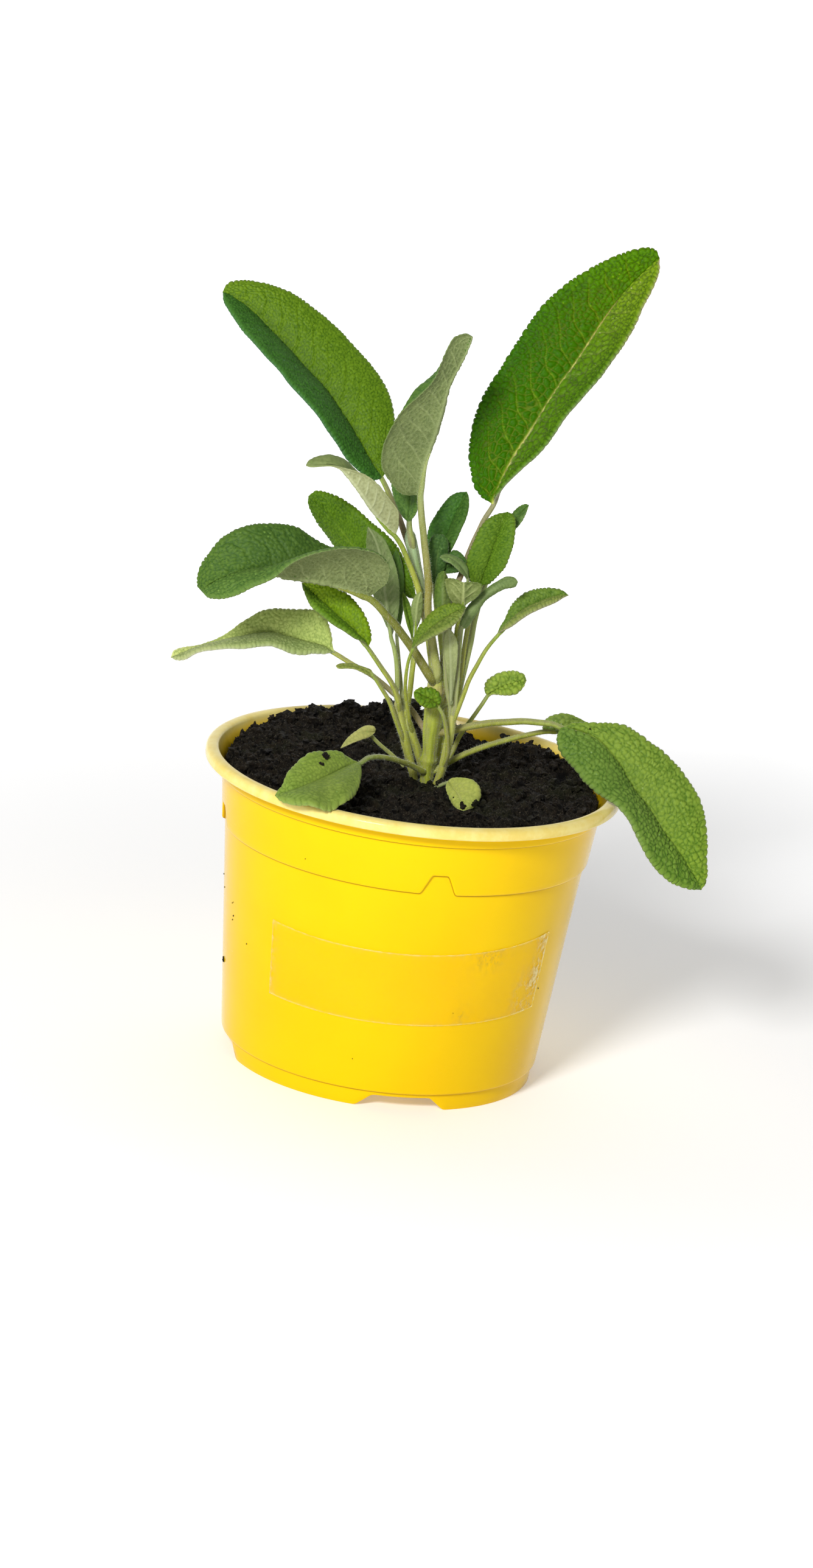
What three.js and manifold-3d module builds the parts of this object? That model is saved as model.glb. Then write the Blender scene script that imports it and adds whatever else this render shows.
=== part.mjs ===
// A potted sage: a yellow moulded plastic nursery pot, rooted compost, five stems and thirty-three leaves.
// Millimetres, +Z up. The pot stands on its feet at z = 0. The front of the pot faces -Y.
// Every leaf is a thin curved blade with its own stalk. A blade is given by stations along the midrib,
// from its base to its tip: a point on the midrib (M), one on the left margin (L) and one on the right margin (R).
import * as THREE from "three";
import { mergeVertices } from "three/addons/utils/BufferGeometryUtils.js";
import Module from "manifold-3d";

// ---------------------------------------------------------------- driving dimensions
const SHIFT_X = -5.696; // pot axis in the frame: the origin is the bottom centre of the whole object
const SHIFT_Y = 0.0;
const POT_SEGMENTS = 48;
const LIP_OUTER_R = 52.5;
const LIP_TOP_Z = 77.5;
const LIP_LOW_Z = 74.6;
const LIP_INNER_R = 49.2;
const NECK_R = 48.7; // band between the lip and the step ring
const RING_Z = 71.5; // step ring under the lip
const COLLAR_TOP_R = 47.85;
const COLLAR_LOW_R = 46.4;
const COLLAR_LOW_Z = 58.6;
const BODY_R0 = 39.85; // outer radius of the tapered body at z = 0
const BODY_SLOPE = 0.0985;
const LEDGE_Z = 4.5;
const FOOT_R = 39.3;
const WALL = 1.2;
const FLOOR_LOW_Z = 4.3;
const FLOOR_TOP_Z = 5.5;
const FOOT_GAPS = 4;
const GAP_ANGLE0 = 11.0; // degrees to the right of the front
const GAP_HEIGHT = 3.2;
const GAP_HALF_TOP = 7.4;
const GAP_HALF_LOW = 11.3;
const NOTCH_ANGLE0 = 12.2;
const NOTCH_TOP_Z = 63.6;
const NOTCH_HALF_TOP = 2.05;
const NOTCH_HALF_LOW = 4.35;
const DRAIN_HOLES = 8;
const DRAIN_RADIUS = 3.2;
const DRAIN_RING_R = 28;
const LABEL_FROM = -42; // degrees round the pot from the front
const LABEL_TO = 60;
const LABEL_THICK = 0.3;
const LABEL_GAP = 0.3;
const SOIL_LEVEL = 72.4;
const SOIL_GAP = 0.4;
const BLADE = 0.85; // blade thickness
const GAP = 0.32; // clearance where one piece meets another

const bodyR = (z) => BODY_R0 + BODY_SLOPE * z;
const rad = (d) => (d * Math.PI) / 180;

// ---------------------------------------------------------------- plant tables (x, y, z in the pot's frame)
const STEMS = {
  stem_main: [[4.21, -1.5, 66.0, 1.75], [3.87, -1.5, 70.48, 1.75], [3.39, -1.5, 76.66, 1.75], [3.35, -1.4, 81.74, 1.85], [3.12, -1.3, 85.99, 2.1], [3.11, -1.2, 89.62, 2.45], [2.87, -1.1, 95.12, 2.35], [2.76, -1.0, 99.52, 2.2], [1.43, -0.8, 105.14, 1.45], [-0.51, -0.5, 111.9, 1.35], [-2.5, 0.0, 117.79, 1.3], [-4.23, 0.3, 122.98, 1.35], [-6.21, 0.6, 128.9, 1.45], [-7.93, 0.9, 134.06, 1.5], [-9.19, 1.1, 137.9, 1.2]],
  stem_left: [[2.73, 0.86, 66.0, 0.95], [1.31, 0.2, 70.75, 0.95], [0.02, -0.4, 75.08, 0.95], [-1.62, -1.0, 79.67, 1.0], [-3.23, -1.8, 84.15, 1.05], [-4.72, -2.2, 88.84, 1.05], [-5.75, -2.4, 92.25, 1.0], [-6.74, -2.5, 95.31, 0.85]],
  stem_left_inner: [[3.67, 3.81, 66.0, 0.95], [2.81, 2.6, 71.69, 0.95], [2.09, 1.6, 76.38, 0.95], [0.51, 0.4, 80.68, 1.0], [-1.37, -0.8, 84.92, 1.0], [-2.66, -1.6, 88.15, 0.95], [-3.77, -2.0, 90.98, 0.8]],
  stem_right: [[3.77, -2.28, 66.0, 0.9], [5.53, -3.6, 72.45, 0.9], [6.59, -4.4, 76.35, 0.95], [7.32, -4.6, 81.45, 1.0], [7.71, -4.5, 86.73, 1.05], [7.81, -4.3, 91.29, 1.05], [7.68, -4.2, 94.1, 0.9]],
  stem_back: [[3.62, 3.51, 66.0, 0.9], [4.4, 3.0, 72.43, 0.9], [5.0, 2.6, 77.45, 0.9], [5.84, 2.7, 81.71, 0.95], [6.36, 3.0, 86.01, 0.95], [5.8, 3.2, 92.75, 0.95], [4.65, 3.2, 100.54, 0.9], [3.05, 3.0, 108.31, 0.85], [1.0, 2.6, 116.03, 0.8], [-0.5, 2.2, 121.9, 0.7]],
};
const LEAVES = {
  leaf_a: {
    b: 0.1,
    r: 0.75,
    M: [[-17.17, 6.0, 147.98], [-20.53, 7.92, 151.34], [-24.92, 10.95, 156.47], [-30.78, 15.22, 162.32], [-37.82, 20.15, 168.15], [-45.34, 24.36, 173.71], [-52.33, 27.02, 178.8], [-58.25, 28.39, 182.71], [-62.9, 29.0, 184.54]],
    L: [[-17.17, 6.0, 147.98], [-21.79, 3.4, 149.15], [-27.39, 2.13, 154.01], [-33.21, 2.98, 160.7], [-40.52, 6.58, 166.63], [-47.88, 12.12, 172.23], [-54.94, 18.21, 176.85], [-60.14, 23.87, 181.12], [-62.9, 29.0, 184.54]],
    R: [[-17.17, 6.0, 147.98], [-15.32, 10.03, 153.0], [-16.11, 15.05, 160.88], [-20.8, 20.92, 169.57], [-29.73, 26.46, 176.67], [-39.56, 30.06, 183.04], [-49.56, 31.13, 187.16], [-58.39, 30.5, 187.8], [-62.9, 29.0, 184.54]],
    P: [[-17.17, 6.0, 147.98], [-14.65, 5.2, 143.84], [-11.91, 4.3, 139.27], [-9.24, 3.4, 134.06], [-7.8, 2.6, 131.32]],
  },
  leaf_b: {
    b: 0.1,
    r: 0.75,
    M: [[10.89, 5.5, 145.02], [12.29, 6.87, 150.74], [15.26, 8.97, 158.55], [19.83, 11.82, 167.79], [24.99, 15.07, 177.84], [30.15, 18.03, 187.96], [34.95, 20.01, 197.22], [39.87, 20.78, 204.23], [43.79, 21.0, 208.8]],
    L: [[10.89, 5.5, 145.02], [5.59, 7.56, 149.45], [3.43, 10.31, 159.38], [5.72, 13.69, 171.62], [11.9, 17.14, 183.98], [18.95, 19.89, 195.96], [28.48, 21.36, 204.47], [37.55, 21.47, 209.7], [43.79, 21.0, 208.8]],
    R: [[10.89, 5.5, 145.02], [13.15, 2.95, 151.33], [18.64, 1.34, 158.56], [24.15, 1.23, 167.79], [30.38, 3.33, 177.44], [36.28, 7.44, 186.92], [40.32, 12.39, 195.96], [43.21, 16.87, 203.47], [43.79, 21.0, 208.8]],
    P: [[10.89, 5.5, 145.02], [9.27, 4.6, 141.27], [8.3, 4.2, 138.27], [7.22, 3.9, 134.91], [6.22, 3.6, 130.94], [5.37, 3.2, 127.0], [4.61, 2.8, 123.54], [4.1, 1.9, 118.2], [3.99, 1.1, 112.09], [3.88, 0.4, 105.94], [3.43, -0.4, 101.35]],
  },
  leaf_c: {
    b: 0.08,
    r: 0.95,
    M: [[-7.41, -6.3, 147.46], [-7.4, -6.96, 151.07], [-7.14, -7.98, 156.24], [-5.71, -9.45, 162.44], [-4.55, -10.81, 169.27], [-3.74, -11.82, 176.06], [-1.86, -12.51, 181.84], [-0.26, -13.09, 186.53], [0.35, -13.5, 189.93]],
    L: [[-7.41, -6.3, 147.46], [-10.02, -4.31, 150.08], [-13.81, -2.82, 154.12], [-15.75, -2.27, 160.77], [-13.98, -2.86, 168.52], [-9.81, -4.64, 175.43], [-5.67, -7.34, 181.68], [-2.8, -10.44, 187.26], [0.35, -13.5, 189.93]],
    R: [[-7.41, -6.3, 147.46], [-11.79, -8.26, 147.96], [-16.67, -10.52, 152.89], [-17.51, -12.97, 161.16], [-14.26, -14.72, 169.67], [-8.78, -15.34, 176.57], [-6.08, -15.04, 183.79], [-3.64, -14.39, 189.69], [0.35, -13.5, 189.93]],
    P: [[-7.41, -6.3, 147.46], [-6.48, -6.1, 143.68], [-5.12, -5.6, 137.55], [-3.51, -5.2, 130.68], [-2.34, -4.6, 124.93], [-1.75, -4.0, 118.91], [-0.46, -3.7, 113.52], [1.22, -3.6, 107.43], [2.54, -3.7, 103.07]],
  },
  leaf_c2: {
    b: 0.1,
    r: 0.8,
    M: [[-9.3, 0.6, 138.93], [-9.3, 1.12, 142.37], [-9.31, 1.98, 147.57], [-8.97, 3.14, 153.4], [-8.42, 3.5, 158.67], [-7.95, 3.5, 162.17]],
    L: [[-9.3, 0.6, 138.93], [-12.24, 1.55, 141.8], [-14.56, 2.74, 147.66], [-14.54, 3.89, 154.9], [-11.88, 3.93, 161.13], [-7.95, 3.5, 162.17]],
    R: [[-9.3, 0.6, 138.93], [-7.82, -1.52, 142.69], [-7.85, -2.71, 148.51], [-6.98, -1.56, 154.46], [-6.67, 0.86, 159.46], [-7.95, 3.5, 162.17]],
    P: [[-9.3, 0.6, 138.93], [-8.73, 0.3, 136.9], [-8.0, -0.6, 135.03]],
  },
  leaf_d: {
    b: 0.06,
    r: 0.7,
    M: [[-11.98, -4.6, 136.54], [-14.86, -5.7, 138.85], [-18.63, -7.49, 142.9], [-22.76, -9.04, 148.01], [-27.3, -10.09, 152.58], [-32.35, -10.76, 153.11], [-35.74, -11.0, 152.41]],
    L: [[-11.98, -4.6, 136.54], [-11.75, -6.12, 140.88], [-14.49, -8.28, 146.3], [-19.66, -10.0, 151.26], [-26.27, -10.88, 152.99], [-31.97, -11.18, 152.68], [-35.74, -11.0, 152.41]],
    R: [[-11.98, -4.6, 136.54], [-13.61, -3.89, 140.04], [-17.05, -4.07, 144.98], [-21.78, -4.93, 150.39], [-27.58, -6.67, 154.66], [-33.24, -8.95, 154.72], [-35.74, -11.0, 152.41]],
    P: [[-11.98, -4.6, 136.54], [-10.15, -4.4, 133.95], [-8.22, -3.8, 130.48], [-6.46, -3.2, 127.14], [-5.03, -2.7, 124.09], [-3.74, -2.4, 121.06]],
  },
  leaf_e: {
    b: 0.1,
    r: 0.7,
    M: [[-5.05, 2.6, 119.15], [-8.06, 3.93, 122.11], [-13.55, 6.33, 125.05], [-20.57, 9.58, 127.99], [-26.17, 12.22, 132.82], [-31.31, 13.51, 136.7], [-34.95, 14.0, 139.08]],
    L: [[-5.05, 2.6, 119.15], [-9.31, 6.2, 119.76], [-15.62, 10.61, 121.25], [-22.71, 14.73, 124.27], [-28.95, 16.5, 129.05], [-33.4, 15.78, 134.41], [-34.95, 14.0, 139.08]],
    R: [[-5.05, 2.6, 119.15], [-6.59, 3.51, 123.51], [-10.21, 5.53, 129.38], [-16.64, 8.62, 134.32], [-23.76, 11.42, 138.48], [-30.55, 13.09, 140.5], [-34.95, 14.0, 139.08]],
    P: [[-5.05, 2.6, 119.15], [-3.74, 2.3, 117.35], [-2.18, 1.6, 114.91]],
  },
  leaf_f: {
    b: 0.08,
    r: 1.05,
    M: [[-16.25, -8.0, 120.94], [-19.67, -8.98, 122.03], [-24.64, -10.4, 123.18], [-30.81, -12.07, 124.04], [-37.62, -13.0, 124.28], [-44.38, -13.95, 125.19], [-50.29, -14.94, 123.75], [-54.67, -15.0, 121.14], [-57.19, -15.0, 118.57]],
    L: [[-16.25, -8.0, 120.94], [-12.91, -13.18, 126.16], [-14.01, -17.74, 133.67], [-22.35, -20.57, 135.74], [-31.41, -21.5, 133.35], [-38.93, -21.4, 127.42], [-46.01, -21.42, 122.49], [-52.37, -19.05, 118.69], [-57.19, -15.0, 118.57]],
    R: [[-16.25, -8.0, 120.94], [-17.63, -5.48, 125.3], [-22.64, -4.65, 130.15], [-31.07, -5.63, 132.84], [-40.06, -7.5, 136.08], [-49.43, -10.01, 134.66], [-55.8, -11.95, 129.15], [-58.74, -12.98, 122.68], [-57.19, -15.0, 118.57]],
    P: [[-16.25, -8.0, 120.94], [-14.05, -7.6, 118.95], [-11.33, -7.0, 116.35], [-9.29, -6.6, 114.49], [-5.79, -5.4, 110.42], [-2.76, -4.5, 106.66], [-0.57, -4.0, 103.67], [1.22, -3.5, 101.41]],
  },
  leaf_g: {
    b: 0.1,
    r: 0.65,
    M: [[-15.19, -3.5, 107.07], [-17.25, -3.09, 108.72], [-20.44, -2.28, 110.99], [-24.34, -1.0, 113.5], [-28.18, -0.16, 116.2], [-31.47, 0.53, 118.37], [-33.59, 1.0, 119.93]],
    L: [[-15.19, -3.5, 107.07], [-17.37, -4.97, 109.07], [-21.06, -5.83, 111.13], [-25.51, -5.27, 113.06], [-29.74, -3.71, 115.34], [-32.25, -1.35, 118.07], [-33.59, 1.0, 119.93]],
    R: [[-15.19, -3.5, 107.07], [-15.07, -2.77, 110.05], [-17.04, -1.67, 114.17], [-20.93, -0.27, 117.95], [-25.93, 0.45, 120.25], [-30.59, 0.86, 120.74], [-33.59, 1.0, 119.93]],
    P: [[-15.19, -3.5, 107.07], [-12.12, -3.8, 103.31], [-8.72, -3.9, 99.38], [-7.0, -4.0, 96.64], [-5.96, -4.0, 94.4]],
  },
  leaf_h: {
    b: 0.1,
    r: 0.7,
    M: [[-23.41, 4.5, 102.42], [-27.31, 5.77, 103.36], [-33.3, 7.42, 103.71], [-40.63, 9.06, 103.97], [-48.15, 9.96, 101.44], [-55.02, 10.94, 98.31], [-60.56, 11.0, 95.77], [-64.27, 11.0, 93.87]],
    L: [[-23.41, 4.5, 102.42], [-27.41, 2.86, 102.36], [-33.23, 1.8, 101.67], [-40.04, 1.65, 103.02], [-47.7, 2.55, 101.05], [-54.99, 5.33, 98.87], [-60.33, 8.09, 95.11], [-64.27, 11.0, 93.87]],
    R: [[-23.41, 4.5, 102.42], [-25.2, 6.25, 106.76], [-29.8, 8.34, 111.51], [-38.74, 10.28, 110.16], [-47.07, 11.18, 105.55], [-53.92, 11.86, 99.41], [-60.84, 11.48, 96.92], [-64.27, 11.0, 93.87]],
    P: [[-23.41, 4.5, 102.42], [-17.35, 3.8, 99.62], [-13.3, 3.0, 98.16], [-8.45, 2.2, 95.22], [-2.71, 1.6, 91.23], [0.35, 0.9, 87.86], [1.43, 0.2, 86.77]],
  },
  leaf_i: {
    b: 0.1,
    r: 0.55,
    M: [[-13.1, -5.2, 100.71], [-14.88, -5.09, 101.44], [-17.73, -5.0, 101.99], [-20.62, -5.0, 101.85], [-22.51, -5.0, 101.59]],
    L: [[-13.1, -5.2, 100.71], [-14.98, -5.94, 100.74], [-17.83, -6.31, 101.78], [-20.83, -5.85, 101.33], [-22.51, -5.0, 101.59]],
    R: [[-13.1, -5.2, 100.71], [-14.45, -4.15, 101.74], [-17.66, -3.56, 102.19], [-20.76, -4.06, 102.21], [-22.51, -5.0, 101.59]],
    P: [[-13.1, -5.2, 100.71], [-11.11, -5.0, 98.09], [-8.38, -4.6, 94.4], [-6.35, -4.2, 90.28], [-4.51, -3.6, 86.4]],
  },
  leaf_j: {
    b: 0.1,
    r: 0.6,
    M: [[-9.79, -2.6, 109.93], [-10.62, -2.95, 113.32], [-11.95, -3.39, 118.35], [-13.43, -3.8, 124.31], [-14.91, -4.13, 130.23], [-16.92, -4.41, 134.89], [-18.91, -4.6, 137.63]],
    L: [[-9.79, -2.6, 109.93], [-9.19, -1.93, 113.35], [-9.22, -1.46, 118.67], [-10.26, -1.47, 125.03], [-12.77, -2.2, 131.08], [-15.84, -3.39, 135.68], [-18.91, -4.6, 137.63]],
    R: [[-9.79, -2.6, 109.93], [-11.37, -1.67, 112.71], [-13.79, -0.98, 117.0], [-16.26, -0.89, 122.5], [-17.73, -1.72, 128.59], [-18.77, -3.13, 133.91], [-18.91, -4.6, 137.63]],
    P: [[-9.79, -2.6, 109.93], [-8.69, -2.6, 107.24], [-7.59, -2.6, 103.29], [-6.85, -2.6, 98.65], [-6.82, -2.5, 95.93]],
  },
  leaf_k: {
    b: 0.1,
    r: 0.5,
    M: [[-8.52, 1.0, 109.63], [-8.81, 1.05, 114.02], [-9.45, 1.19, 120.64], [-10.46, 1.41, 127.18], [-11.43, 1.6, 131.39]],
    L: [[-8.52, 1.0, 109.63], [-9.66, 2.29, 113.59], [-10.72, 3.1, 120.07], [-11.91, 2.65, 126.83], [-11.43, 1.6, 131.39]],
    R: [[-8.52, 1.0, 109.63], [-7.93, 2.32, 113.76], [-8.12, 3.15, 120.38], [-9.42, 2.68, 127.19], [-11.43, 1.6, 131.39]],
    P: [[-8.52, 1.0, 109.63], [-7.39, 0.7, 104.33], [-6.25, 0.2, 99.08], [-5.11, -0.9, 93.98], [-4.3, -1.6, 91.43]],
  },
  leaf_k2: {
    b: 0.1,
    r: 0.45,
    M: [[-4.05, -3.9, 113.09], [-4.25, -4.14, 115.12], [-4.45, -4.4, 118.19], [-4.39, -4.55, 121.21], [-3.93, -4.6, 123.15]],
    L: [[-4.05, -3.9, 113.09], [-3.4, -3.5, 114.9], [-3.09, -3.42, 117.92], [-3.24, -3.91, 121.1], [-3.93, -4.6, 123.15]],
    R: [[-4.05, -3.9, 113.09], [-4.86, -3.46, 114.95], [-5.76, -3.35, 118.05], [-5.39, -3.87, 121.35], [-3.93, -4.6, 123.15]],
    P: [[-4.05, -3.9, 113.09], [-3.66, -2.6, 109.66], [-3.42, -2.1, 106.41], [-3.38, -1.9, 102.41], [-3.3, -2.1, 96.94], [-3.4, -2.5, 91.8]],
  },
  leaf_k3: {
    b: 0.1,
    r: 0.45,
    M: [[-4.37, 0.2, 109.62], [-5.21, 0.36, 111.89], [-6.51, 0.6, 115.34], [-7.75, 0.84, 118.81], [-8.44, 1.0, 121.13]],
    L: [[-4.37, 0.2, 109.62], [-5.7, -0.36, 111.87], [-7.15, -0.5, 115.39], [-8.26, 0.13, 118.87], [-8.44, 1.0, 121.13]],
    R: [[-4.37, 0.2, 109.62], [-4.55, 0.23, 112.15], [-5.27, 0.4, 115.87], [-6.86, 0.71, 119.28], [-8.44, 1.0, 121.13]],
    P: [[-4.37, 0.2, 109.62], [-3.93, 0.0, 104.99], [-3.74, -0.6, 98.85], [-3.71, -1.4, 92.72], [-3.77, -2.0, 90.98]],
  },
  leaf_l: {
    b: 0.1,
    r: 0.65,
    M: [[-1.42, 4.2, 125.05], [-0.91, 4.7, 128.35], [0.12, 5.7, 133.27], [1.59, 7.26, 138.65], [3.05, 8.61, 143.37], [4.07, 9.5, 146.45]],
    L: [[-1.42, 4.2, 125.05], [-3.14, 5.04, 128.43], [-4.26, 6.3, 134.02], [-2.58, 7.86, 140.22], [0.55, 8.95, 145.05], [4.07, 9.5, 146.45]],
    R: [[-1.42, 4.2, 125.05], [0.2, 2.8, 128.54], [2.07, 2.31, 133.7], [3.85, 3.87, 139.14], [4.79, 6.71, 143.74], [4.07, 9.5, 146.45]],
    P: [[-1.42, 4.2, 125.05], [-1.0, 3.8, 123.01], [-0.19, 3.0, 120.49]],
  },
  leaf_m: {
    b: 0.1,
    r: 0.5,
    M: [[-0.79, 0.5, 123.39], [-0.99, 0.19, 126.17], [-1.12, 0.1, 130.31], [-0.98, 0.14, 134.4], [-0.7, 0.3, 137.05]],
    L: [[-0.79, 0.5, 123.39], [-2.18, 0.89, 126.11], [-3.4, 1.19, 130.63], [-3.22, 0.85, 135.46], [-0.7, 0.3, 137.05]],
    R: [[-0.79, 0.5, 123.39], [0.33, 0.77, 126.04], [1.49, 0.99, 130.27], [1.09, 0.72, 134.83], [-0.7, 0.3, 137.05]],
    P: [[-0.79, 0.5, 123.39], [-0.29, 0.9, 121.79], [0.3, 1.7, 119.31]],
  },
  leaf_m2: {
    b: 0.1,
    r: 0.45,
    M: [[0.74, 1.6, 126.62], [1.49, 1.3, 127.96], [2.98, 1.0, 129.64], [4.87, 0.84, 130.66], [6.29, 0.8, 131.0]],
    L: [[0.74, 1.6, 126.62], [0.96, 1.56, 128.93], [1.97, 1.39, 132.51], [4.75, 1.09, 132.61], [6.29, 0.8, 131.0]],
    R: [[0.74, 1.6, 126.62], [2.12, 0.3, 127.42], [4.24, -0.55, 128.36], [5.84, -0.17, 129.79], [6.29, 0.8, 131.0]],
    P: [[0.74, 1.6, 126.62], [0.61, 1.9, 124.01], [0.61, 2.1, 121.61], [0.79, 2.4, 118.88]],
  },
  leaf_m3: {
    b: 0.1,
    r: 0.45,
    M: [[7.31, -1.4, 127.0], [6.18, -1.72, 128.68], [4.06, -2.2, 130.79], [1.43, -2.68, 132.2], [-0.43, -3.0, 132.12]],
    L: [[7.31, -1.4, 127.0], [5.75, -2.72, 128.28], [3.63, -3.74, 130.35], [1.12, -3.69, 131.37], [-0.43, -3.0, 132.12]],
    R: [[7.31, -1.4, 127.0], [6.91, -0.88, 129.13], [4.78, -0.91, 131.68], [1.47, -1.85, 132.83], [-0.43, -3.0, 132.12]],
    P: [[7.31, -1.4, 127.0], [7.48, -1.2, 123.37], [6.68, -0.4, 117.57], [6.04, 0.5, 109.37], [5.98, 0.0, 101.59], [6.92, -2.0, 95.92]],
    young: true,
  },
  leaf_n: {
    b: 0.1,
    r: 0.6,
    M: [[10.52, 0.6, 125.37], [10.77, 0.45, 127.73], [11.54, 0.4, 131.14], [12.38, 0.6, 135.15], [13.21, 1.11, 139.09], [14.05, 1.7, 142.31], [14.68, 2.2, 144.43]],
    L: [[10.52, 0.6, 125.37], [7.76, 0.11, 126.29], [6.52, -0.25, 130.55], [7.42, -0.18, 135.68], [9.03, 0.46, 140.55], [12.04, 1.36, 143.44], [14.68, 2.2, 144.43]],
    R: [[10.52, 0.6, 125.37], [12.75, -0.88, 126.98], [15.07, -2.12, 130.57], [16.42, -2.44, 135.14], [16.87, -1.42, 139.63], [16.45, 0.37, 143.25], [14.68, 2.2, 144.43]],
    P: [[10.52, 0.6, 125.37], [9.64, 0.9, 121.56], [8.84, 0.8, 115.98], [8.54, 0.1, 109.02], [8.48, -1.4, 101.52], [8.19, -2.7, 96.29]],
  },
  leaf_o: {
    b: 0.1,
    r: 0.75,
    M: [[15.56, 4.4, 138.57], [16.21, 4.62, 140.16], [17.37, 4.95, 142.46], [18.73, 5.28, 144.66], [19.73, 5.5, 146.05]],
    L: [[15.56, 4.4, 138.57], [15.48, 5.1, 140.55], [15.96, 5.7, 143.28], [17.93, 5.77, 145.64], [19.73, 5.5, 146.05]],
    R: [[15.56, 4.4, 138.57], [16.98, 3.67, 139.85], [18.38, 3.49, 142.19], [19.39, 4.33, 144.54], [19.73, 5.5, 146.05]],
    P: [[15.56, 4.4, 138.57], [13.36, 4.2, 132.22], [11.56, 3.8, 125.02], [10.31, 3.0, 117.19], [9.82, 1.9, 109.36], [9.2, 0.6, 103.77], [8.58, -0.9, 98.23], [8.13, -2.4, 94.93]],
  },
  leaf_p: {
    b: 0.1,
    r: 0.6,
    M: [[16.19, 1.5, 113.32], [18.1, 2.39, 115.55], [21.18, 3.74, 118.83], [25.47, 5.29, 121.55], [29.63, 6.39, 123.41], [32.56, 7.0, 124.22]],
    L: [[16.19, 1.5, 113.32], [17.44, 3.32, 116.25], [19.37, 5.4, 120.87], [23.98, 6.95, 124.45], [29.29, 7.32, 125.3], [32.56, 7.0, 124.22]],
    R: [[16.19, 1.5, 113.32], [18.47, 0.35, 115.59], [21.74, 0.12, 118.92], [25.94, 1.67, 121.6], [29.98, 4.36, 123.2], [32.56, 7.0, 124.22]],
    P: [[16.19, 1.5, 113.32], [14.09, 0.6, 109.65], [12.22, -0.6, 105.45], [10.74, -1.8, 101.77], [9.84, -3.4, 98.45], [8.85, -4.4, 94.47]],
  },
  leaf_q: {
    b: 0.1,
    r: 0.55,
    M: [[15.92, 6.5, 95.92], [17.51, 7.04, 97.2], [20.18, 8.0, 98.77], [23.14, 9.14, 99.75], [25.15, 10.0, 100.22]],
    L: [[15.92, 6.5, 95.92], [15.26, 7.35, 98.58], [18.37, 8.48, 101.53], [22.84, 9.46, 102.16], [25.15, 10.0, 100.22]],
    R: [[15.92, 6.5, 95.92], [18.05, 5.65, 96.77], [21.44, 5.86, 97.28], [24.21, 7.76, 98.69], [25.15, 10.0, 100.22]],
    P: [[15.92, 6.5, 95.92], [14.84, 6.2, 93.62], [13.12, 5.8, 90.31], [11.76, 5.4, 87.83], [10.3, 4.8, 84.92], [9.0, 3.8, 80.86], [7.2, 2.4, 77.17], [6.13, 1.6, 73.72]],
  },
  leaf_r: {
    b: 0.1,
    r: 0.5,
    M: [[4.11, -8.0, 95.46], [2.93, -8.2, 96.39], [0.98, -8.5, 97.43], [-1.12, -8.8, 98.18], [-2.5, -9.0, 98.62]],
    L: [[4.11, -8.0, 95.46], [2.55, -9.49, 95.34], [0.11, -10.49, 96.02], [-2.0, -10.1, 97.4], [-2.5, -9.0, 98.62]],
    R: [[4.11, -8.0, 95.46], [4.28, -7.47, 97.38], [2.19, -7.38, 99.55], [-0.95, -8.08, 99.52], [-2.5, -9.0, 98.62]],
    P: [[4.11, -8.0, 95.46], [5.43, -7.9, 93.4], [6.64, -7.3, 89.75], [7.47, -6.6, 85.54], [7.7, -6.1, 82.41]],
  },
  leaf_s: {
    b: 0.1,
    r: 0.5,
    M: [[-4.46, -10.5, 109.75], [-3.05, -10.5, 111.94], [-0.68, -10.5, 115.09], [2.38, -10.5, 118.31], [5.41, -10.31, 120.7], [7.57, -10.0, 122.02]],
    L: [[-4.46, -10.5, 109.75], [-4.08, -9.42, 112.49], [-2.56, -8.57, 116.57], [0.64, -8.57, 120.63], [4.76, -9.23, 122.5], [7.57, -10.0, 122.02]],
    R: [[-4.46, -10.5, 109.75], [-2.52, -12.15, 111.91], [0.48, -13.44, 114.79], [4.01, -13.44, 117.48], [6.63, -11.96, 120.09], [7.57, -10.0, 122.02]],
    P: [[-4.46, -10.5, 109.75], [-4.91, -9.6, 105.84], [-4.94, -8.2, 100.9], [-4.36, -6.8, 96.5], [-3.16, -5.0, 91.89], [-2.55, -3.7, 89.08]],
  },
  leaf_s2: {
    b: 0.1,
    r: 0.5,
    M: [[2.22, -4.8, 117.78], [1.8, -4.76, 120.01], [1.34, -4.6, 123.41], [1.02, -4.3, 126.77], [1.06, -4.0, 128.98]],
    L: [[2.22, -4.8, 117.78], [0.19, -3.47, 119.05], [-0.73, -2.61, 122.74], [-0.55, -3.0, 126.86], [1.06, -4.0, 128.98]],
    R: [[2.22, -4.8, 117.78], [3.91, -3.54, 119.37], [3.52, -2.73, 122.9], [2.27, -3.08, 126.61], [1.06, -4.0, 128.98]],
    P: [[2.22, -4.8, 117.78], [3.02, -4.2, 112.55], [4.12, -3.2, 106.14], [5.46, -3.0, 99.17], [6.96, -3.6, 94.79]],
  },
  leaf_s3: {
    b: 0.1,
    r: 0.5,
    M: [[6.86, -5.8, 120.85], [6.69, -6.25, 122.21], [6.52, -6.8, 124.26], [6.34, -7.21, 126.26], [6.18, -7.4, 127.56]],
    L: [[6.86, -5.8, 120.85], [8.45, -4.92, 122.46], [10.57, -4.75, 125.45], [8.55, -5.88, 127.64], [6.18, -7.4, 127.56]],
    R: [[6.86, -5.8, 120.85], [4.39, -5.12, 121.66], [2.22, -5.07, 125.15], [3.58, -6.08, 127.81], [6.18, -7.4, 127.56]],
    P: [[6.86, -5.8, 120.85], [6.39, -4.9, 118.37], [6.02, -3.0, 115.0], [6.18, -1.2, 109.84], [6.73, -1.3, 102.04], [7.33, -2.8, 95.88]],
    young: true,
  },
  leaf_s4: {
    b: 0.1,
    r: 0.65,
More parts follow.
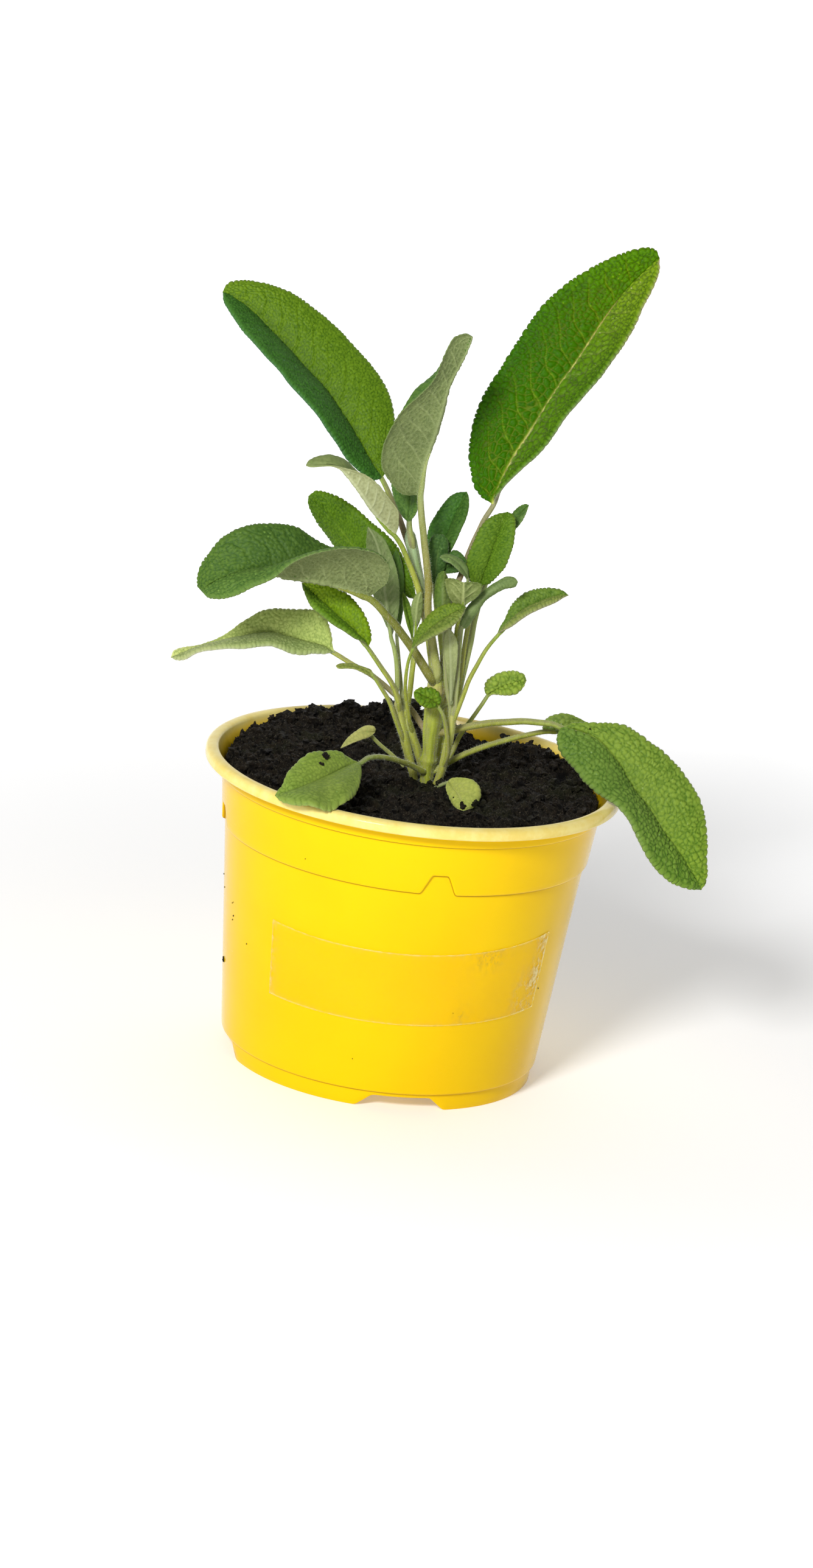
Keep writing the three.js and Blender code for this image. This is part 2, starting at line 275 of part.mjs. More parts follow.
    M: [[7.14, -3.6, 114.68], [8.07, -3.48, 117.45], [10.08, -3.26, 121.35], [13.22, -2.96, 125.15], [16.67, -2.59, 127.76], [19.47, -2.3, 128.24]],
    L: [[7.14, -3.6, 114.68], [6.75, -2.57, 117.62], [8.96, -1.64, 121.9], [12.7, -1.34, 126.03], [16.68, -1.69, 129.07], [19.47, -2.3, 128.24]],
    R: [[7.14, -3.6, 114.68], [9.21, -2.62, 116.22], [11.14, -1.73, 120.05], [13.9, -1.43, 123.96], [17.66, -1.74, 126.25], [19.47, -2.3, 128.24]],
    P: [[7.14, -3.6, 114.68], [7.23, -3.3, 110.37], [7.56, -3.5, 104.33], [7.91, -4.0, 98.19], [7.99, -4.4, 94.67]],
    young: true,
  },
  leaf_y: {
    b: 0.1,
    r: 0.8,
    M: [[7.2, -5.6, 95.69], [6.63, -5.87, 99.63], [5.75, -6.13, 105.58], [4.81, -6.2, 111.45], [4.1, -6.2, 115.26]],
    L: [[7.2, -5.6, 95.69], [7.24, -5.5, 99.71], [7.18, -5.57, 105.88], [6.48, -5.84, 112.01], [4.1, -6.2, 115.26]],
    R: [[7.2, -5.6, 95.69], [6.18, -5.07, 99.4], [4.59, -4.9, 105.2], [3.39, -5.4, 111.27], [4.1, -6.2, 115.26]],
    young: true,
  },
  leaf_t: {
    b: 0.1,
    r: 0.75,
    M: [[-13.42, -24.0, 83.12], [-15.77, -27.21, 82.92], [-18.99, -32.08, 82.2], [-22.77, -37.38, 81.13], [-26.68, -41.71, 80.02], [-30.1, -43.6, 78.82], [-32.49, -44.0, 77.95]],
    L: [[-13.42, -24.0, 83.12], [-12.73, -32.06, 82.02], [-13.96, -42.85, 80.2], [-18.44, -48.88, 78.09], [-24.31, -50.29, 78.71], [-29.37, -47.11, 77.71], [-32.49, -44.0, 77.95]],
    R: [[-13.42, -24.0, 83.12], [-16.46, -23.87, 83.82], [-20.74, -26.01, 85.83], [-26.0, -30.42, 85.47], [-29.6, -36.15, 82.91], [-31.01, -40.76, 79.77], [-32.49, -44.0, 77.95]],
    P: [[-13.42, -24.0, 83.12], [-11.37, -21.5, 83.93], [-8.61, -18.0, 83.61], [-5.27, -13.5, 82.14], [-1.85, -8.5, 80.05], [0.54, -5.4, 78.37], [2.0, -3.9, 77.33]],
  },
  leaf_u: {
    b: 0.1,
    r: 0.5,
    M: [[-10.87, 1.0, 84.23], [-12.82, 0.21, 84.19], [-15.35, -1.0, 83.23], [-17.5, -2.21, 81.43], [-18.78, -3.0, 80.14]],
    L: [[-10.87, 1.0, 84.23], [-12.15, -0.94, 83.35], [-14.73, -2.77, 82.62], [-17.14, -3.36, 81.21], [-18.78, -3.0, 80.14]],
    R: [[-10.87, 1.0, 84.23], [-12.11, 0.92, 85.81], [-15.34, 0.1, 84.36], [-17.76, -1.49, 81.98], [-18.78, -3.0, 80.14]],
    P: [[-12.04, 1.0, 83.75], [-9.46, 3.0, 80.82], [-5.76, 5.2, 77.64], [-3.34, 6.6, 75.15], [-1.67, 7.2, 72.79]],
    young: true,
  },
  leaf_v: {
    b: 0.1,
    r: 0.5,
    M: [[8.65, -11.0, 77.29], [9.97, -13.38, 76.95], [11.81, -17.0, 76.2], [12.99, -20.62, 75.05], [13.49, -23.0, 74.07]],
    L: [[8.65, -11.0, 77.29], [11.5, -12.43, 79.36], [16.27, -15.5, 78.95], [16.3, -19.67, 75.12], [13.49, -23.0, 74.07]],
    R: [[8.65, -11.0, 77.29], [8.63, -13.7, 76.26], [9.93, -17.5, 74.85], [11.81, -20.94, 73.9], [13.49, -23.0, 74.07]],
    P: [[8.65, -11.0, 77.29], [6.84, -9.0, 75.5], [5.47, -7.0, 73.77], [4.67, -6.0, 72.56]],
    young: true,
  },
  leaf_w: {
    b: 0.1,
    r: 0.85,
    M: [[35.56, 0.0, 92.12], [39.97, -1.02, 91.81], [45.81, -2.48, 89.9], [51.43, -4.31, 84.6], [56.85, -6.03, 78.12], [62.72, -7.62, 71.91], [68.16, -9.01, 66.4], [72.27, -9.7, 61.42], [75.05, -10.0, 57.8]],
    L: [[35.56, 0.0, 92.12], [40.53, 0.53, 93.76], [48.08, 0.54, 94.63], [56.68, -0.12, 91.44], [65.36, -1.38, 86.08], [71.97, -3.43, 78.47], [74.75, -5.99, 69.91], [75.77, -8.15, 62.69], [75.05, -10.0, 57.8]],
    R: [[35.56, 0.0, 92.12], [34.95, -4.21, 88.68], [39.38, -8.69, 84.95], [45.5, -12.94, 80.69], [53.07, -15.59, 76.83], [58.43, -16.25, 69.4], [64.01, -15.23, 62.7], [70.19, -12.89, 59.09], [75.05, -10.0, 57.8]],
    P: [[35.56, 0.0, 92.12], [33.06, 0.5, 92.43], [29.55, 1.2, 92.23], [26.05, 1.6, 91.96], [21.85, 1.6, 91.23], [17.21, 1.2, 90.39], [12.63, 0.7, 89.11], [9.13, 0.1, 87.85], [6.34, -0.6, 87.03], [4.24, -1.0, 86.7]],
  },
  leaf_x: {
    b: 0.1,
    r: 0.7,
    M: [[33.92, 6.5, 89.1], [36.04, 6.9, 89.7], [39.37, 7.5, 90.19], [42.74, 8.1, 90.49], [44.96, 8.5, 90.68]],
    L: [[33.92, 6.5, 89.1], [30.73, 7.33, 90.14], [35.4, 8.16, 93.32], [41.18, 8.53, 91.77], [44.96, 8.5, 90.68]],
    R: [[33.92, 6.5, 89.1], [36.04, 4.33, 88.87], [39.54, 3.55, 89.3], [42.84, 5.54, 90.27], [44.96, 8.5, 90.68]],
    P: [[33.92, 6.5, 89.1], [31.36, 6.2, 88.68], [26.62, 5.4, 87.3], [22.51, 4.4, 85.9], [17.98, 3.2, 84.18], [13.5, 1.8, 82.21], [9.23, 0.4, 79.79], [5.47, -0.8, 77.06]],
  },
};
// pieces cut back where they would meet: [piece, the piece it gives way to]
const TRIM = [
  ["stem_right", "stem_main"],
  ["stem_back", "stem_main"],
  ["stem_left_inner", "stem_main"],
  ["stem_left", "stem_main"],
  ["stem_back", "stem_left_inner"],
  ["stem_left_inner", "stem_left"],
  ["leaf_a", "stem_main"],
  ["leaf_b", "stem_main"],
  ["leaf_c", "stem_main"],
  ["leaf_c2", "stem_main"],
  ["leaf_d", "stem_main"],
  ["leaf_e", "stem_main"],
  ["leaf_f", "stem_main"],
  ["leaf_h", "stem_main"],
  ["leaf_w", "stem_main"],
  ["leaf_x", "stem_main"],
  ["leaf_t", "stem_main"],
  ["leaf_g", "stem_left"],
  ["leaf_i", "stem_left"],
  ["leaf_j", "stem_left"],
  ["leaf_k", "stem_left_inner"],
  ["leaf_k", "stem_left"],
  ["leaf_k2", "stem_left_inner"],
  ["leaf_k3", "stem_left_inner"],
  ["leaf_s", "stem_left_inner"],
  ["leaf_l", "stem_back"],
  ["leaf_m", "stem_back"],
  ["leaf_m2", "stem_back"],
  ["leaf_n", "stem_right"],
  ["leaf_o", "stem_right"],
  ["leaf_p", "stem_right"],
  ["leaf_r", "stem_right"],
  ["leaf_s2", "stem_right"],
  ["leaf_s3", "stem_right"],
  ["leaf_s4", "stem_right"],
  ["leaf_y", "stem_right"],
  ["leaf_m3", "stem_right"],
  ["leaf_c2", "leaf_a"],
  ["leaf_m2", "leaf_m"],
  ["leaf_o", "leaf_n"],
  ["leaf_s3", "leaf_n"],
  ["leaf_p", "leaf_s4"],
  ["leaf_k3", "leaf_k"],
  ["leaf_n", "leaf_s4"],
  ["leaf_s3", "leaf_s4"],
  ["leaf_m", "leaf_l"],
];

// ---------------------------------------------------------------- solids
const wasm = await Module();
wasm.setup();

function toSolid(geometry) {
  const g = (geometry.index ? geometry.toNonIndexed() : geometry.clone());
  g.deleteAttribute("normal");
  g.deleteAttribute("uv");
  const m = mergeVertices(g, 1e-4);
  return new wasm.Manifold(
    new wasm.Mesh({
      numProp: 3,
      vertProperties: new Float32Array(m.attributes.position.array),
      triVerts: new Uint32Array(m.index.array),
    }),
  );
}

function toGeometry(solid) {
  const m = solid.getMesh();
  const n = m.numProp;
  const v = new Float32Array(m.numVert * 3);
  for (let i = 0; i < m.numVert; i++)
    for (let k = 0; k < 3; k++) v[3 * i + k] = m.vertProperties[n * i + k];
  const g = new THREE.BufferGeometry();
  g.setAttribute("position", new THREE.BufferAttribute(v, 3));
  g.setIndex(new THREE.BufferAttribute(new Uint32Array(m.triVerts), 1));
  g.computeVertexNormals();
  return g;
}

// the largest body of a solid, for a piece whose trimmed-off end is left loose
function mainBody(solid) {
  const bodies = solid.decompose();
  bodies.sort((a, b) => b.volume() - a.volume());
  return bodies[0];
}

function meshFrom(vertices, faces) {
  const g = new THREE.BufferGeometry();
  g.setAttribute("position", new THREE.BufferAttribute(new Float32Array(vertices.flatMap((p) => [p.x, p.y, p.z])), 3));
  g.setIndex(faces.flat());
  return g;
}

const V = (a) => new THREE.Vector3(a[0] + SHIFT_X, a[1] + SHIFT_Y, a[2]);

// a round tube through points, with a radius at each, closed by end caps
function tube(points, radii, sides, extra = 0) {
  const curve = new THREE.CatmullRomCurve3(points, false, "centripetal");
  const n = Math.max(3, Math.round(points.length * 0.85));
  const frames = curve.computeFrenetFrames(n, false);
  const verts = [];
  const faces = [];
  for (let i = 0; i <= n; i++) {
    const u = i / n;
    const c = curve.getPointAt(u);
    const t = curve.getUtoTmapping(u) * (points.length - 1);
    const k = Math.min(points.length - 2, Math.floor(t));
    const r = radii[k] + (radii[k + 1] - radii[k]) * (t - k) + extra;
    for (let j = 0; j < sides; j++) {
      const a = (j / sides) * 2 * Math.PI;
      verts.push(
        c
          .clone()
          .addScaledVector(frames.normals[i], Math.cos(a) * r)
          .addScaledVector(frames.binormals[i], Math.sin(a) * r),
      );
    }
  }
  for (let i = 0; i < n; i++)
    for (let j = 0; j < sides; j++) {
      const a = i * sides + j;
      const b = i * sides + ((j + 1) % sides);
      faces.push([a, b, b + sides], [a, b + sides, a + sides]);
    }
  const c0 = verts.length;
  verts.push(curve.getPointAt(0), curve.getPointAt(1));
  for (let j = 0; j < sides; j++) {
    faces.push([c0, (j + 1) % sides, j]);
    faces.push([c0 + 1, n * sides + j, n * sides + ((j + 1) % sides)]);
  }
  const s = toSolid(meshFrom(verts, faces));
  if (s.volume() > 0) return s;
  return toSolid(meshFrom(verts, faces.map((f) => [f[0], f[2], f[1]])));
}

// a leaf blade: five points across at each station, given a thickness along the surface normal
function blade(leaf, thick = BLADE, grow = 0) {
  const M = leaf.M.map(V);
  const L = leaf.L.map(V);
  const R = leaf.R.map(V);
  const n = M.length;
  const end = (i, j) => {
    // the two ends come to a narrow edge, not a point
    const across = R[j].clone().sub(L[j]).normalize().multiplyScalar(0.45 + grow);
    L[i] = M[i].clone().sub(across);
    R[i] = M[i].clone().add(across);
  };
  end(0, 1);
  end(n - 1, n - 2);
  if (grow > 0) {
    const d0 = M[0].clone().sub(M[1]).normalize().multiplyScalar(grow);
    const d1 = M[n - 1].clone().sub(M[n - 2]).normalize().multiplyScalar(grow);
    [L, M, R].forEach((Q) => { Q[0].add(d0); Q[n - 1].add(d1); });
    for (let i = 1; i < n - 1; i++) {
      L[i].add(L[i].clone().sub(M[i]).normalize().multiplyScalar(grow));
      R[i].add(R[i].clone().sub(M[i]).normalize().multiplyScalar(grow));
    }
  }
  const rows = [];
  for (let i = 0; i < n; i++) {
    const t = M[Math.min(i + 1, n - 1)].clone().sub(M[Math.max(i - 1, 0)]).normalize();
    const nl = M[i].clone().sub(L[i]).cross(t).normalize();
    const nr = R[i].clone().sub(M[i]).cross(t).normalize();
    const nm = nl.clone().add(nr).normalize();
    const wl = M[i].distanceTo(L[i]) * leaf.b;
    const wr = M[i].distanceTo(R[i]) * leaf.b;
    const lm = L[i].clone().add(M[i]).multiplyScalar(0.5).addScaledVector(nl, wl);
    const rm = R[i].clone().add(M[i]).multiplyScalar(0.5).addScaledVector(nr, wr);
    rows.push([L[i], lm, M[i], rm, R[i]]);
  }
  const across = 5;
  const normal = (i, j) => {
    const a = rows[Math.min(i + 1, n - 1)][j].clone().sub(rows[Math.max(i - 1, 0)][j]);
    const b = rows[i][Math.min(j + 1, 4)].clone().sub(rows[i][Math.max(j - 1, 0)]);
    return b.cross(a).normalize();
  };
  const verts = [];
  const faces = [];
  for (const side of [0.5, -0.5])
    for (let i = 0; i < n; i++)
      for (let j = 0; j < across; j++)
        verts.push(rows[i][j].clone().addScaledVector(normal(i, j), side * (thick + 2 * grow)));
  const at = (s, i, j) => s * n * across + i * across + j;
  const quad = (a, b, c, d) => faces.push([a, b, c], [a, c, d]);
  for (let i = 0; i < n - 1; i++)
    for (let j = 0; j < across - 1; j++) {
      quad(at(0, i, j), at(0, i, j + 1), at(0, i + 1, j + 1), at(0, i + 1, j));
      quad(at(1, i, j), at(1, i + 1, j), at(1, i + 1, j + 1), at(1, i, j + 1));
    }
  for (let i = 0; i < n - 1; i++) {
    quad(at(0, i, 0), at(0, i + 1, 0), at(1, i + 1, 0), at(1, i, 0));
    quad(at(0, i, 4), at(1, i, 4), at(1, i + 1, 4), at(0, i + 1, 4));
  }
  for (let j = 0; j < across - 1; j++) {
    quad(at(0, 0, j), at(1, 0, j), at(1, 0, j + 1), at(0, 0, j + 1));
    quad(at(0, n - 1, j), at(0, n - 1, j + 1), at(1, n - 1, j + 1), at(1, n - 1, j));
  }
  const s = toSolid(meshFrom(verts, faces));
  if (s.volume() > 0) return s;
  return toSolid(meshFrom(verts, faces.map((f) => [f[0], f[2], f[1]])));
}

function leafSolid(leaf, grow = 0) {
  let s = blade(leaf, BLADE, grow);
  if (leaf.P) {
    // the stalk runs on under the base of the blade as its midrib
    const run = [...leaf.P].reverse().map(V);
    const into = leaf.M.slice(1, 3).map(V);
    const pts = [...run, ...into];
    const radii = pts.map((_, i) => (i < run.length ? leaf.r : leaf.r * (i === run.length ? 0.75 : 0.45)));
    s = s.add(tube(pts, radii, 5, grow));
  }
  return s;
}

// ---------------------------------------------------------------- pot
function trapezoid(halfLow, halfTop, zLow, zTop) {
  return new THREE.Shape([
    new THREE.Vector2(-halfLow, zLow),
    new THREE.Vector2(halfLow, zLow),
    new THREE.Vector2(halfTop, zTop),
    new THREE.Vector2(-halfTop, zTop),
  ]);
}

// a trapezoid cutter that reaches from radius r0 to r1, turned to an angle round the pot
function radialCutter(shape, r0, r1, degrees) {
  const g = new THREE.ExtrudeGeometry(shape, { depth: r1 - r0, bevelEnabled: false });
  g.rotateX(Math.PI / 2); // the shape's y becomes z, its depth runs to -y
  g.translate(0, -r0, 0);
  g.rotateZ(rad(degrees));
  g.translate(SHIFT_X, SHIFT_Y, 0);
  return toSolid(g);
}

function latheSolid(profile, segments) {
  const g = new THREE.LatheGeometry(profile.map((p) => new THREE.Vector2(p[0], p[1])), segments);
  g.rotateX(Math.PI / 2);
  g.translate(SHIFT_X, SHIFT_Y, 0);
  const s = toSolid(g);
  if (s.volume() > 0) return s;
  const h = new THREE.LatheGeometry([...profile].reverse().map((p) => new THREE.Vector2(p[0], p[1])), segments);
  h.rotateX(Math.PI / 2);
  h.translate(SHIFT_X, SHIFT_Y, 0);
  return toSolid(h);
}

const potProfile = [
  [0, FLOOR_LOW_Z],
  [FOOT_R - 1.35, FLOOR_LOW_Z],
  [FOOT_R - 1.5, 0],
  [FOOT_R, 0],
  [FOOT_R + 0.2, LEDGE_Z - 0.15],
  [bodyR(LEDGE_Z), LEDGE_Z + 0.15],
  [bodyR(30), 30],
  [bodyR(COLLAR_LOW_Z - 0.15), COLLAR_LOW_Z - 0.15],
  [COLLAR_LOW_R, COLLAR_LOW_Z + 0.25],
  [COLLAR_TOP_R, RING_Z - 0.15],
  [NECK_R, RING_Z + 0.2],
  [NECK_R + 0.1, LIP_LOW_Z],
  [LIP_OUTER_R - 0.25, LIP_LOW_Z],
  [LIP_OUTER_R, LIP_LOW_Z + 0.35],
  [LIP_OUTER_R - 0.45, LIP_TOP_Z - 0.9],
  [LIP_OUTER_R - 1.2, LIP_TOP_Z],
  [LIP_INNER_R + 0.8, LIP_TOP_Z],
  [LIP_INNER_R, LIP_TOP_Z - 0.7],
  [LIP_INNER_R - 0.6, LIP_TOP_Z - 2.2],
  [NECK_R - WALL, RING_Z + 1.0],
  [COLLAR_TOP_R - WALL, RING_Z - 0.6],
  [bodyR(65) - 1.0, 65.5],
  [bodyR(57) - WALL, 57],
  [bodyR(FLOOR_TOP_Z) - WALL - 0.5, FLOOR_TOP_Z + 1.2],
  [bodyR(FLOOR_TOP_Z) - WALL - 1.7, FLOOR_TOP_Z],
  [0, FLOOR_TOP_Z],
];

function buildPot() {
  let pot = latheSolid(potProfile, POT_SEGMENTS);
  const slope = (GAP_HALF_LOW - GAP_HALF_TOP) / GAP_HEIGHT;
  for (let i = 0; i < FOOT_GAPS; i++) {
    const a = GAP_ANGLE0 + (i * 360) / FOOT_GAPS;
    pot = pot.subtract(radialCutter(trapezoid(GAP_HALF_LOW + slope, GAP_HALF_TOP, -1, GAP_HEIGHT), 30, 46, a));
  }
  // the notches in the collar go no deeper than the body's own surface
  for (let i = 0; i < 4; i++) {
    const a = NOTCH_ANGLE0 + i * 90;
    const z0 = COLLAR_LOW_Z - 1;
    const z1 = NOTCH_TOP_Z;
    const cut = radialCutter(trapezoid(NOTCH_HALF_LOW + 0.4, NOTCH_HALF_TOP, z0, z1), 40, 55, a);
    const inside = latheSolid(
      [
        [0, z0 - 2],
        [bodyR(z0 - 2) + 0.02, z0 - 2],
        [bodyR(z1 + 2) + 0.02, z1 + 2],
        [0, z1 + 2],
      ],
      POT_SEGMENTS,
    );
    pot = pot.subtract(cut.subtract(inside));
  }
  for (let i = 0; i < DRAIN_HOLES; i++) {
    const a = rad((i * 360) / DRAIN_HOLES + 22.5);
    const g = new THREE.CylinderGeometry(DRAIN_RADIUS, DRAIN_RADIUS, 6, 14);
    g.rotateX(Math.PI / 2);
    g.translate(SHIFT_X + DRAIN_RING_R * Math.cos(a), SHIFT_Y + DRAIN_RING_R * Math.sin(a), FLOOR_TOP_Z);
    pot = pot.subtract(toSolid(g));
  }
  return pot;
}

// ---------------------------------------------------------------- label: a bare clear film that follows the taper
const labelTop = (d) => 42.15 + 0.0008 * (d + 8) ** 2;
const labelLow = (d) => 23.05 + 0.00045 * (d + 12) ** 2;

function buildLabel() {
  const n = 24;
  const verts = [];
  const faces = [];
  for (let i = 0; i <= n; i++) {
    const d = LABEL_FROM + ((LABEL_TO - LABEL_FROM) * i) / n;
    for (const [z, k] of [
      [labelLow(d), 0],
      [labelTop(d), 0],
      [labelTop(d), 1],
      [labelLow(d), 1],
    ]) {
      const r = bodyR(z) + LABEL_GAP + k * LABEL_THICK;
      verts.push(new THREE.Vector3(SHIFT_X + r * Math.sin(rad(d)), SHIFT_Y - r * Math.cos(rad(d)), z));
    }
  }
  for (let i = 0; i < n; i++)
    for (let j = 0; j < 4; j++) {
      const a = 4 * i + j;
      const b = 4 * i + ((j + 1) % 4);
      faces.push([a, a + 4, b + 4], [a, b + 4, b]);
    }
  faces.push([0, 1, 2], [0, 2, 3]);
  const e = 4 * n;
  faces.push([e, e + 2, e + 1], [e, e + 3, e + 2]);
  const s = toSolid(meshFrom(verts, faces));
  return s.volume() > 0 ? s : toSolid(meshFrom(verts, faces.map((f) => [f[0], f[2], f[1]])));
}

// ---------------------------------------------------------------- compost
function soilHeight(x, y) {
  const bump = (cx, cy, s, h) => h * Math.exp(-((x - cx) ** 2 + (y - cy) ** 2) / (2 * s * s));
  return (
    SOIL_LEVEL +
    bump(-20, 38, 11, 4.6) +
    bump(-2, 44, 8, 3.2) +
    bump(-38, 24, 8, 1.6) +
    bump(-44, 6, 6, -1.6) +
    bump(30, 30, 10, -0.6) +
    bump(34, -10, 12, 0.7) +
    bump(5, -38, 12, 0.6) +
    0.35 * Math.sin(0.42 * x + 1.1) * Math.cos(0.37 * y + 0.4)
  );
}

function innerR(z) {
  // inner face of the pot wall at a height
  const p = potProfile.slice(17);
  for (let i = 0; i < p.length - 1; i++)
    if (z <= p[i][1] && z >= p[i + 1][1] && p[i][1] > p[i + 1][1])
      return p[i + 1][0] + ((p[i][0] - p[i + 1][0]) * (z - p[i + 1][1])) / (p[i][1] - p[i + 1][1]);
  return p[0][0];
}

function buildSoil() {
  const sectors = 32;
  const rings = [7, 14, 21, 28, 35, 41, 45];
  const verts = [];
  const faces = [];
  const put = (r, a, z) => verts.push(new THREE.Vector3(SHIFT_X + r * Math.cos(a), SHIFT_Y + r * Math.sin(a), z));
  const angle = (j) => (j / sectors) * 2 * Math.PI;
  put(0, 0, soilHeight(0, 0));
  for (const r of rings)
    for (let j = 0; j < sectors; j++)
      put(r, angle(j), soilHeight(r * Math.cos(angle(j)), r * Math.sin(angle(j))) + (((j * 7 + r * 3) % 5) - 2) * 0.16);
  for (const z of ["edge", 69.8, 65.4, 57, 7.2, 5.9]) {
    for (let j = 0; j < sectors; j++) {
      const x = 46 * Math.cos(angle(j));
      const y = 46 * Math.sin(angle(j));
      const h = z === "edge" ? Math.min(76.6, soilHeight(x, y)) - 0.2 : z;
      // the wall's facets run inside its radius between segments
      const r = z === 5.9 ? innerR(7.0) - SOIL_GAP - 1.6 : innerR(h) * Math.cos(Math.PI / POT_SEGMENTS) - SOIL_GAP;
      put(r, angle(j), h);
    }
  }
  put(0, 0, 5.9);
  const R = rings.length + 6;
  const id = (k, j) => 1 + k * sectors + (j % sectors);
  for (let j = 0; j < sectors; j++) {
    faces.push([0, id(0, j), id(0, j + 1)]);
    for (let k = 0; k < R - 1; k++)
      faces.push([id(k, j), id(k + 1, j), id(k + 1, j + 1)], [id(k, j), id(k + 1, j + 1), id(k, j + 1)]);
    faces.push([verts.length - 1, id(R - 1, j + 1), id(R - 1, j)]);
  }
  const s = toSolid(meshFrom(verts, faces));
  return s.volume() > 0 ? s : toSolid(meshFrom(verts, faces.map((f) => [f[0], f[2], f[1]])));
}

// ---------------------------------------------------------------- assembly
const solids = new Map();
const grown = new Map(); // each piece a little larger, for cutting what it meets

solids.set("pot", buildPot());
solids.set("label_film", buildLabel());

for (const [name, s] of Object.entries(STEMS)) {
  const pts = s.map(V);
  const radii = s.map((p) => p[3]);
  solids.set(name, tube(pts, radii, 7));
  grown.set(name, tube(pts, radii, 7, GAP));
}
for (const [name, leaf] of Object.entries(LEAVES)) {
  solids.set(name, leafSolid(leaf));
  grown.set(name, leafSolid(leaf, GAP));
}
let soil = buildSoil();
for (const name of Object.keys(STEMS)) soil = soil.subtract(grown.get(name));
for (const name of ["leaf_u", "leaf_v"]) soil = soil.subtract(grown.get(name));
solids.set("soil", mainBody(soil));

for (const [name, other] of TRIM) {
  const cutter = grown.get(other) ?? solids.get(other);
  solids.set(name, mainBody(solids.get(name).subtract(cutter)));
}

const LOOKS = {
  pot: { color: 0xf6cf12, roughness: 0.35 },
  label_film: { color: 0xf0d860, roughness: 0.3 },
  soil: { color: 0x1c1714, roughness: 0.95 },
  stem: { color: 0x98a04a, roughness: 0.6 },
  leaf: { color: 0x4c8a26, roughness: 0.65 },
  young: { color: 0x93a86a, roughness: 0.7 },
};
const looks = Object.fromEntries(
  Object.entries(LOOKS).map(([k, v]) => [k, new THREE.MeshStandardMaterial({ metalness: 0, ...v })]),
);

const sage = new THREE.Group();
sage.name = "potted_sage";
for (const [name, solid] of solids) {
  const kind = LOOKS[name] ? name : name.startsWith("stem") ? "stem" : LEAVES[name].young ? "young" : "leaf";
  const mesh = new THREE.Mesh(toGeometry(solid), looks[kind]);
  mesh.name = name;
  sage.add(mesh);
}

export default sage;
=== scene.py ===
"""A potted sage: the fine surface, materials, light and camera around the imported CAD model.

Blender 4.5. Lengths in the tables are millimetres in the row frame (+Z up, the front faces -Y).
"""

import math

import bpy
import numpy as np
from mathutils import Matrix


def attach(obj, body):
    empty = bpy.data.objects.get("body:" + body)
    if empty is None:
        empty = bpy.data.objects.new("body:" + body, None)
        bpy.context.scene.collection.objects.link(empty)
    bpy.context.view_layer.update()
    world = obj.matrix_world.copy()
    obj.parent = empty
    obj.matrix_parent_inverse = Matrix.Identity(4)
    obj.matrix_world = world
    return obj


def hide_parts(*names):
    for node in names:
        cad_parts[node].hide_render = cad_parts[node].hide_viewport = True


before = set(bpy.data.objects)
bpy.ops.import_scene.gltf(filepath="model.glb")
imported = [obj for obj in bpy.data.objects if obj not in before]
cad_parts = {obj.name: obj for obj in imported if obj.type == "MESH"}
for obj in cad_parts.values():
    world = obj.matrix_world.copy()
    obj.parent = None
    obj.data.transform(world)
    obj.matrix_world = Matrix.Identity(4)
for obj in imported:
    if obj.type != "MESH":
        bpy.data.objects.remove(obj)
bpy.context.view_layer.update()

MM = 0.001
AX = -5.696  # the pot's axis, in mm
scene = bpy.context.scene

# ------------------------------------------------------------------ tables
# stems: x, y, z, radius, from the compost up
STEMS = {
    "stem_main": [[-1.48,-1.5,66.0,1.75], [-1.83,-1.5,70.48,1.75], [-2.31,-1.5,76.66,1.75], [-2.34,-1.4,81.74,1.85], [-2.58,-1.3,85.99,2.1], [-2.59,-1.2,89.62,2.45], [-2.83,-1.1,95.12,2.35], [-2.94,-1.0,99.52,2.2], [-4.27,-0.8,105.14,1.45], [-6.21,-0.5,111.9,1.35], [-8.19,0.0,117.79,1.3], [-9.93,0.3,122.98,1.35], [-11.9,0.6,128.9,1.45], [-13.63,0.9,134.06,1.5], [-14.88,1.1,137.9,1.2]],
    "stem_left": [[-2.96,0.86,66.0,0.95], [-4.38,0.2,70.75,0.95], [-5.68,-0.4,75.08,0.95], [-7.31,-1.0,79.67,1.0], [-8.92,-1.8,84.15,1.05], [-10.42,-2.2,88.84,1.05], [-11.45,-2.4,92.25,1.0], [-12.44,-2.5,95.31,0.85]],
    "stem_left_inner": [[-2.02,3.81,66.0,0.95], [-2.89,2.6,71.69,0.95], [-3.61,1.6,76.38,0.95], [-5.19,0.4,80.68,1.0], [-7.06,-0.8,84.92,1.0], [-8.36,-1.6,88.15,0.95], [-9.47,-2.0,90.98,0.8]],
    "stem_right": [[-1.92,-2.28,66.0,0.9], [-0.17,-3.6,72.45,0.9], [0.89,-4.4,76.35,0.95], [1.63,-4.6,81.45,1.0], [2.02,-4.5,86.73,1.05], [2.11,-4.3,91.29,1.05], [1.98,-4.2,94.1,0.9]],
    "stem_back": [[-2.08,3.51,66.0,0.9], [-1.3,3.0,72.43,0.9], [-0.69,2.6,77.45,0.9], [0.15,2.7,81.71,0.95], [0.66,3.0,86.01,0.95], [0.1,3.2,92.75,0.95], [-1.05,3.2,100.54,0.9], [-2.65,3.0,108.31,0.85], [-4.7,2.6,116.03,0.8], [-6.2,2.2,121.9,0.7]],
}

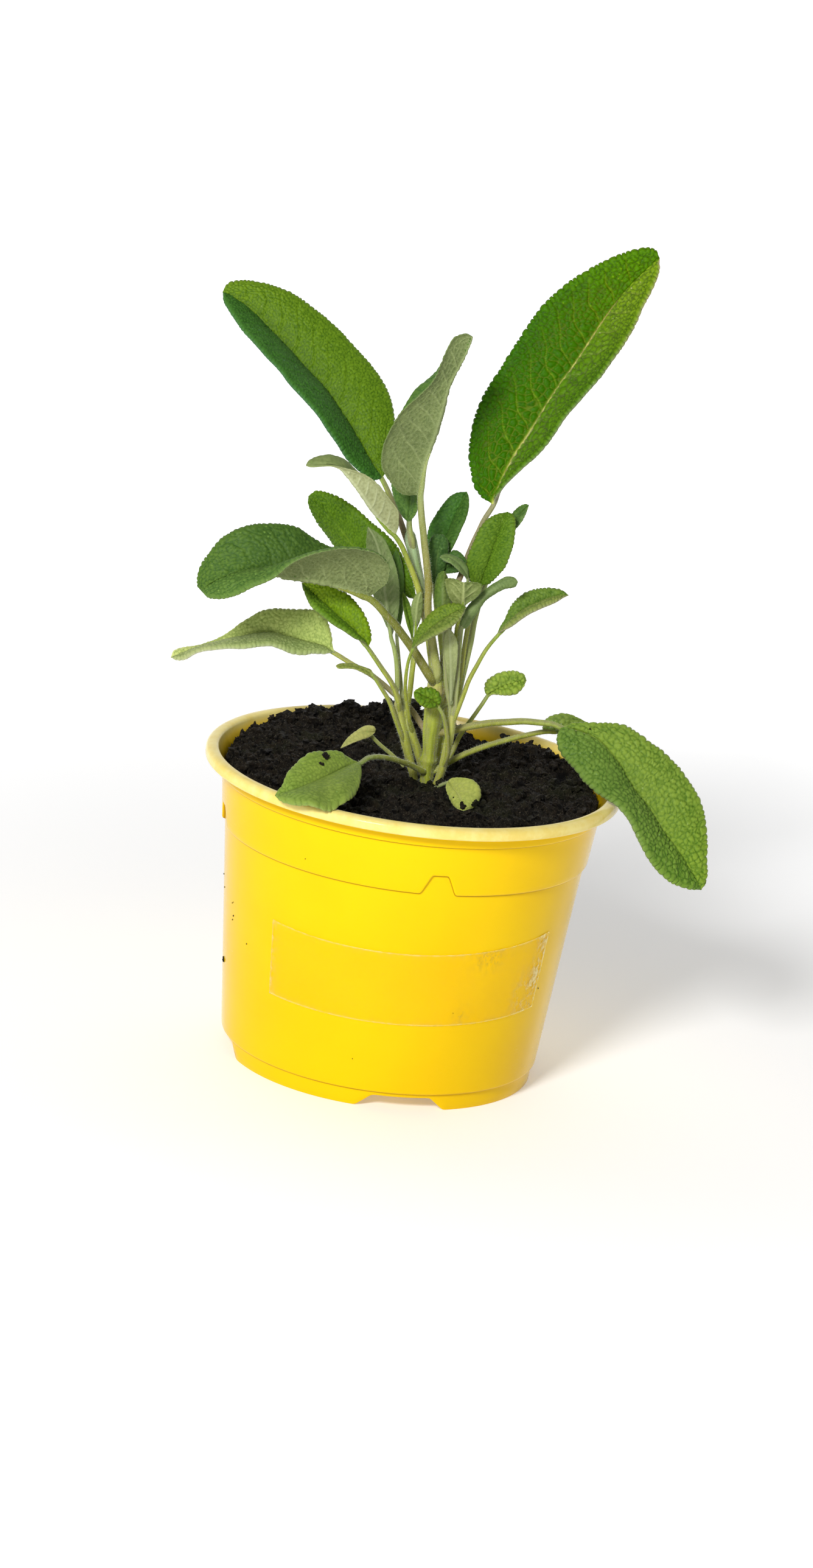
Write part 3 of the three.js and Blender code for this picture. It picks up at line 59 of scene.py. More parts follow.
LEAVES = {
    "leaf_a": {
        "M": [[-22.87,6.0,147.98], [-23.76,6.49,148.84], [-24.76,7.05,149.82], [-25.86,7.7,150.96], [-27.04,8.46,152.28], [-28.3,9.32,153.76], [-29.66,10.28,155.36], [-31.71,11.73,157.6], [-33.42,12.96,159.33], [-35.24,14.3,161.11], [-37.12,15.7,162.96], [-39.08,17.14,164.83], [-41.2,18.62,166.58], [-43.53,20.13,168.15], [-45.9,21.58,169.7], [-48.15,22.86,171.39], [-50.33,23.99,173.12], [-52.51,25.0,174.74], [-54.67,25.88,176.26], [-56.72,26.6,177.77], [-59.23,27.34,179.74], [-61.04,27.79,181.01], [-62.8,28.17,182.07], [-64.45,28.47,182.92], [-65.98,28.7,183.6], [-67.35,28.87,184.12], [-68.6,29.0,184.54]],
        "L": [[-22.87,6.0,147.98], [-24.02,4.98,147.68], [-25.46,4.23,147.94], [-26.98,3.6,148.79], [-28.6,3.05,149.91], [-30.31,2.6,151.22], [-32.01,2.28,152.81], [-34.14,2.11,155.36], [-35.83,2.25,157.36], [-37.66,2.62,159.35], [-39.54,3.23,161.39], [-41.55,4.07,163.35], [-43.81,5.2,165.07], [-46.2,6.6,166.64], [-48.45,8.18,168.33], [-50.56,9.82,170.15], [-52.81,11.54,171.74], [-55.07,13.34,173.19], [-57.22,15.19,174.63], [-59.3,17.02,175.98], [-61.85,19.37,177.72], [-63.5,21.1,179.03], [-64.95,22.78,180.3], [-66.24,24.39,181.48], [-67.38,25.91,182.56], [-68.14,27.38,183.58], [-68.6,29.0,184.54]],
        "R": [[-22.87,6.0,147.98], [-22.23,7.17,149.18], [-21.58,8.34,150.64], [-21.1,9.59,152.39], [-21.0,10.96,154.43], [-21.18,12.42,156.7], [-21.55,13.98,159.16], [-22.36,16.18,162.67], [-23.5,17.93,165.35], [-25.15,19.72,167.92], [-27.3,21.5,170.33], [-29.82,23.21,172.55], [-32.6,24.86,174.61], [-35.42,26.44,176.68], [-38.24,27.84,178.8], [-41.19,28.96,180.73], [-44.23,29.8,182.48], [-47.27,30.44,184.1], [-50.25,30.87,185.6], [-53.25,31.09,186.66], [-57.19,31.07,187.46], [-59.95,30.92,187.77], [-62.5,30.69,187.88], [-64.84,30.38,187.65], [-66.77,30.01,187.11], [-67.95,29.58,186.07], [-68.6,29.0,184.54]],
        "b": 0.1,
        "r": 0.75,
        "P": [[-22.87,6.0,147.98], [-20.34,5.2,143.84], [-17.61,4.3,139.27], [-14.94,3.4,134.06], [-13.5,2.6,131.32]],
    },
    "leaf_b": {
        "M": [[5.2,5.5,145.02], [5.53,5.85,146.52], [5.93,6.25,148.2], [6.43,6.71,150.1], [7.05,7.24,152.21], [7.83,7.84,154.5], [8.82,8.5,156.91], [10.48,9.49,160.3], [11.86,10.32,163.0], [13.24,11.21,165.84], [14.59,12.14,168.81], [16.01,13.09,171.84], [17.59,14.07,174.86], [19.28,15.06,177.85], [20.94,16.03,180.86], [22.49,16.91,183.91], [23.97,17.75,186.95], [25.4,18.53,189.91], [26.83,19.21,192.76], [28.28,19.73,195.46], [30.24,20.2,198.79], [31.73,20.45,201.01], [33.2,20.66,202.99], [34.6,20.82,204.75], [35.89,20.92,206.29], [37.05,20.98,207.63], [38.09,21.0,208.8]],
        "L": [[5.2,5.5,145.02], [3.59,6.07,145.9], [1.79,6.67,147.06], [0.28,7.33,148.77], [-0.72,8.06,151.22], [-1.61,8.85,154.04], [-2.15,9.71,157.15], [-2.19,10.95,161.74], [-1.74,11.95,165.37], [-0.76,12.99,169.1], [0.67,14.04,172.8], [2.56,15.08,176.43], [4.31,16.12,180.22], [6.2,17.13,183.98], [8.06,18.08,187.78], [10.0,18.91,191.5], [12.4,19.65,194.88], [15.07,20.32,197.93], [17.89,20.86,200.66], [20.82,21.22,203.04], [24.65,21.42,205.82], [27.41,21.48,207.59], [30.12,21.49,208.94], [32.66,21.45,210.02], [35.01,21.35,210.66], [36.97,21.21,210.25], [38.09,21.0,208.8]],
        "R": [[5.2,5.5,145.02], [5.6,4.56,146.81], [6.22,3.84,148.69], [7.12,3.19,150.66], [8.43,2.61,152.67], [10.01,2.08,154.77], [11.74,1.65,157.0], [14.25,1.25,160.16], [16.05,1.13,162.77], [17.52,1.19,165.72], [18.98,1.44,168.78], [20.71,1.88,171.74], [22.68,2.55,174.6], [24.69,3.45,177.41], [26.65,4.52,180.22], [28.42,5.72,183.09], [30.06,7.05,185.95], [31.65,8.53,188.72], [33.05,10.04,191.44], [34.07,11.52,194.15], [35.22,13.35,197.61], [36.17,14.71,199.95], [37.0,16.04,202.1], [37.7,17.31,204.09], [38.08,18.52,205.88], [38.15,19.7,207.45], [38.09,21.0,208.8]],
        "b": 0.1,
        "r": 0.75,
        "P": [[5.2,5.5,145.02], [3.58,4.6,141.27], [2.61,4.2,138.27], [1.53,3.9,134.91], [0.53,3.6,130.94], [-0.32,3.2,127.0], [-1.09,2.8,123.54], [-1.6,1.9,118.2], [-1.7,1.1,112.09], [-1.81,0.4,105.94], [-2.27,-0.4,101.35]],
    },
    "leaf_c": {
        "M": [[-13.1,-6.3,147.46], [-13.12,-6.53,148.74], [-13.12,-6.73,149.85], [-13.09,-7.05,151.55], [-13.02,-7.43,153.51], [-12.92,-7.76,155.13], [-12.6,-8.25,157.42], [-12.17,-8.68,159.24], [-11.55,-9.29,161.79], [-11.02,-9.89,164.46], [-10.66,-10.3,166.51], [-10.25,-10.81,169.27], [-9.91,-11.26,172.03], [-9.68,-11.56,174.07], [-9.29,-11.89,176.67], [-8.64,-12.18,179.08], [-8.0,-12.38,180.75], [-7.18,-12.64,182.84], [-6.66,-12.82,184.31], [-6.09,-13.04,186.09], [-5.71,-13.23,187.67], [-5.52,-13.36,188.72], [-5.34,-13.5,189.93]],
        "L": [[-13.1,-6.3,147.46], [-13.95,-5.45,148.4], [-14.74,-4.94,149.24], [-16.1,-4.3,150.44], [-17.61,-3.72,151.89], [-18.76,-3.33,153.21], [-20.26,-2.93,155.31], [-21.03,-2.75,157.19], [-21.38,-2.68,160.09], [-21.31,-2.76,163.16], [-20.7,-2.93,165.5], [-19.65,-3.31,168.61], [-18.3,-3.89,171.6], [-17.03,-4.43,173.68], [-14.99,-5.28,176.1], [-13.17,-6.25,178.56], [-12.04,-7.06,180.47], [-10.76,-8.22,182.96], [-9.89,-9.11,184.7], [-8.78,-10.3,186.8], [-7.6,-11.45,188.54], [-6.66,-12.29,189.43], [-5.34,-13.5,189.93]],
        "R": [[-13.1,-6.3,147.46], [-14.66,-7.06,147.81], [-16.02,-7.61,147.84], [-17.99,-8.41,148.35], [-19.82,-9.27,150.19], [-21.22,-9.95,151.84], [-22.85,-10.89,154.27], [-23.32,-11.62,156.73], [-23.31,-12.58,160.24], [-22.5,-13.44,163.75], [-21.54,-13.97,166.33], [-19.94,-14.54,169.61], [-17.86,-14.94,172.5], [-16.15,-15.11,174.53], [-14.03,-15.18,177.21], [-12.74,-15.12,180.09], [-12.15,-15.02,182.33], [-11.38,-14.83,185.09], [-10.71,-14.66,187.07], [-9.64,-14.4,189.26], [-8.08,-14.12,190.23], [-6.76,-13.89,190.51], [-5.34,-13.5,189.93]],
        "b": 0.08,
        "r": 0.95,
        "P": [[-13.1,-6.3,147.46], [-12.18,-6.1,143.68], [-10.82,-5.6,137.55], [-9.2,-5.2,130.68], [-8.04,-4.6,124.93], [-7.44,-4.0,118.91], [-6.16,-3.7,113.52], [-4.47,-3.6,107.43], [-3.15,-3.7,103.07]],
    },
    "leaf_c2": {
        "M": [[-14.99,0.6,138.93], [-14.99,0.76,139.98], [-14.99,0.92,141.08], [-15.0,1.17,142.66], [-15.02,1.46,144.49], [-15.02,1.8,146.51], [-14.97,2.11,148.3], [-14.87,2.51,150.5], [-14.72,2.97,152.68], [-14.57,3.32,154.45], [-14.36,3.49,156.49], [-14.15,3.5,158.37], [-13.95,3.5,159.98], [-13.79,3.5,161.1], [-13.64,3.5,162.17]],
        "L": [[-14.99,0.6,138.93], [-16.04,0.92,139.66], [-16.99,1.22,140.56], [-18.12,1.62,142.1], [-19.17,2.06,144.07], [-20.05,2.51,146.39], [-20.34,2.89,148.55], [-20.5,3.31,151.28], [-20.39,3.75,153.99], [-19.9,4.05,156.21], [-19.05,4.09,158.58], [-17.81,3.95,160.81], [-16.3,3.8,161.74], [-15.01,3.67,161.95], [-13.64,3.5,162.17]],
        "R": [[-14.99,0.6,138.93], [-14.26,-0.28,140.02], [-13.79,-0.9,141.19], [-13.5,-1.61,143.02], [-13.55,-2.21,145.11], [-13.61,-2.6,147.35], [-13.45,-2.69,149.27], [-13.11,-2.48,151.56], [-12.79,-1.83,153.76], [-12.54,-1.06,155.47], [-12.39,-0.17,157.42], [-12.36,0.72,159.18], [-12.51,1.68,160.6], [-12.96,2.47,161.47], [-13.64,3.5,162.17]],
        "b": 0.1,
        "r": 0.8,
        "P": [[-14.99,0.6,138.93], [-14.42,0.3,136.9], [-13.7,-0.6,135.03]],
    },
    "leaf_d": {
        "M": [[-17.68,-4.6,136.54], [-18.41,-4.87,137.09], [-19.49,-5.28,137.95], [-20.48,-5.67,138.79], [-21.84,-6.24,140.07], [-22.98,-6.77,141.27], [-24.43,-7.54,143.03], [-25.61,-8.14,144.57], [-27.17,-8.71,146.49], [-28.45,-9.04,148.0], [-29.76,-9.33,149.49], [-31.46,-9.73,151.22], [-32.89,-10.05,152.41], [-34.82,-10.4,153.14], [-36.39,-10.59,153.26], [-38.14,-10.76,153.1], [-39.35,-10.87,152.94], [-40.61,-10.96,152.65], [-41.43,-11.0,152.41]],
        "L": [[-17.68,-4.6,136.54], [-17.44,-4.98,137.59], [-17.34,-5.52,139.18], [-17.44,-6.01,140.73], [-17.68,-6.71,142.84], [-18.59,-7.33,144.43], [-20.3,-8.22,146.41], [-21.68,-8.89,148.04], [-23.63,-9.51,149.93], [-25.37,-9.85,151.2], [-27.3,-10.13,152.09], [-29.81,-10.47,152.72], [-31.8,-10.74,152.95], [-34.14,-10.97,153.12], [-35.86,-11.06,153.0], [-37.77,-11.11,152.64], [-39.11,-11.11,152.35], [-40.51,-11.07,152.18], [-41.43,-11.0,152.41]],
        "R": [[-17.68,-4.6,136.54], [-18.01,-4.29,137.4], [-18.6,-4.07,138.73], [-19.25,-3.95,139.95], [-20.39,-3.89,141.62], [-21.45,-3.94,143.1], [-22.85,-4.2,145.15], [-24.1,-4.49,146.86], [-25.87,-4.8,148.94], [-27.49,-5.06,150.41], [-29.28,-5.42,151.71], [-31.38,-6.07,153.5], [-33.12,-6.72,154.59], [-35.45,-7.58,155.21], [-37.18,-8.25,155.23], [-39.03,-9.05,154.68], [-40.22,-9.67,154.1], [-41.19,-10.39,153.21], [-41.43,-11.0,152.41]],
        "b": 0.06,
        "r": 0.7,
        "P": [[-17.68,-4.6,136.54], [-15.85,-4.4,133.95], [-13.92,-3.8,130.48], [-12.16,-3.2,127.14], [-10.72,-2.7,124.09], [-9.44,-2.4,121.06]],
    },
    "leaf_e": {
        "M": [[-10.74,2.6,119.15], [-11.45,2.91,119.93], [-12.31,3.3,120.82], [-13.38,3.77,121.78], [-14.66,4.33,122.75], [-16.18,4.99,123.67], [-17.97,5.76,124.51], [-19.93,6.64,125.34], [-21.98,7.59,126.21], [-24.11,8.56,127.08], [-26.24,9.57,128.02], [-28.14,10.51,129.2], [-29.77,11.31,130.74], [-31.34,12.0,132.32], [-32.96,12.57,133.69], [-34.55,13.0,134.92], [-36.05,13.33,136.02], [-37.43,13.58,136.99], [-38.66,13.78,137.81], [-39.73,13.91,138.5], [-40.64,14.0,139.08]],
        "L": [[-10.74,2.6,119.15], [-11.79,3.64,119.21], [-13.05,4.67,119.37], [-14.49,5.79,119.65], [-16.12,7.01,120.04], [-17.94,8.3,120.46], [-19.93,9.65,120.92], [-22.02,11.04,121.48], [-24.13,12.36,122.25], [-26.26,13.58,123.23], [-28.4,14.67,124.29], [-30.54,15.54,125.42], [-32.45,16.1,126.82], [-34.11,16.4,128.49], [-35.72,16.48,130.12], [-37.18,16.32,131.71], [-38.4,16.02,133.35], [-39.39,15.62,134.93], [-40.19,15.16,136.41], [-40.52,14.64,137.8], [-40.64,14.0,139.08]],
        "R": [[-10.74,2.6,119.15], [-10.94,2.77,120.29], [-11.28,3.03,121.6], [-11.98,3.38,123.02], [-12.95,3.82,124.58], [-13.91,4.36,126.33], [-15.02,5.02,128.17], [-16.42,5.81,129.97], [-18.12,6.69,131.63], [-20.14,7.62,133.07], [-22.34,8.61,134.31], [-24.63,9.58,135.42], [-26.72,10.42,136.79], [-28.75,11.18,138.11], [-30.89,11.85,139.08], [-32.99,12.38,139.82], [-34.98,12.83,140.33], [-36.85,13.21,140.55], [-38.49,13.52,140.54], [-39.73,13.78,140.01], [-40.64,14.0,139.08]],
        "b": 0.1,
        "r": 0.7,
        "P": [[-10.74,2.6,119.15], [-9.44,2.3,117.35], [-7.88,1.6,114.91]],
    },
    "leaf_f": {
        "M": [[-21.94,-8.0,120.94], [-23.15,-8.35,121.34], [-24.21,-8.65,121.67], [-25.83,-9.11,122.16], [-27.7,-9.64,122.67], [-29.26,-10.08,122.99], [-31.52,-10.76,123.37], [-33.32,-11.29,123.66], [-35.86,-11.92,123.98], [-38.52,-12.37,124.1], [-40.57,-12.64,124.14], [-43.31,-13.0,124.35], [-46.04,-13.38,124.84], [-48.06,-13.67,125.09], [-50.71,-14.05,125.14], [-53.19,-14.48,124.8], [-54.89,-14.77,124.21], [-56.96,-14.97,123.26], [-58.36,-15.0,122.48], [-59.97,-15.0,121.41], [-61.26,-15.0,120.33], [-62.04,-15.0,119.55], [-62.88,-15.0,118.57]],
        "L": [[-21.94,-8.0,120.94], [-20.95,-9.93,122.91], [-19.95,-11.54,124.52], [-18.39,-13.68,126.82], [-18.02,-15.53,129.89], [-18.75,-16.85,132.29], [-21.21,-18.57,134.58], [-23.64,-19.62,135.53], [-27.14,-20.43,135.78], [-30.78,-20.88,135.29], [-33.52,-21.15,134.6], [-37.09,-21.48,133.3], [-40.4,-21.58,131.33], [-42.62,-21.48,129.48], [-45.23,-21.41,126.73], [-48.1,-21.51,124.68], [-50.31,-21.51,123.4], [-53.0,-21.11,121.53], [-54.93,-20.45,120.23], [-57.45,-19.34,118.94], [-59.82,-17.94,118.26], [-61.3,-16.67,118.07], [-62.88,-15.0,118.57]],
        "R": [[-21.94,-8.0,120.94], [-22.3,-7.01,122.46], [-22.71,-6.22,123.79], [-23.64,-5.31,125.84], [-25.2,-4.86,127.95], [-26.99,-4.7,129.35], [-29.93,-4.7,130.71], [-32.48,-4.91,131.22], [-35.92,-5.47,132.41], [-39.34,-6.15,134.23], [-41.97,-6.71,135.63], [-45.75,-7.51,136.08], [-49.63,-8.49,135.92], [-52.44,-9.29,135.47], [-55.92,-10.22,134.25], [-58.86,-11.04,132.3], [-60.6,-11.61,130.49], [-62.23,-12.18,127.77], [-63.35,-12.45,125.82], [-64.27,-12.87,123.31], [-64.33,-13.5,121.04], [-64.04,-14.14,119.69], [-62.88,-15.0,118.57]],
        "b": 0.08,
        "r": 1.05,
        "P": [[-21.94,-8.0,120.94], [-19.74,-7.6,118.95], [-17.02,-7.0,116.35], [-14.99,-6.6,114.49], [-11.48,-5.4,110.42], [-8.46,-4.5,106.66], [-6.27,-4.0,103.67], [-4.47,-3.5,101.41]],
    },
    "leaf_g": {
        "M": [[-20.88,-3.5,107.07], [-21.67,-3.35,107.72], [-22.51,-3.18,108.39], [-23.73,-2.91,109.31], [-25.16,-2.55,110.34], [-26.8,-2.06,111.41], [-28.26,-1.56,112.32], [-30.04,-1.01,113.5], [-31.79,-0.59,114.75], [-33.22,-0.29,115.75], [-34.86,0.04,116.84], [-36.36,0.36,117.81], [-37.62,0.63,118.69], [-38.47,0.82,119.32], [-39.29,1.0,119.93]],
        "L": [[-20.88,-3.5,107.07], [-21.63,-4.24,108.08], [-22.53,-4.75,108.81], [-24.06,-5.29,109.45], [-25.68,-5.69,110.46], [-27.51,-5.82,111.46], [-29.22,-5.67,112.11], [-31.2,-5.27,113.07], [-33.1,-4.7,114.2], [-34.72,-4.06,114.98], [-36.29,-3.1,116.03], [-37.37,-2.02,117.34], [-38.33,-0.93,118.44], [-38.97,-0.06,119.16], [-39.29,1.0,119.93]],
        "R": [[-20.88,-3.5,107.07], [-20.57,-3.2,108.22], [-20.62,-2.92,109.42], [-21.16,-2.5,111.13], [-22.02,-2.01,113.0], [-23.29,-1.41,114.88], [-24.7,-0.85,116.32], [-26.63,-0.27,117.94], [-28.8,0.12,119.23], [-30.73,0.35,119.99], [-33.0,0.58,120.56], [-35.11,0.77,120.73], [-36.95,0.9,120.71], [-38.19,0.97,120.48], [-39.29,1.0,119.93]],
        "b": 0.1,
        "r": 0.65,
        "P": [[-20.88,-3.5,107.07], [-17.81,-3.8,103.31], [-14.42,-3.9,99.38], [-12.7,-4.0,96.64], [-11.66,-4.0,94.4]],
    },
    "leaf_h": {
        "M": [[-29.1,4.5,102.42], [-30.25,4.89,102.8], [-31.27,5.22,103.06], [-32.85,5.72,103.33], [-34.72,6.26,103.46], [-36.27,6.69,103.53], [-38.51,7.29,103.67], [-40.3,7.76,103.79], [-42.83,8.37,103.94], [-45.47,8.9,103.96], [-47.46,9.21,103.66], [-50.11,9.54,102.85], [-52.73,9.83,101.87], [-54.65,10.07,101.08], [-57.12,10.45,99.95], [-59.48,10.79,98.87], [-61.16,10.94,98.11], [-63.25,11.0,97.18], [-64.68,11.0,96.52], [-66.4,11.0,95.7], [-67.9,11.0,94.95], [-68.86,11.0,94.46], [-69.97,11.0,93.87]],
        "L": [[-29.1,4.5,102.42], [-30.27,3.8,102.33], [-31.3,3.41,102.26], [-32.92,2.94,102.33], [-34.75,2.51,102.23], [-36.22,2.22,101.82], [-38.43,1.91,101.66], [-40.19,1.76,101.77], [-42.54,1.68,102.59], [-44.94,1.7,103.15], [-46.88,1.75,102.67], [-49.56,1.96,101.92], [-52.25,2.37,101.3], [-54.25,2.85,100.82], [-56.87,3.76,100.1], [-59.4,4.81,99.3], [-61.17,5.58,98.67], [-63.27,6.53,97.56], [-64.63,7.25,96.49], [-66.19,8.22,95.0], [-67.72,9.19,94.09], [-68.79,9.91,93.74], [-69.97,11.0,93.87]],
        "R": [[-29.1,4.5,102.42], [-29.76,5.07,103.63], [-30.23,5.52,104.76], [-30.84,6.17,106.57], [-31.71,6.88,108.56], [-32.71,7.43,110.08], [-34.92,8.18,111.38], [-37.07,8.75,111.28], [-40.17,9.49,110.73], [-43.38,10.11,110.22], [-45.84,10.45,109.93], [-48.95,10.8,108.64], [-51.65,11.07,106.52], [-53.57,11.26,104.82], [-55.81,11.56,102.33], [-58.24,11.8,100.27], [-60.16,11.85,99.14], [-62.69,11.74,98.0], [-64.5,11.62,97.41], [-66.74,11.46,96.85], [-68.67,11.3,96.09], [-69.58,11.18,95.31], [-69.97,11.0,93.87]],
        "b": 0.1,
        "r": 0.7,
        "P": [[-29.1,4.5,102.42], [-23.05,3.8,99.62], [-19.0,3.0,98.16], [-14.15,2.2,95.22], [-8.41,1.6,91.23], [-5.34,0.9,87.86], [-4.26,0.2,86.77]],
    },
    "leaf_i": {
        "M": [[-18.8,-5.2,100.71], [-19.36,-5.16,100.98], [-20.12,-5.11,101.29], [-21.08,-5.06,101.58], [-22.2,-5.02,101.82], [-23.42,-5.0,101.98], [-24.64,-5.0,101.98], [-25.79,-5.0,101.91], [-26.79,-5.0,101.78], [-27.61,-5.0,101.67], [-28.21,-5.0,101.59]],
        "L": [[-18.8,-5.2,100.71], [-19.4,-5.51,100.58], [-20.2,-5.8,100.57], [-21.2,-6.05,100.99], [-22.32,-6.23,101.45], [-23.53,-6.3,101.77], [-24.78,-6.22,101.72], [-25.97,-5.99,101.51], [-27.01,-5.68,101.17], [-27.73,-5.35,101.16], [-28.21,-5.0,101.59]],
        "R": [[-18.8,-5.2,100.71], [-19.1,-4.78,101.27], [-19.67,-4.37,101.66], [-20.76,-3.98,101.78], [-22.05,-3.69,101.92], [-23.35,-3.58,102.2], [-24.65,-3.67,102.34], [-25.88,-3.92,102.25], [-26.96,-4.25,102.19], [-27.73,-4.62,101.99], [-28.21,-5.0,101.59]],
        "b": 0.1,
        "r": 0.55,
        "P": [[-18.8,-5.2,100.71], [-16.81,-5.0,98.09], [-14.08,-4.6,94.4], [-12.05,-4.2,90.28], [-10.21,-3.6,86.4]],
    },
    "leaf_j": {
        "M": [[-15.49,-2.6,109.93], [-15.75,-2.72,111.0], [-16.07,-2.85,112.32], [-16.46,-3.01,113.89], [-16.92,-3.17,115.69], [-17.46,-3.34,117.67], [-18.04,-3.5,119.78], [-18.62,-3.65,122.01], [-19.12,-3.8,124.31], [-19.61,-3.93,126.61], [-20.18,-4.06,128.82], [-20.85,-4.17,130.89], [-21.6,-4.28,132.77], [-22.36,-4.38,134.39], [-23.16,-4.47,135.72], [-23.93,-4.54,136.79], [-24.61,-4.6,137.63]],
        "L": [[-15.49,-2.6,109.93], [-15.25,-2.32,110.97], [-15.01,-2.1,112.32], [-14.85,-1.9,113.94], [-14.82,-1.71,115.83], [-14.88,-1.56,117.94], [-15.03,-1.47,120.23], [-15.36,-1.46,122.62], [-15.96,-1.55,125.05], [-16.71,-1.74,127.45], [-17.71,-2.03,129.69], [-18.81,-2.4,131.8], [-19.86,-2.82,133.75], [-21.08,-3.27,135.26], [-22.4,-3.72,136.36], [-23.59,-4.15,137.11], [-24.61,-4.6,137.63]],
        "R": [[-15.49,-2.6,109.93], [-15.98,-2.24,110.77], [-16.59,-1.95,111.87], [-17.32,-1.67,113.21], [-18.13,-1.42,114.77], [-19.12,-1.2,116.46], [-20.2,-1.06,118.3], [-21.16,-1.02,120.35], [-21.95,-1.1,122.55], [-22.59,-1.3,124.85], [-23.12,-1.62,127.14], [-23.56,-2.04,129.36], [-23.97,-2.52,131.44], [-24.35,-3.05,133.34], [-24.63,-3.57,135.01], [-24.69,-4.07,136.44], [-24.61,-4.6,137.63]],
        "b": 0.1,
        "r": 0.6,
        "P": [[-15.49,-2.6,109.93], [-14.39,-2.6,107.24], [-13.28,-2.6,103.29], [-12.55,-2.6,98.65], [-12.52,-2.5,95.93]],
    },
    "leaf_k": {
        "M": [[-14.22,1.0,109.63], [-14.28,1.01,110.63], [-14.34,1.02,111.68], [-14.44,1.04,113.18], [-14.59,1.06,114.92], [-14.76,1.1,116.85], [-14.92,1.13,118.55], [-15.15,1.19,120.64], [-15.43,1.25,122.72], [-15.69,1.31,124.4], [-16.0,1.37,126.29], [-16.32,1.44,127.98], [-16.64,1.51,129.43], [-16.88,1.55,130.44], [-17.12,1.6,131.39]],
        "L": [[-14.22,1.0,109.63], [-14.51,1.4,110.49], [-14.81,1.72,111.43], [-15.18,2.1,112.81], [-15.52,2.47,114.45], [-15.83,2.78,116.31], [-16.1,2.97,117.98], [-16.42,3.09,120.07], [-16.74,3.08,122.19], [-17.02,2.99,123.92], [-17.41,2.78,125.9], [-17.75,2.5,127.69], [-17.76,2.2,129.24], [-17.49,1.95,130.33], [-17.12,1.6,131.39]],
        "R": [[-14.22,1.0,109.63], [-14.04,1.41,110.53], [-13.87,1.73,111.51], [-13.69,2.12,112.95], [-13.58,2.49,114.64], [-13.5,2.8,116.55], [-13.56,2.99,118.26], [-13.82,3.12,120.38], [-14.09,3.11,122.54], [-14.35,3.01,124.3], [-14.84,2.8,126.28], [-15.39,2.52,128.03], [-16.01,2.21,129.48], [-16.55,1.95,130.46], [-17.12,1.6,131.39]],
        "b": 0.1,
        "r": 0.5,
        "P": [[-14.22,1.0,109.63], [-13.08,0.7,104.33], [-11.95,0.2,99.08], [-10.81,-0.9,93.98], [-10.0,-1.6,91.43]],
    },
    "leaf_k2": {
        "M": [[-9.75,-3.9,113.09], [-9.82,-3.98,113.73], [-9.9,-4.08,114.61], [-9.99,-4.2,115.68], [-10.07,-4.31,116.9], [-10.15,-4.4,118.19], [-10.18,-4.47,119.47], [-10.15,-4.53,120.66], [-10.0,-4.57,121.7], [-9.8,-4.59,122.54], [-9.63,-4.6,123.15]],
        "L": [[-9.75,-3.9,113.09], [-9.51,-3.72,113.64], [-9.23,-3.58,114.43], [-9.0,-3.47,115.43], [-8.85,-3.42,116.62], [-8.78,-3.45,117.93], [-8.81,-3.58,119.25], [-8.88,-3.8,120.52], [-9.05,-4.07,121.63], [-9.35,-4.33,122.5], [-9.63,-4.6,123.15]],
        "R": [[-9.75,-3.9,113.09], [-10.02,-3.71,113.66], [-10.37,-3.56,114.47], [-10.74,-3.43,115.51], [-11.14,-3.37,116.73], [-11.45,-3.4,118.06], [-11.48,-3.53,119.5], [-11.25,-3.76,120.83], [-10.82,-4.04,121.84], [-10.19,-4.32,122.61], [-9.63,-4.6,123.15]],
        "b": 0.1,
        "r": 0.45,
        "P": [[-9.75,-3.9,113.09], [-9.36,-2.6,109.66], [-9.12,-2.1,106.41], [-9.08,-1.9,102.41], [-8.99,-2.1,96.94], [-9.09,-2.5,91.8]],
    },
    "leaf_k3": {
        "M": [[-10.06,0.2,109.62], [-10.33,0.25,110.34], [-10.69,0.32,111.32], [-11.14,0.4,112.53], [-11.65,0.5,113.89], [-12.2,0.6,115.34], [-12.76,0.7,116.79], [-13.24,0.8,118.17], [-13.63,0.88,119.39], [-13.93,0.95,120.39], [-14.14,1.0,121.13]],
        "L": [[-10.06,0.2,109.62], [-10.51,-0.04,110.33], [-11.09,-0.25,111.29], [-11.71,-0.42,112.49], [-12.29,-0.52,113.89], [-12.84,-0.48,115.39], [-13.34,-0.31,116.87], [-13.79,-0.03,118.24], [-14.05,0.31,119.44], [-14.13,0.66,120.43], [-14.14,1.0,121.13]],
        "R": [[-10.06,0.2,109.62], [-10.1,0.2,110.42], [-10.18,0.22,111.51], [-10.32,0.25,112.84], [-10.53,0.32,114.33], [-10.97,0.41,115.87], [-11.55,0.52,117.35], [-12.21,0.65,118.7], [-12.9,0.78,119.79], [-13.58,0.9,120.59], [-14.14,1.0,121.13]],
        "b": 0.1,
        "r": 0.45,
        "P": [[-10.06,0.2,109.62], [-9.62,0.0,104.99], [-9.44,-0.6,98.85], [-9.4,-1.4,92.72], [-9.47,-2.0,90.98]],
    },
    "leaf_l": {
        "M": [[-7.12,4.2,125.05], [-6.97,4.34,126.07], [-6.81,4.5,127.12], [-6.55,4.75,128.64], [-6.22,5.08,130.37], [-5.81,5.47,132.28], [-5.41,5.88,133.94], [-4.87,6.45,135.98], [-4.3,7.06,137.99], [-3.81,7.54,139.62], [-3.25,8.06,141.45], [-2.73,8.54,143.1], [-2.27,8.95,144.53], [-1.94,9.23,145.51], [-1.63,9.5,146.45]],
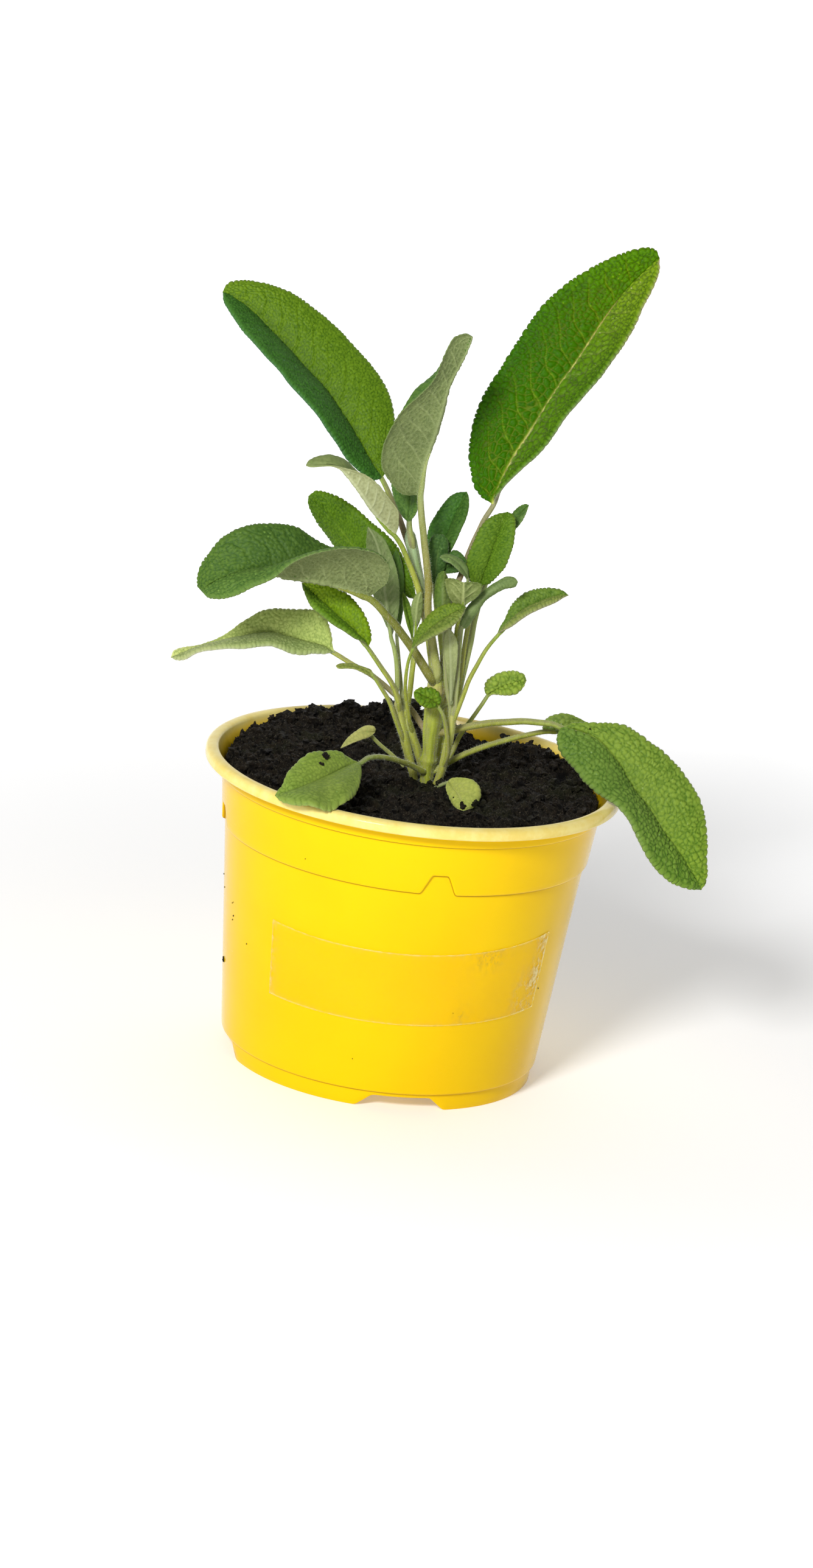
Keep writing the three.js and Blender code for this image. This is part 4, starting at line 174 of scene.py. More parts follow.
        "L": [[-7.12,4.2,125.05], [-7.71,4.47,126.04], [-8.27,4.73,127.12], [-8.94,5.11,128.73], [-9.54,5.55,130.65], [-9.97,6.04,132.84], [-9.87,6.49,134.82], [-9.53,7.09,137.22], [-8.61,7.68,139.48], [-7.75,8.11,141.27], [-6.62,8.54,143.24], [-5.37,8.9,144.83], [-3.94,9.18,145.85], [-2.8,9.36,146.23], [-1.63,9.5,146.45]],
        "R": [[-7.12,4.2,125.05], [-6.59,3.6,126.14], [-6.07,3.19,127.24], [-5.37,2.76,128.82], [-4.69,2.45,130.65], [-4.0,2.32,132.66], [-3.36,2.44,134.37], [-2.67,2.88,136.44], [-2.08,3.62,138.48], [-1.49,4.39,140.06], [-1.06,5.44,141.85], [-0.91,6.55,143.48], [-0.96,7.64,144.88], [-1.08,8.49,145.79], [-1.63,9.5,146.45]],
        "b": 0.1,
        "r": 0.65,
        "P": [[-7.12,4.2,125.05], [-6.69,3.8,123.01], [-5.89,3.0,120.49]],
    },
    "leaf_m": {
        "M": [[-6.49,0.5,123.39], [-6.56,0.39,124.28], [-6.64,0.25,125.48], [-6.72,0.13,126.94], [-6.79,0.1,128.58], [-6.81,0.1,130.31], [-6.79,0.1,132.04], [-6.73,0.12,133.66], [-6.62,0.18,135.07], [-6.5,0.24,136.21], [-6.4,0.3,137.05]],
        "L": [[-6.49,0.5,123.39], [-6.97,0.57,124.24], [-7.57,0.6,125.45], [-8.15,0.64,126.98], [-8.66,0.72,128.77], [-9.09,0.76,130.73], [-9.26,0.72,132.77], [-9.15,0.62,134.66], [-8.46,0.52,136.27], [-7.41,0.42,136.82], [-6.4,0.3,137.05]],
        "R": [[-6.49,0.5,123.39], [-6.11,0.58,124.22], [-5.63,0.62,125.38], [-5.06,0.66,126.83], [-4.46,0.75,128.49], [-4.21,0.79,130.32], [-4.17,0.75,132.23], [-4.41,0.65,134.04], [-4.83,0.54,135.54], [-5.56,0.43,136.49], [-6.4,0.3,137.05]],
        "b": 0.1,
        "r": 0.5,
        "P": [[-6.49,0.5,123.39], [-5.99,0.9,121.79], [-5.39,1.7,119.31]],
    },
    "leaf_m2": {
        "M": [[-4.95,1.6,126.62], [-4.66,1.47,127.2], [-4.2,1.3,127.96], [-3.54,1.13,128.8], [-2.71,1.0,129.64], [-1.76,0.91,130.3], [-0.82,0.84,130.66], [-0.01,0.81,130.89], [0.59,0.8,131.0]],
        "L": [[-4.95,1.6,126.62], [-4.92,1.6,127.58], [-4.74,1.56,128.93], [-4.37,1.48,130.52], [-3.72,1.39,132.49], [-2.49,1.26,133.16], [-0.95,1.09,132.6], [0.02,0.94,131.79], [0.59,0.8,131.0]],
        "R": [[-4.95,1.6,126.62], [-4.38,0.99,126.97], [-3.57,0.37,127.4], [-2.55,-0.16,127.87], [-1.46,-0.44,128.33], [-0.5,-0.39,129.0], [0.14,-0.09,129.77], [0.46,0.33,130.48], [0.59,0.8,131.0]],
        "b": 0.1,
        "r": 0.45,
        "P": [[-4.95,1.6,126.62], [-5.09,1.9,124.01], [-5.09,2.1,121.61], [-4.9,2.4,118.88]],
    },
    "leaf_m3": {
        "M": [[1.62,-1.4,127.0], [1.28,-1.5,127.56], [0.79,-1.64,128.28], [0.14,-1.81,129.1], [-0.67,-2.0,129.95], [-1.64,-2.2,130.79], [-2.68,-2.4,131.47], [-3.75,-2.59,132.01], [-4.72,-2.76,132.24], [-5.52,-2.9,132.18], [-6.13,-3.0,132.12]],
        "L": [[1.62,-1.4,127.0], [1.11,-1.92,127.4], [0.44,-2.45,127.95], [-0.34,-2.98,128.66], [-1.15,-3.44,129.52], [-2.07,-3.74,130.34], [-3.04,-3.84,131.0], [-4.08,-3.77,131.28], [-5.0,-3.57,131.5], [-5.67,-3.32,131.83], [-6.13,-3.0,132.12]],
        "R": [[1.62,-1.4,127.0], [1.51,-1.17,127.69], [1.33,-1.0,128.62], [1.04,-0.88,129.7], [0.21,-0.86,130.82], [-0.92,-0.98,131.7], [-2.27,-1.27,132.31], [-3.6,-1.67,132.71], [-4.76,-2.12,132.86], [-5.58,-2.57,132.56], [-6.13,-3.0,132.12]],
        "b": 0.1,
        "r": 0.45,
        "P": [[1.62,-1.4,127.0], [1.78,-1.2,123.37], [0.99,-0.4,117.57], [0.34,0.5,109.37], [0.29,0.0,101.59], [1.22,-2.0,95.92]],
    },
    "leaf_n": {
        "M": [[4.82,0.6,125.37], [4.9,0.53,126.29], [5.01,0.48,127.24], [5.23,0.43,128.59], [5.59,0.41,130.12], [5.99,0.4,131.82], [6.3,0.45,133.32], [6.68,0.6,135.15], [7.06,0.82,136.96], [7.37,1.02,138.42], [7.75,1.27,140.06], [8.13,1.54,141.51], [8.48,1.8,142.76], [8.73,2.0,143.62], [8.98,2.2,144.43]],
        "L": [[4.82,0.6,125.37], [3.69,0.37,125.46], [2.6,0.19,125.89], [1.5,-0.01,127.21], [1.0,-0.17,129.2], [0.76,-0.29,131.44], [1.05,-0.31,133.39], [1.73,-0.18,135.68], [2.36,0.07,137.97], [2.96,0.33,139.76], [4.05,0.69,141.6], [5.44,1.1,142.87], [6.87,1.52,143.7], [7.93,1.84,144.13], [8.98,2.2,144.43]],
        "R": [[4.82,0.6,125.37], [5.8,-0.1,125.89], [6.67,-0.63,126.56], [7.61,-1.26,127.91], [8.67,-1.83,129.53], [9.72,-2.27,131.29], [10.27,-2.47,133.0], [10.72,-2.42,135.14], [11.06,-2.09,137.23], [11.16,-1.65,138.88], [11.15,-0.97,140.72], [10.93,-0.15,142.36], [10.63,0.7,143.65], [10.03,1.38,144.19], [8.98,2.2,144.43]],
        "b": 0.1,
        "r": 0.6,
        "P": [[4.82,0.6,125.37], [3.94,0.9,121.56], [3.14,0.8,115.98], [2.84,0.1,109.02], [2.78,-1.4,101.52], [2.5,-2.7,96.29]],
    },
    "leaf_o": {
        "M": [[9.87,4.4,138.57], [10.13,4.49,139.24], [10.52,4.62,140.16], [11.05,4.78,141.27], [11.68,4.95,142.46], [12.36,5.12,143.63], [13.03,5.28,144.66], [13.61,5.41,145.48], [14.03,5.5,146.05]],
        "L": [[9.87,4.4,138.57], [9.79,4.72,139.41], [9.79,5.06,140.56], [9.92,5.39,141.9], [10.27,5.63,143.3], [11.17,5.74,144.67], [12.23,5.73,145.65], [13.27,5.64,146.22], [14.03,5.5,146.05]],
        "R": [[9.87,4.4,138.57], [10.5,4.01,139.08], [11.29,3.69,139.84], [12.04,3.49,140.89], [12.69,3.53,142.18], [13.27,3.84,143.43], [13.69,4.36,144.54], [13.92,4.93,145.44], [14.03,5.5,146.05]],
        "b": 0.1,
        "r": 0.75,
        "P": [[9.87,4.4,138.57], [7.66,4.2,132.22], [5.87,3.8,125.02], [4.61,3.0,117.19], [4.13,1.9,109.36], [3.51,0.6,103.77], [2.89,-0.9,98.23], [2.43,-2.4,94.93]],
    },
    "leaf_p": {
        "M": [[10.5,1.5,113.32], [11.07,1.77,114.02], [11.68,2.05,114.73], [12.58,2.46,115.74], [13.64,2.94,116.9], [14.83,3.46,118.19], [15.97,3.94,119.22], [17.53,4.53,120.29], [19.22,5.11,121.24], [20.59,5.53,121.99], [22.19,5.97,122.76], [23.69,6.33,123.32], [25.01,6.63,123.75], [25.95,6.82,124.01], [26.86,7.0,124.22]],
        "L": [[10.5,1.5,113.32], [10.74,2.06,114.26], [11.12,2.57,115.22], [11.87,3.25,116.54], [12.48,3.98,118.19], [13.12,4.71,120.05], [14.11,5.3,121.52], [15.66,5.95,123.12], [17.58,6.48,124.25], [19.33,6.78,124.78], [21.39,7.01,125.19], [23.28,7.13,125.35], [24.92,7.15,125.17], [25.95,7.12,124.84], [26.86,7.0,124.22]],
        "R": [[10.5,1.5,113.32], [11.19,0.97,114.05], [11.93,0.64,114.76], [12.96,0.31,115.77], [14.12,0.1,116.96], [15.37,0.06,118.27], [16.52,0.22,119.32], [18.05,0.68,120.41], [19.69,1.4,121.32], [21.05,2.13,121.97], [22.63,3.13,122.59], [24.06,4.19,123.11], [25.26,5.22,123.59], [26.09,6.03,123.93], [26.86,7.0,124.22]],
        "b": 0.1,
        "r": 0.6,
        "P": [[10.5,1.5,113.32], [8.4,0.6,109.65], [6.53,-0.6,105.45], [5.05,-1.8,101.77], [4.14,-3.4,98.45], [3.16,-4.4,94.47]],
    },
    "leaf_q": {
        "M": [[10.22,6.5,95.92], [10.71,6.66,96.35], [11.4,6.9,96.9], [12.28,7.2,97.52], [13.33,7.58,98.17], [14.49,8.0,98.76], [15.71,8.46,99.23], [16.9,8.92,99.6], [17.95,9.35,99.88], [18.81,9.72,100.08], [19.45,10.0,100.22]],
        "L": [[10.22,6.5,95.92], [9.59,6.79,96.63], [9.46,7.15,97.83], [9.81,7.57,99.27], [11.05,8.03,100.58], [12.67,8.48,101.52], [14.51,8.91,101.99], [16.3,9.29,102.21], [17.93,9.61,101.89], [18.95,9.85,101.15], [19.45,10.0,100.22]],
        "R": [[10.22,6.5,95.92], [10.88,6.13,96.27], [11.81,5.87,96.62], [12.97,5.71,96.83], [14.31,5.75,97.01], [15.74,6.05,97.23], [17.07,6.63,97.57], [18.13,7.43,98.28], [18.81,8.33,99.01], [19.23,9.19,99.69], [19.45,10.0,100.22]],
        "b": 0.1,
        "r": 0.55,
        "P": [[10.22,6.5,95.92], [9.14,6.2,93.62], [7.43,5.8,90.31], [6.06,5.4,87.83], [4.6,4.8,84.92], [3.3,3.8,80.86], [1.51,2.4,77.17], [0.43,1.6,73.72]],
    },
    "leaf_r": {
        "M": [[-1.59,-8.0,95.46], [-2.07,-8.08,95.87], [-2.77,-8.2,96.39], [-3.67,-8.34,96.95], [-4.72,-8.5,97.43], [-5.82,-8.66,97.83], [-6.81,-8.8,98.18], [-7.62,-8.92,98.44], [-8.19,-9.0,98.62]],
        "L": [[-1.59,-8.0,95.46], [-2.23,-8.75,95.37], [-3.15,-9.49,95.34], [-4.33,-10.14,95.58], [-5.58,-10.49,96.03], [-6.71,-10.45,96.72], [-7.69,-10.09,97.4], [-8.1,-9.58,98.07], [-8.19,-9.0,98.62]],
        "R": [[-1.59,-8.0,95.46], [-1.36,-7.74,96.27], [-1.43,-7.53,97.4], [-2.19,-7.42,98.77], [-3.51,-7.48,99.57], [-5.16,-7.74,99.63], [-6.64,-8.14,99.54], [-7.64,-8.58,99.26], [-8.19,-9.0,98.62]],
        "b": 0.1,
        "r": 0.5,
        "P": [[-1.59,-8.0,95.46], [-0.26,-7.9,93.4], [0.95,-7.3,89.75], [1.77,-6.6,85.54], [2.01,-6.1,82.41]],
    },
    "leaf_s": {
        "M": [[-10.15,-10.5,109.75], [-9.65,-10.5,110.56], [-9.08,-10.5,111.44], [-8.23,-10.5,112.67], [-7.2,-10.5,114.05], [-6.19,-10.5,115.3], [-4.9,-10.5,116.75], [-3.52,-10.5,118.12], [-2.32,-10.49,119.17], [-0.99,-10.39,120.2], [0.2,-10.24,121.02], [1.07,-10.12,121.56], [1.87,-10.0,122.02]],
        "L": [[-10.15,-10.5,109.75], [-10.05,-10.01,110.72], [-9.89,-9.62,111.84], [-9.59,-9.17,113.46], [-9.03,-8.78,115.28], [-8.07,-8.55,116.84], [-6.79,-8.45,118.72], [-5.29,-8.55,120.42], [-3.77,-8.77,121.53], [-1.94,-9.06,122.32], [-0.24,-9.36,122.53], [0.91,-9.63,122.44], [1.87,-10.0,122.02]],
        "R": [[-10.15,-10.5,109.75], [-9.43,-11.25,110.55], [-8.64,-11.85,111.41], [-7.6,-12.54,112.67], [-6.3,-13.13,113.94], [-4.99,-13.49,114.97], [-3.4,-13.64,116.13], [-1.89,-13.49,117.31], [-0.74,-13.12,118.35], [0.4,-12.43,119.48], [1.22,-11.6,120.51], [1.62,-10.87,121.3], [1.87,-10.0,122.02]],
        "b": 0.1,
        "r": 0.5,
        "P": [[-10.15,-10.5,109.75], [-10.6,-9.6,105.84], [-10.64,-8.2,100.9], [-10.06,-6.8,96.5], [-8.86,-5.0,91.89], [-8.25,-3.7,89.08]],
    },
    "leaf_s2": {
        "M": [[-3.48,-4.8,117.78], [-3.62,-4.8,118.49], [-3.8,-4.78,119.45], [-3.99,-4.74,120.63], [-4.17,-4.67,121.98], [-4.36,-4.6,123.41], [-4.54,-4.5,124.83], [-4.66,-4.37,126.16], [-4.68,-4.23,127.33], [-4.66,-4.1,128.28], [-4.63,-4.0,128.98]],
        "L": [[-3.48,-4.8,117.78], [-4.28,-4.27,118.06], [-5.17,-3.75,118.63], [-5.77,-3.25,119.63], [-6.22,-2.85,121.11], [-6.42,-2.65,122.75], [-6.51,-2.67,124.45], [-6.39,-2.88,126.12], [-6.03,-3.2,127.54], [-5.38,-3.57,128.52], [-4.63,-4.0,128.98]],
        "R": [[-3.48,-4.8,117.78], [-2.75,-4.33,118.21], [-2.0,-3.87,118.94], [-1.78,-3.42,119.95], [-1.88,-3.07,121.4], [-2.18,-2.88,122.94], [-2.77,-2.89,124.45], [-3.23,-3.05,125.93], [-3.64,-3.32,127.25], [-4.15,-3.63,128.26], [-4.63,-4.0,128.98]],
        "b": 0.1,
        "r": 0.5,
        "P": [[-3.48,-4.8,117.78], [-2.68,-4.2,112.55], [-1.58,-3.2,106.14], [-0.23,-3.0,99.17], [1.26,-3.6,94.79]],
    },
    "leaf_s3": {
        "M": [[1.16,-5.8,120.85], [1.09,-5.99,121.42], [0.99,-6.25,122.22], [0.88,-6.53,123.19], [0.82,-6.8,124.26], [0.76,-7.02,125.32], [0.65,-7.2,126.26], [0.55,-7.33,127.02], [0.49,-7.4,127.56]],
        "L": [[1.16,-5.8,120.85], [1.79,-5.75,121.62], [2.75,-5.77,122.68], [3.92,-5.87,124.02], [4.86,-6.07,125.78], [4.54,-6.36,127.57], [2.85,-6.73,127.85], [1.44,-7.08,127.73], [0.49,-7.4,127.56]],
        "R": [[1.16,-5.8,120.85], [0.02,-5.75,121.1], [-1.31,-5.77,121.84], [-2.52,-5.87,123.4], [-3.47,-6.07,125.41], [-3.89,-6.36,127.6], [-2.12,-6.73,127.97], [-0.59,-7.08,127.65], [0.49,-7.4,127.56]],
        "b": 0.1,
        "r": 0.5,
        "P": [[1.16,-5.8,120.85], [0.7,-4.9,118.37], [0.32,-3.0,115.0], [0.48,-1.2,109.84], [1.03,-1.3,102.04], [1.63,-2.8,95.88]],
    },
    "leaf_s4": {
        "M": [[1.44,-3.6,114.68], [1.69,-3.56,115.55], [1.99,-3.53,116.43], [2.47,-3.47,117.68], [3.1,-3.39,119.08], [3.91,-3.31,120.58], [4.73,-3.22,121.86], [5.84,-3.12,123.33], [7.09,-3.0,124.72], [8.18,-2.89,125.74], [9.48,-2.75,126.87], [10.76,-2.62,127.66], [11.98,-2.49,127.97], [12.88,-2.39,128.12], [13.77,-2.3,128.24]],
        "L": [[1.44,-3.6,114.68], [1.08,-3.21,115.55], [0.9,-2.9,116.49], [1.16,-2.51,117.88], [1.79,-2.13,119.45], [2.7,-1.8,121.1], [3.71,-1.58,122.43], [5.08,-1.41,124.01], [6.5,-1.35,125.55], [7.76,-1.38,126.72], [9.28,-1.49,127.93], [10.74,-1.66,128.95], [12.19,-1.86,129.18], [13.13,-2.04,128.94], [13.77,-2.3,128.24]],
        "R": [[1.44,-3.6,114.68], [2.26,-3.23,114.97], [2.94,-2.93,115.43], [3.62,-2.56,116.44], [4.29,-2.19,117.81], [5.09,-1.87,119.25], [5.64,-1.66,120.64], [6.42,-1.49,122.25], [7.73,-1.43,123.56], [8.9,-1.45,124.52], [10.29,-1.55,125.51], [11.72,-1.71,126.16], [12.95,-1.89,126.66], [13.48,-2.06,127.27], [13.77,-2.3,128.24]],
        "b": 0.1,
        "r": 0.65,
        "P": [[1.44,-3.6,114.68], [1.54,-3.3,110.37], [1.86,-3.5,104.33], [2.21,-4.0,98.19], [2.29,-4.4,94.67]],
    },
    "leaf_y": {
        "M": [[1.51,-5.6,95.69], [1.38,-5.67,96.59], [1.24,-5.73,97.53], [1.04,-5.82,98.88], [0.81,-5.91,100.45], [0.56,-5.99,102.17], [0.33,-6.06,103.7], [0.05,-6.13,105.58], [-0.23,-6.18,107.45], [-0.47,-6.2,108.96], [-0.75,-6.2,110.65], [-1.02,-6.2,112.17], [-1.26,-6.2,113.48], [-1.43,-6.2,114.39], [-1.6,-6.2,115.26]],
        "L": [[1.51,-5.6,95.69], [1.52,-5.61,96.6], [1.54,-5.63,97.58], [1.54,-5.66,98.98], [1.54,-5.7,100.6], [1.53,-5.74,102.39], [1.52,-5.78,103.98], [1.48,-5.85,105.95], [1.36,-5.91,107.91], [1.23,-5.95,109.5], [1.01,-5.99,111.25], [0.44,-6.04,112.77], [-0.28,-6.1,113.95], [-0.89,-6.14,114.66], [-1.6,-6.2,115.26]],
        "R": [[1.51,-5.6,95.69], [1.28,-5.43,96.51], [1.03,-5.31,97.4], [0.68,-5.18,98.69], [0.27,-5.06,100.19], [-0.19,-4.98,101.87], [-0.61,-4.95,103.36], [-1.11,-4.98,105.22], [-1.56,-5.07,107.11], [-1.91,-5.18,108.66], [-2.21,-5.35,110.43], [-2.36,-5.56,112.08], [-2.37,-5.78,113.46], [-2.07,-5.96,114.39], [-1.6,-6.2,115.26]],
        "b": 0.1,
        "r": 0.8,
    },
    "leaf_t": {
        "M": [[-19.11,-24.0,83.12], [-19.87,-25.01,83.08], [-20.78,-26.26,83.0], [-21.84,-27.75,82.86], [-23.02,-29.47,82.65], [-24.26,-31.41,82.33], [-25.58,-33.47,81.94], [-27.0,-35.48,81.55], [-28.47,-37.36,81.13], [-29.95,-39.09,80.69], [-31.42,-40.69,80.27], [-32.83,-42.1,79.88], [-34.17,-42.98,79.42], [-35.4,-43.46,78.96], [-36.5,-43.78,78.57], [-37.43,-43.95,78.23], [-38.19,-44.0,77.95]],
        "L": [[-19.11,-24.0,83.12], [-18.73,-26.61,82.83], [-18.48,-29.75,82.41], [-18.44,-33.27,81.78], [-18.61,-37.19,81.12], [-19.32,-41.48,80.43], [-20.52,-44.9,79.68], [-22.23,-46.99,78.78], [-24.15,-48.87,78.14], [-26.38,-50.38,78.35], [-28.58,-50.58,78.65], [-30.7,-50.07,78.62], [-32.69,-49.07,78.26], [-34.51,-47.59,77.83], [-36.09,-46.24,77.57], [-37.34,-45.04,77.58], [-38.19,-44.0,77.95]],
        "R": [[-19.11,-24.0,83.12], [-20.08,-23.85,83.22], [-21.27,-23.79,83.48], [-22.59,-24.02,84.16], [-23.99,-24.65,85.25], [-25.79,-25.61,85.75], [-27.75,-27.03,85.89], [-29.75,-28.73,85.87], [-31.68,-30.42,85.47], [-33.27,-32.2,84.64], [-34.53,-34.49,83.57], [-35.62,-36.89,82.55], [-36.32,-38.74,81.38], [-36.59,-40.27,80.13], [-37.15,-41.68,79.22], [-37.78,-42.96,78.54], [-38.19,-44.0,77.95]],
        "b": 0.1,
        "r": 0.75,
        "P": [[-19.11,-24.0,83.12], [-17.07,-21.5,83.93], [-14.31,-18.0,83.61], [-10.97,-13.5,82.14], [-7.55,-8.5,80.05], [-5.15,-5.4,78.37], [-3.69,-3.9,77.33]],
    },
    "leaf_u": {
        "M": [[-16.57,1.0,84.23], [-17.2,0.75,84.21], [-18.04,0.41,84.2], [-19.03,-0.01,84.18], [-20.06,-0.49,83.94], [-21.04,-1.0,83.23], [-21.97,-1.51,82.46], [-22.82,-1.99,81.77], [-23.53,-2.41,81.12], [-24.08,-2.75,80.56], [-24.47,-3.0,80.14]],
        "L": [[-16.57,1.0,84.23], [-16.92,0.34,83.88], [-17.48,-0.39,83.48], [-18.31,-1.18,83.19], [-19.35,-1.92,82.93], [-20.43,-2.53,82.55], [-21.47,-2.94,82.06], [-22.41,-3.15,81.46], [-23.24,-3.21,80.91], [-23.95,-3.16,80.47], [-24.47,-3.0,80.14]],
        "R": [[-16.57,1.0,84.23], [-16.53,1.05,85.09], [-17.06,0.98,85.67], [-18.49,0.82,85.74], [-19.83,0.53,85.26], [-21.03,0.09,84.36], [-22.14,-0.48,83.4], [-23.09,-1.15,82.44], [-23.75,-1.83,81.53], [-24.2,-2.45,80.73], [-24.47,-3.0,80.14]],
        "b": 0.1,
        "r": 0.5,
        "P": [[-17.74,1.0,83.75], [-15.15,3.0,80.82], [-11.45,5.2,77.64], [-9.03,6.6,75.15], [-7.37,7.2,72.79]],
    },
    "leaf_v": {
        "M": [[2.96,-11.0,77.29], [3.39,-11.76,77.2], [3.96,-12.78,77.05], [4.62,-14.04,76.83], [5.36,-15.48,76.55], [6.1,-17.0,76.2], [6.67,-18.52,75.77], [7.11,-19.96,75.29], [7.45,-21.22,74.82], [7.67,-22.24,74.4], [7.8,-23.0,74.07]],
        "L": [[2.96,-11.0,77.29], [3.62,-11.4,78.29], [4.95,-12.02,79.08], [6.76,-12.91,79.58], [8.79,-14.07,79.74], [10.57,-15.5,78.94], [11.43,-17.13,77.33], [11.06,-18.83,75.73], [9.99,-20.47,74.66], [8.82,-21.9,74.21], [7.8,-23.0,74.07]],
        "R": [[2.96,-11.0,77.29], [2.82,-11.87,76.95], [2.82,-13.03,76.5], [3.14,-14.42,75.99], [3.67,-15.94,75.45], [4.24,-17.5,74.85], [4.9,-18.99,74.33], [5.68,-20.34,74.0], [6.52,-21.48,73.87], [7.23,-22.37,73.94], [7.8,-23.0,74.07]],
        "b": 0.1,
        "r": 0.5,
        "P": [[2.96,-11.0,77.29], [1.14,-9.0,75.5], [-0.23,-7.0,73.77], [-1.02,-6.0,72.56]],
    },
    "leaf_w": {
        "M": [[29.86,0.0,92.12], [31.02,-0.27,92.08], [32.32,-0.56,92.0], [33.79,-0.91,91.85], [35.43,-1.29,91.64], [37.2,-1.71,91.27], [38.96,-2.16,90.56], [41.25,-2.83,88.92], [42.95,-3.37,87.42], [44.63,-3.93,85.76], [46.2,-4.5,83.9], [47.66,-5.04,81.86], [49.27,-5.54,79.89], [51.15,-6.02,78.11], [53.05,-6.49,76.34], [54.82,-6.96,74.46], [56.47,-7.45,72.56], [58.08,-7.95,70.69], [59.74,-8.41,69.01], [61.4,-8.79,67.44], [63.36,-9.17,65.33], [64.65,-9.4,63.79], [65.83,-9.58,62.34], [66.88,-9.73,61.02], [67.82,-9.85,59.82], [68.63,-9.94,58.75], [69.35,-10.0,57.8]],
        "L": [[29.86,0.0,92.12], [31.03,0.25,92.81], [32.47,0.4,93.33], [34.21,0.5,93.66], [36.19,0.57,93.89], [38.38,0.59,94.09], [40.74,0.57,94.39], [44.14,0.47,94.5], [46.8,0.3,93.82], [49.34,0.06,92.51], [51.93,-0.23,91.08], [54.65,-0.57,89.75], [57.16,-0.95,87.95], [59.63,-1.39,86.04], [61.87,-1.9,83.91], [63.94,-2.49,81.65], [65.73,-3.19,79.28], [67.07,-3.96,76.74], [67.96,-4.75,74.13], [68.62,-5.52,71.56], [69.26,-6.44,68.32], [69.49,-7.11,66.04], [69.83,-7.74,63.97], [70.1,-8.34,62.09], [70.1,-8.9,60.4], [69.84,-9.43,58.98], [69.35,-10.0,57.8]],
        "R": [[29.86,0.0,92.12], [29.18,-1.28,91.38], [28.97,-2.46,90.36], [29.15,-3.68,89.09], [29.82,-4.95,87.78], [31.0,-6.25,86.6], [32.58,-7.58,85.6], [34.78,-9.35,84.0], [36.4,-10.64,82.56], [38.42,-11.86,81.43], [40.53,-12.97,80.18], [42.88,-13.91,79.23], [45.39,-14.67,78.37], [47.4,-15.23,76.73], [49.22,-15.61,74.66], [50.87,-15.83,72.47], [52.29,-15.92,70.1], [53.74,-15.88,67.8], [55.39,-15.69,65.72], [57.14,-15.33,63.82], [59.53,-14.6,61.56], [61.39,-13.95,60.32], [63.29,-13.25,59.5], [65.06,-12.52,58.88], [66.66,-11.76,58.43], [68.09,-10.96,58.1], [69.35,-10.0,57.8]],
        "b": 0.1,
        "r": 0.85,
        "P": [[29.86,0.0,92.12], [27.36,0.5,92.43], [23.85,1.2,92.23], [20.36,1.6,91.96], [16.15,1.6,91.23], [11.51,1.2,90.39], [6.93,0.7,89.11], [3.43,0.1,87.85], [0.64,-0.6,87.03], [-1.45,-1.0,86.7]],
    },
    "leaf_x": {
        "M": [[28.22,6.5,89.1], [28.89,6.63,89.31], [29.81,6.8,89.57], [30.95,7.01,89.81], [32.27,7.25,90.01], [33.68,7.5,90.19], [35.1,7.75,90.33], [36.43,7.99,90.44], [37.61,8.2,90.54], [38.56,8.37,90.62], [39.26,8.5,90.68]],
        "L": [[28.22,6.5,89.1], [26.86,6.8,88.93], [25.43,7.14,89.3], [25.5,7.51,91.16], [27.31,7.86,92.6], [29.7,8.16,93.3], [32.2,8.37,92.98], [34.44,8.5,92.12], [36.43,8.55,91.47], [38.07,8.55,90.99], [39.26,8.5,90.68]],
        "R": [[28.22,6.5,89.1], [28.88,5.56,88.98], [29.8,4.73,88.85], [30.97,4.0,88.94], [32.37,3.56,89.1], [33.84,3.57,89.31], [35.25,4.07,89.74], [36.55,4.99,90.12], [37.69,6.13,90.4], [38.6,7.31,90.6], [39.26,8.5,90.68]],
        "b": 0.1,
        "r": 0.7,
        "P": [[28.22,6.5,89.1], [25.66,6.2,88.68], [20.92,5.4,87.3], [16.81,4.4,85.9], [12.28,3.2,84.18], [7.8,1.8,82.21], [3.54,0.4,79.79], [-0.23,-0.8,77.06]],
    },
}

# ------------------------------------------------------------------ small tools


def rng(seed):
    return np.random.default_rng(seed)


def sm(x, a, b):
    """smooth step from 0 at a to 1 at b"""
    t = np.clip((np.asarray(x, float) - a) / (b - a), 0, 1)
    return t * t * (3 - 2 * t)


def gauss(x, s):
    return np.exp(-((np.asarray(x) / s) ** 2))


def hash2(ix, iy, seed):
    with np.errstate(over="ignore"):
        a = (
            ix.astype(np.int64).astype(np.uint32) * np.uint32(374761393)
            + iy.astype(np.int64).astype(np.uint32) * np.uint32(668265263)
            + np.uint32((seed * 974634777) & 0xFFFFFFFF)
        )
        a = (a ^ (a >> np.uint32(13))) * np.uint32(1274126177)
        a = a ^ (a >> np.uint32(16))
        b = (a * np.uint32(2246822519)) ^ (a >> np.uint32(11))
        b = (b ^ (b >> np.uint32(15))) * np.uint32(3266489917)
        b = b ^ (b >> np.uint32(14))
    return a.astype(np.float64) / 4294967296.0, b.astype(np.float64) / 4294967296.0


def worley(x, y, seed, jit=0.85):
    """nearest and second nearest feature distance, and a random number per cell"""
    ix, iy = np.floor(x), np.floor(y)
    f1 = np.full(x.shape, 9.0)
    f2 = np.full(x.shape, 9.0)
    rid = np.zeros(x.shape)
    for dx in (-1, 0, 1):
        for dy in (-1, 0, 1):
            cx, cy = ix + dx, iy + dy
            r1, r2 = hash2(cx, cy, seed)
            d = np.hypot(cx + 0.5 + jit * (r1 - 0.5) - x, cy + 0.5 + jit * (r2 - 0.5) - y)
            nearer = d < f1
            f2 = np.where(nearer, f1, np.minimum(f2, d))
            rid = np.where(nearer, r1, rid)
            f1 = np.where(nearer, d, f1)
    return f1, f2, rid


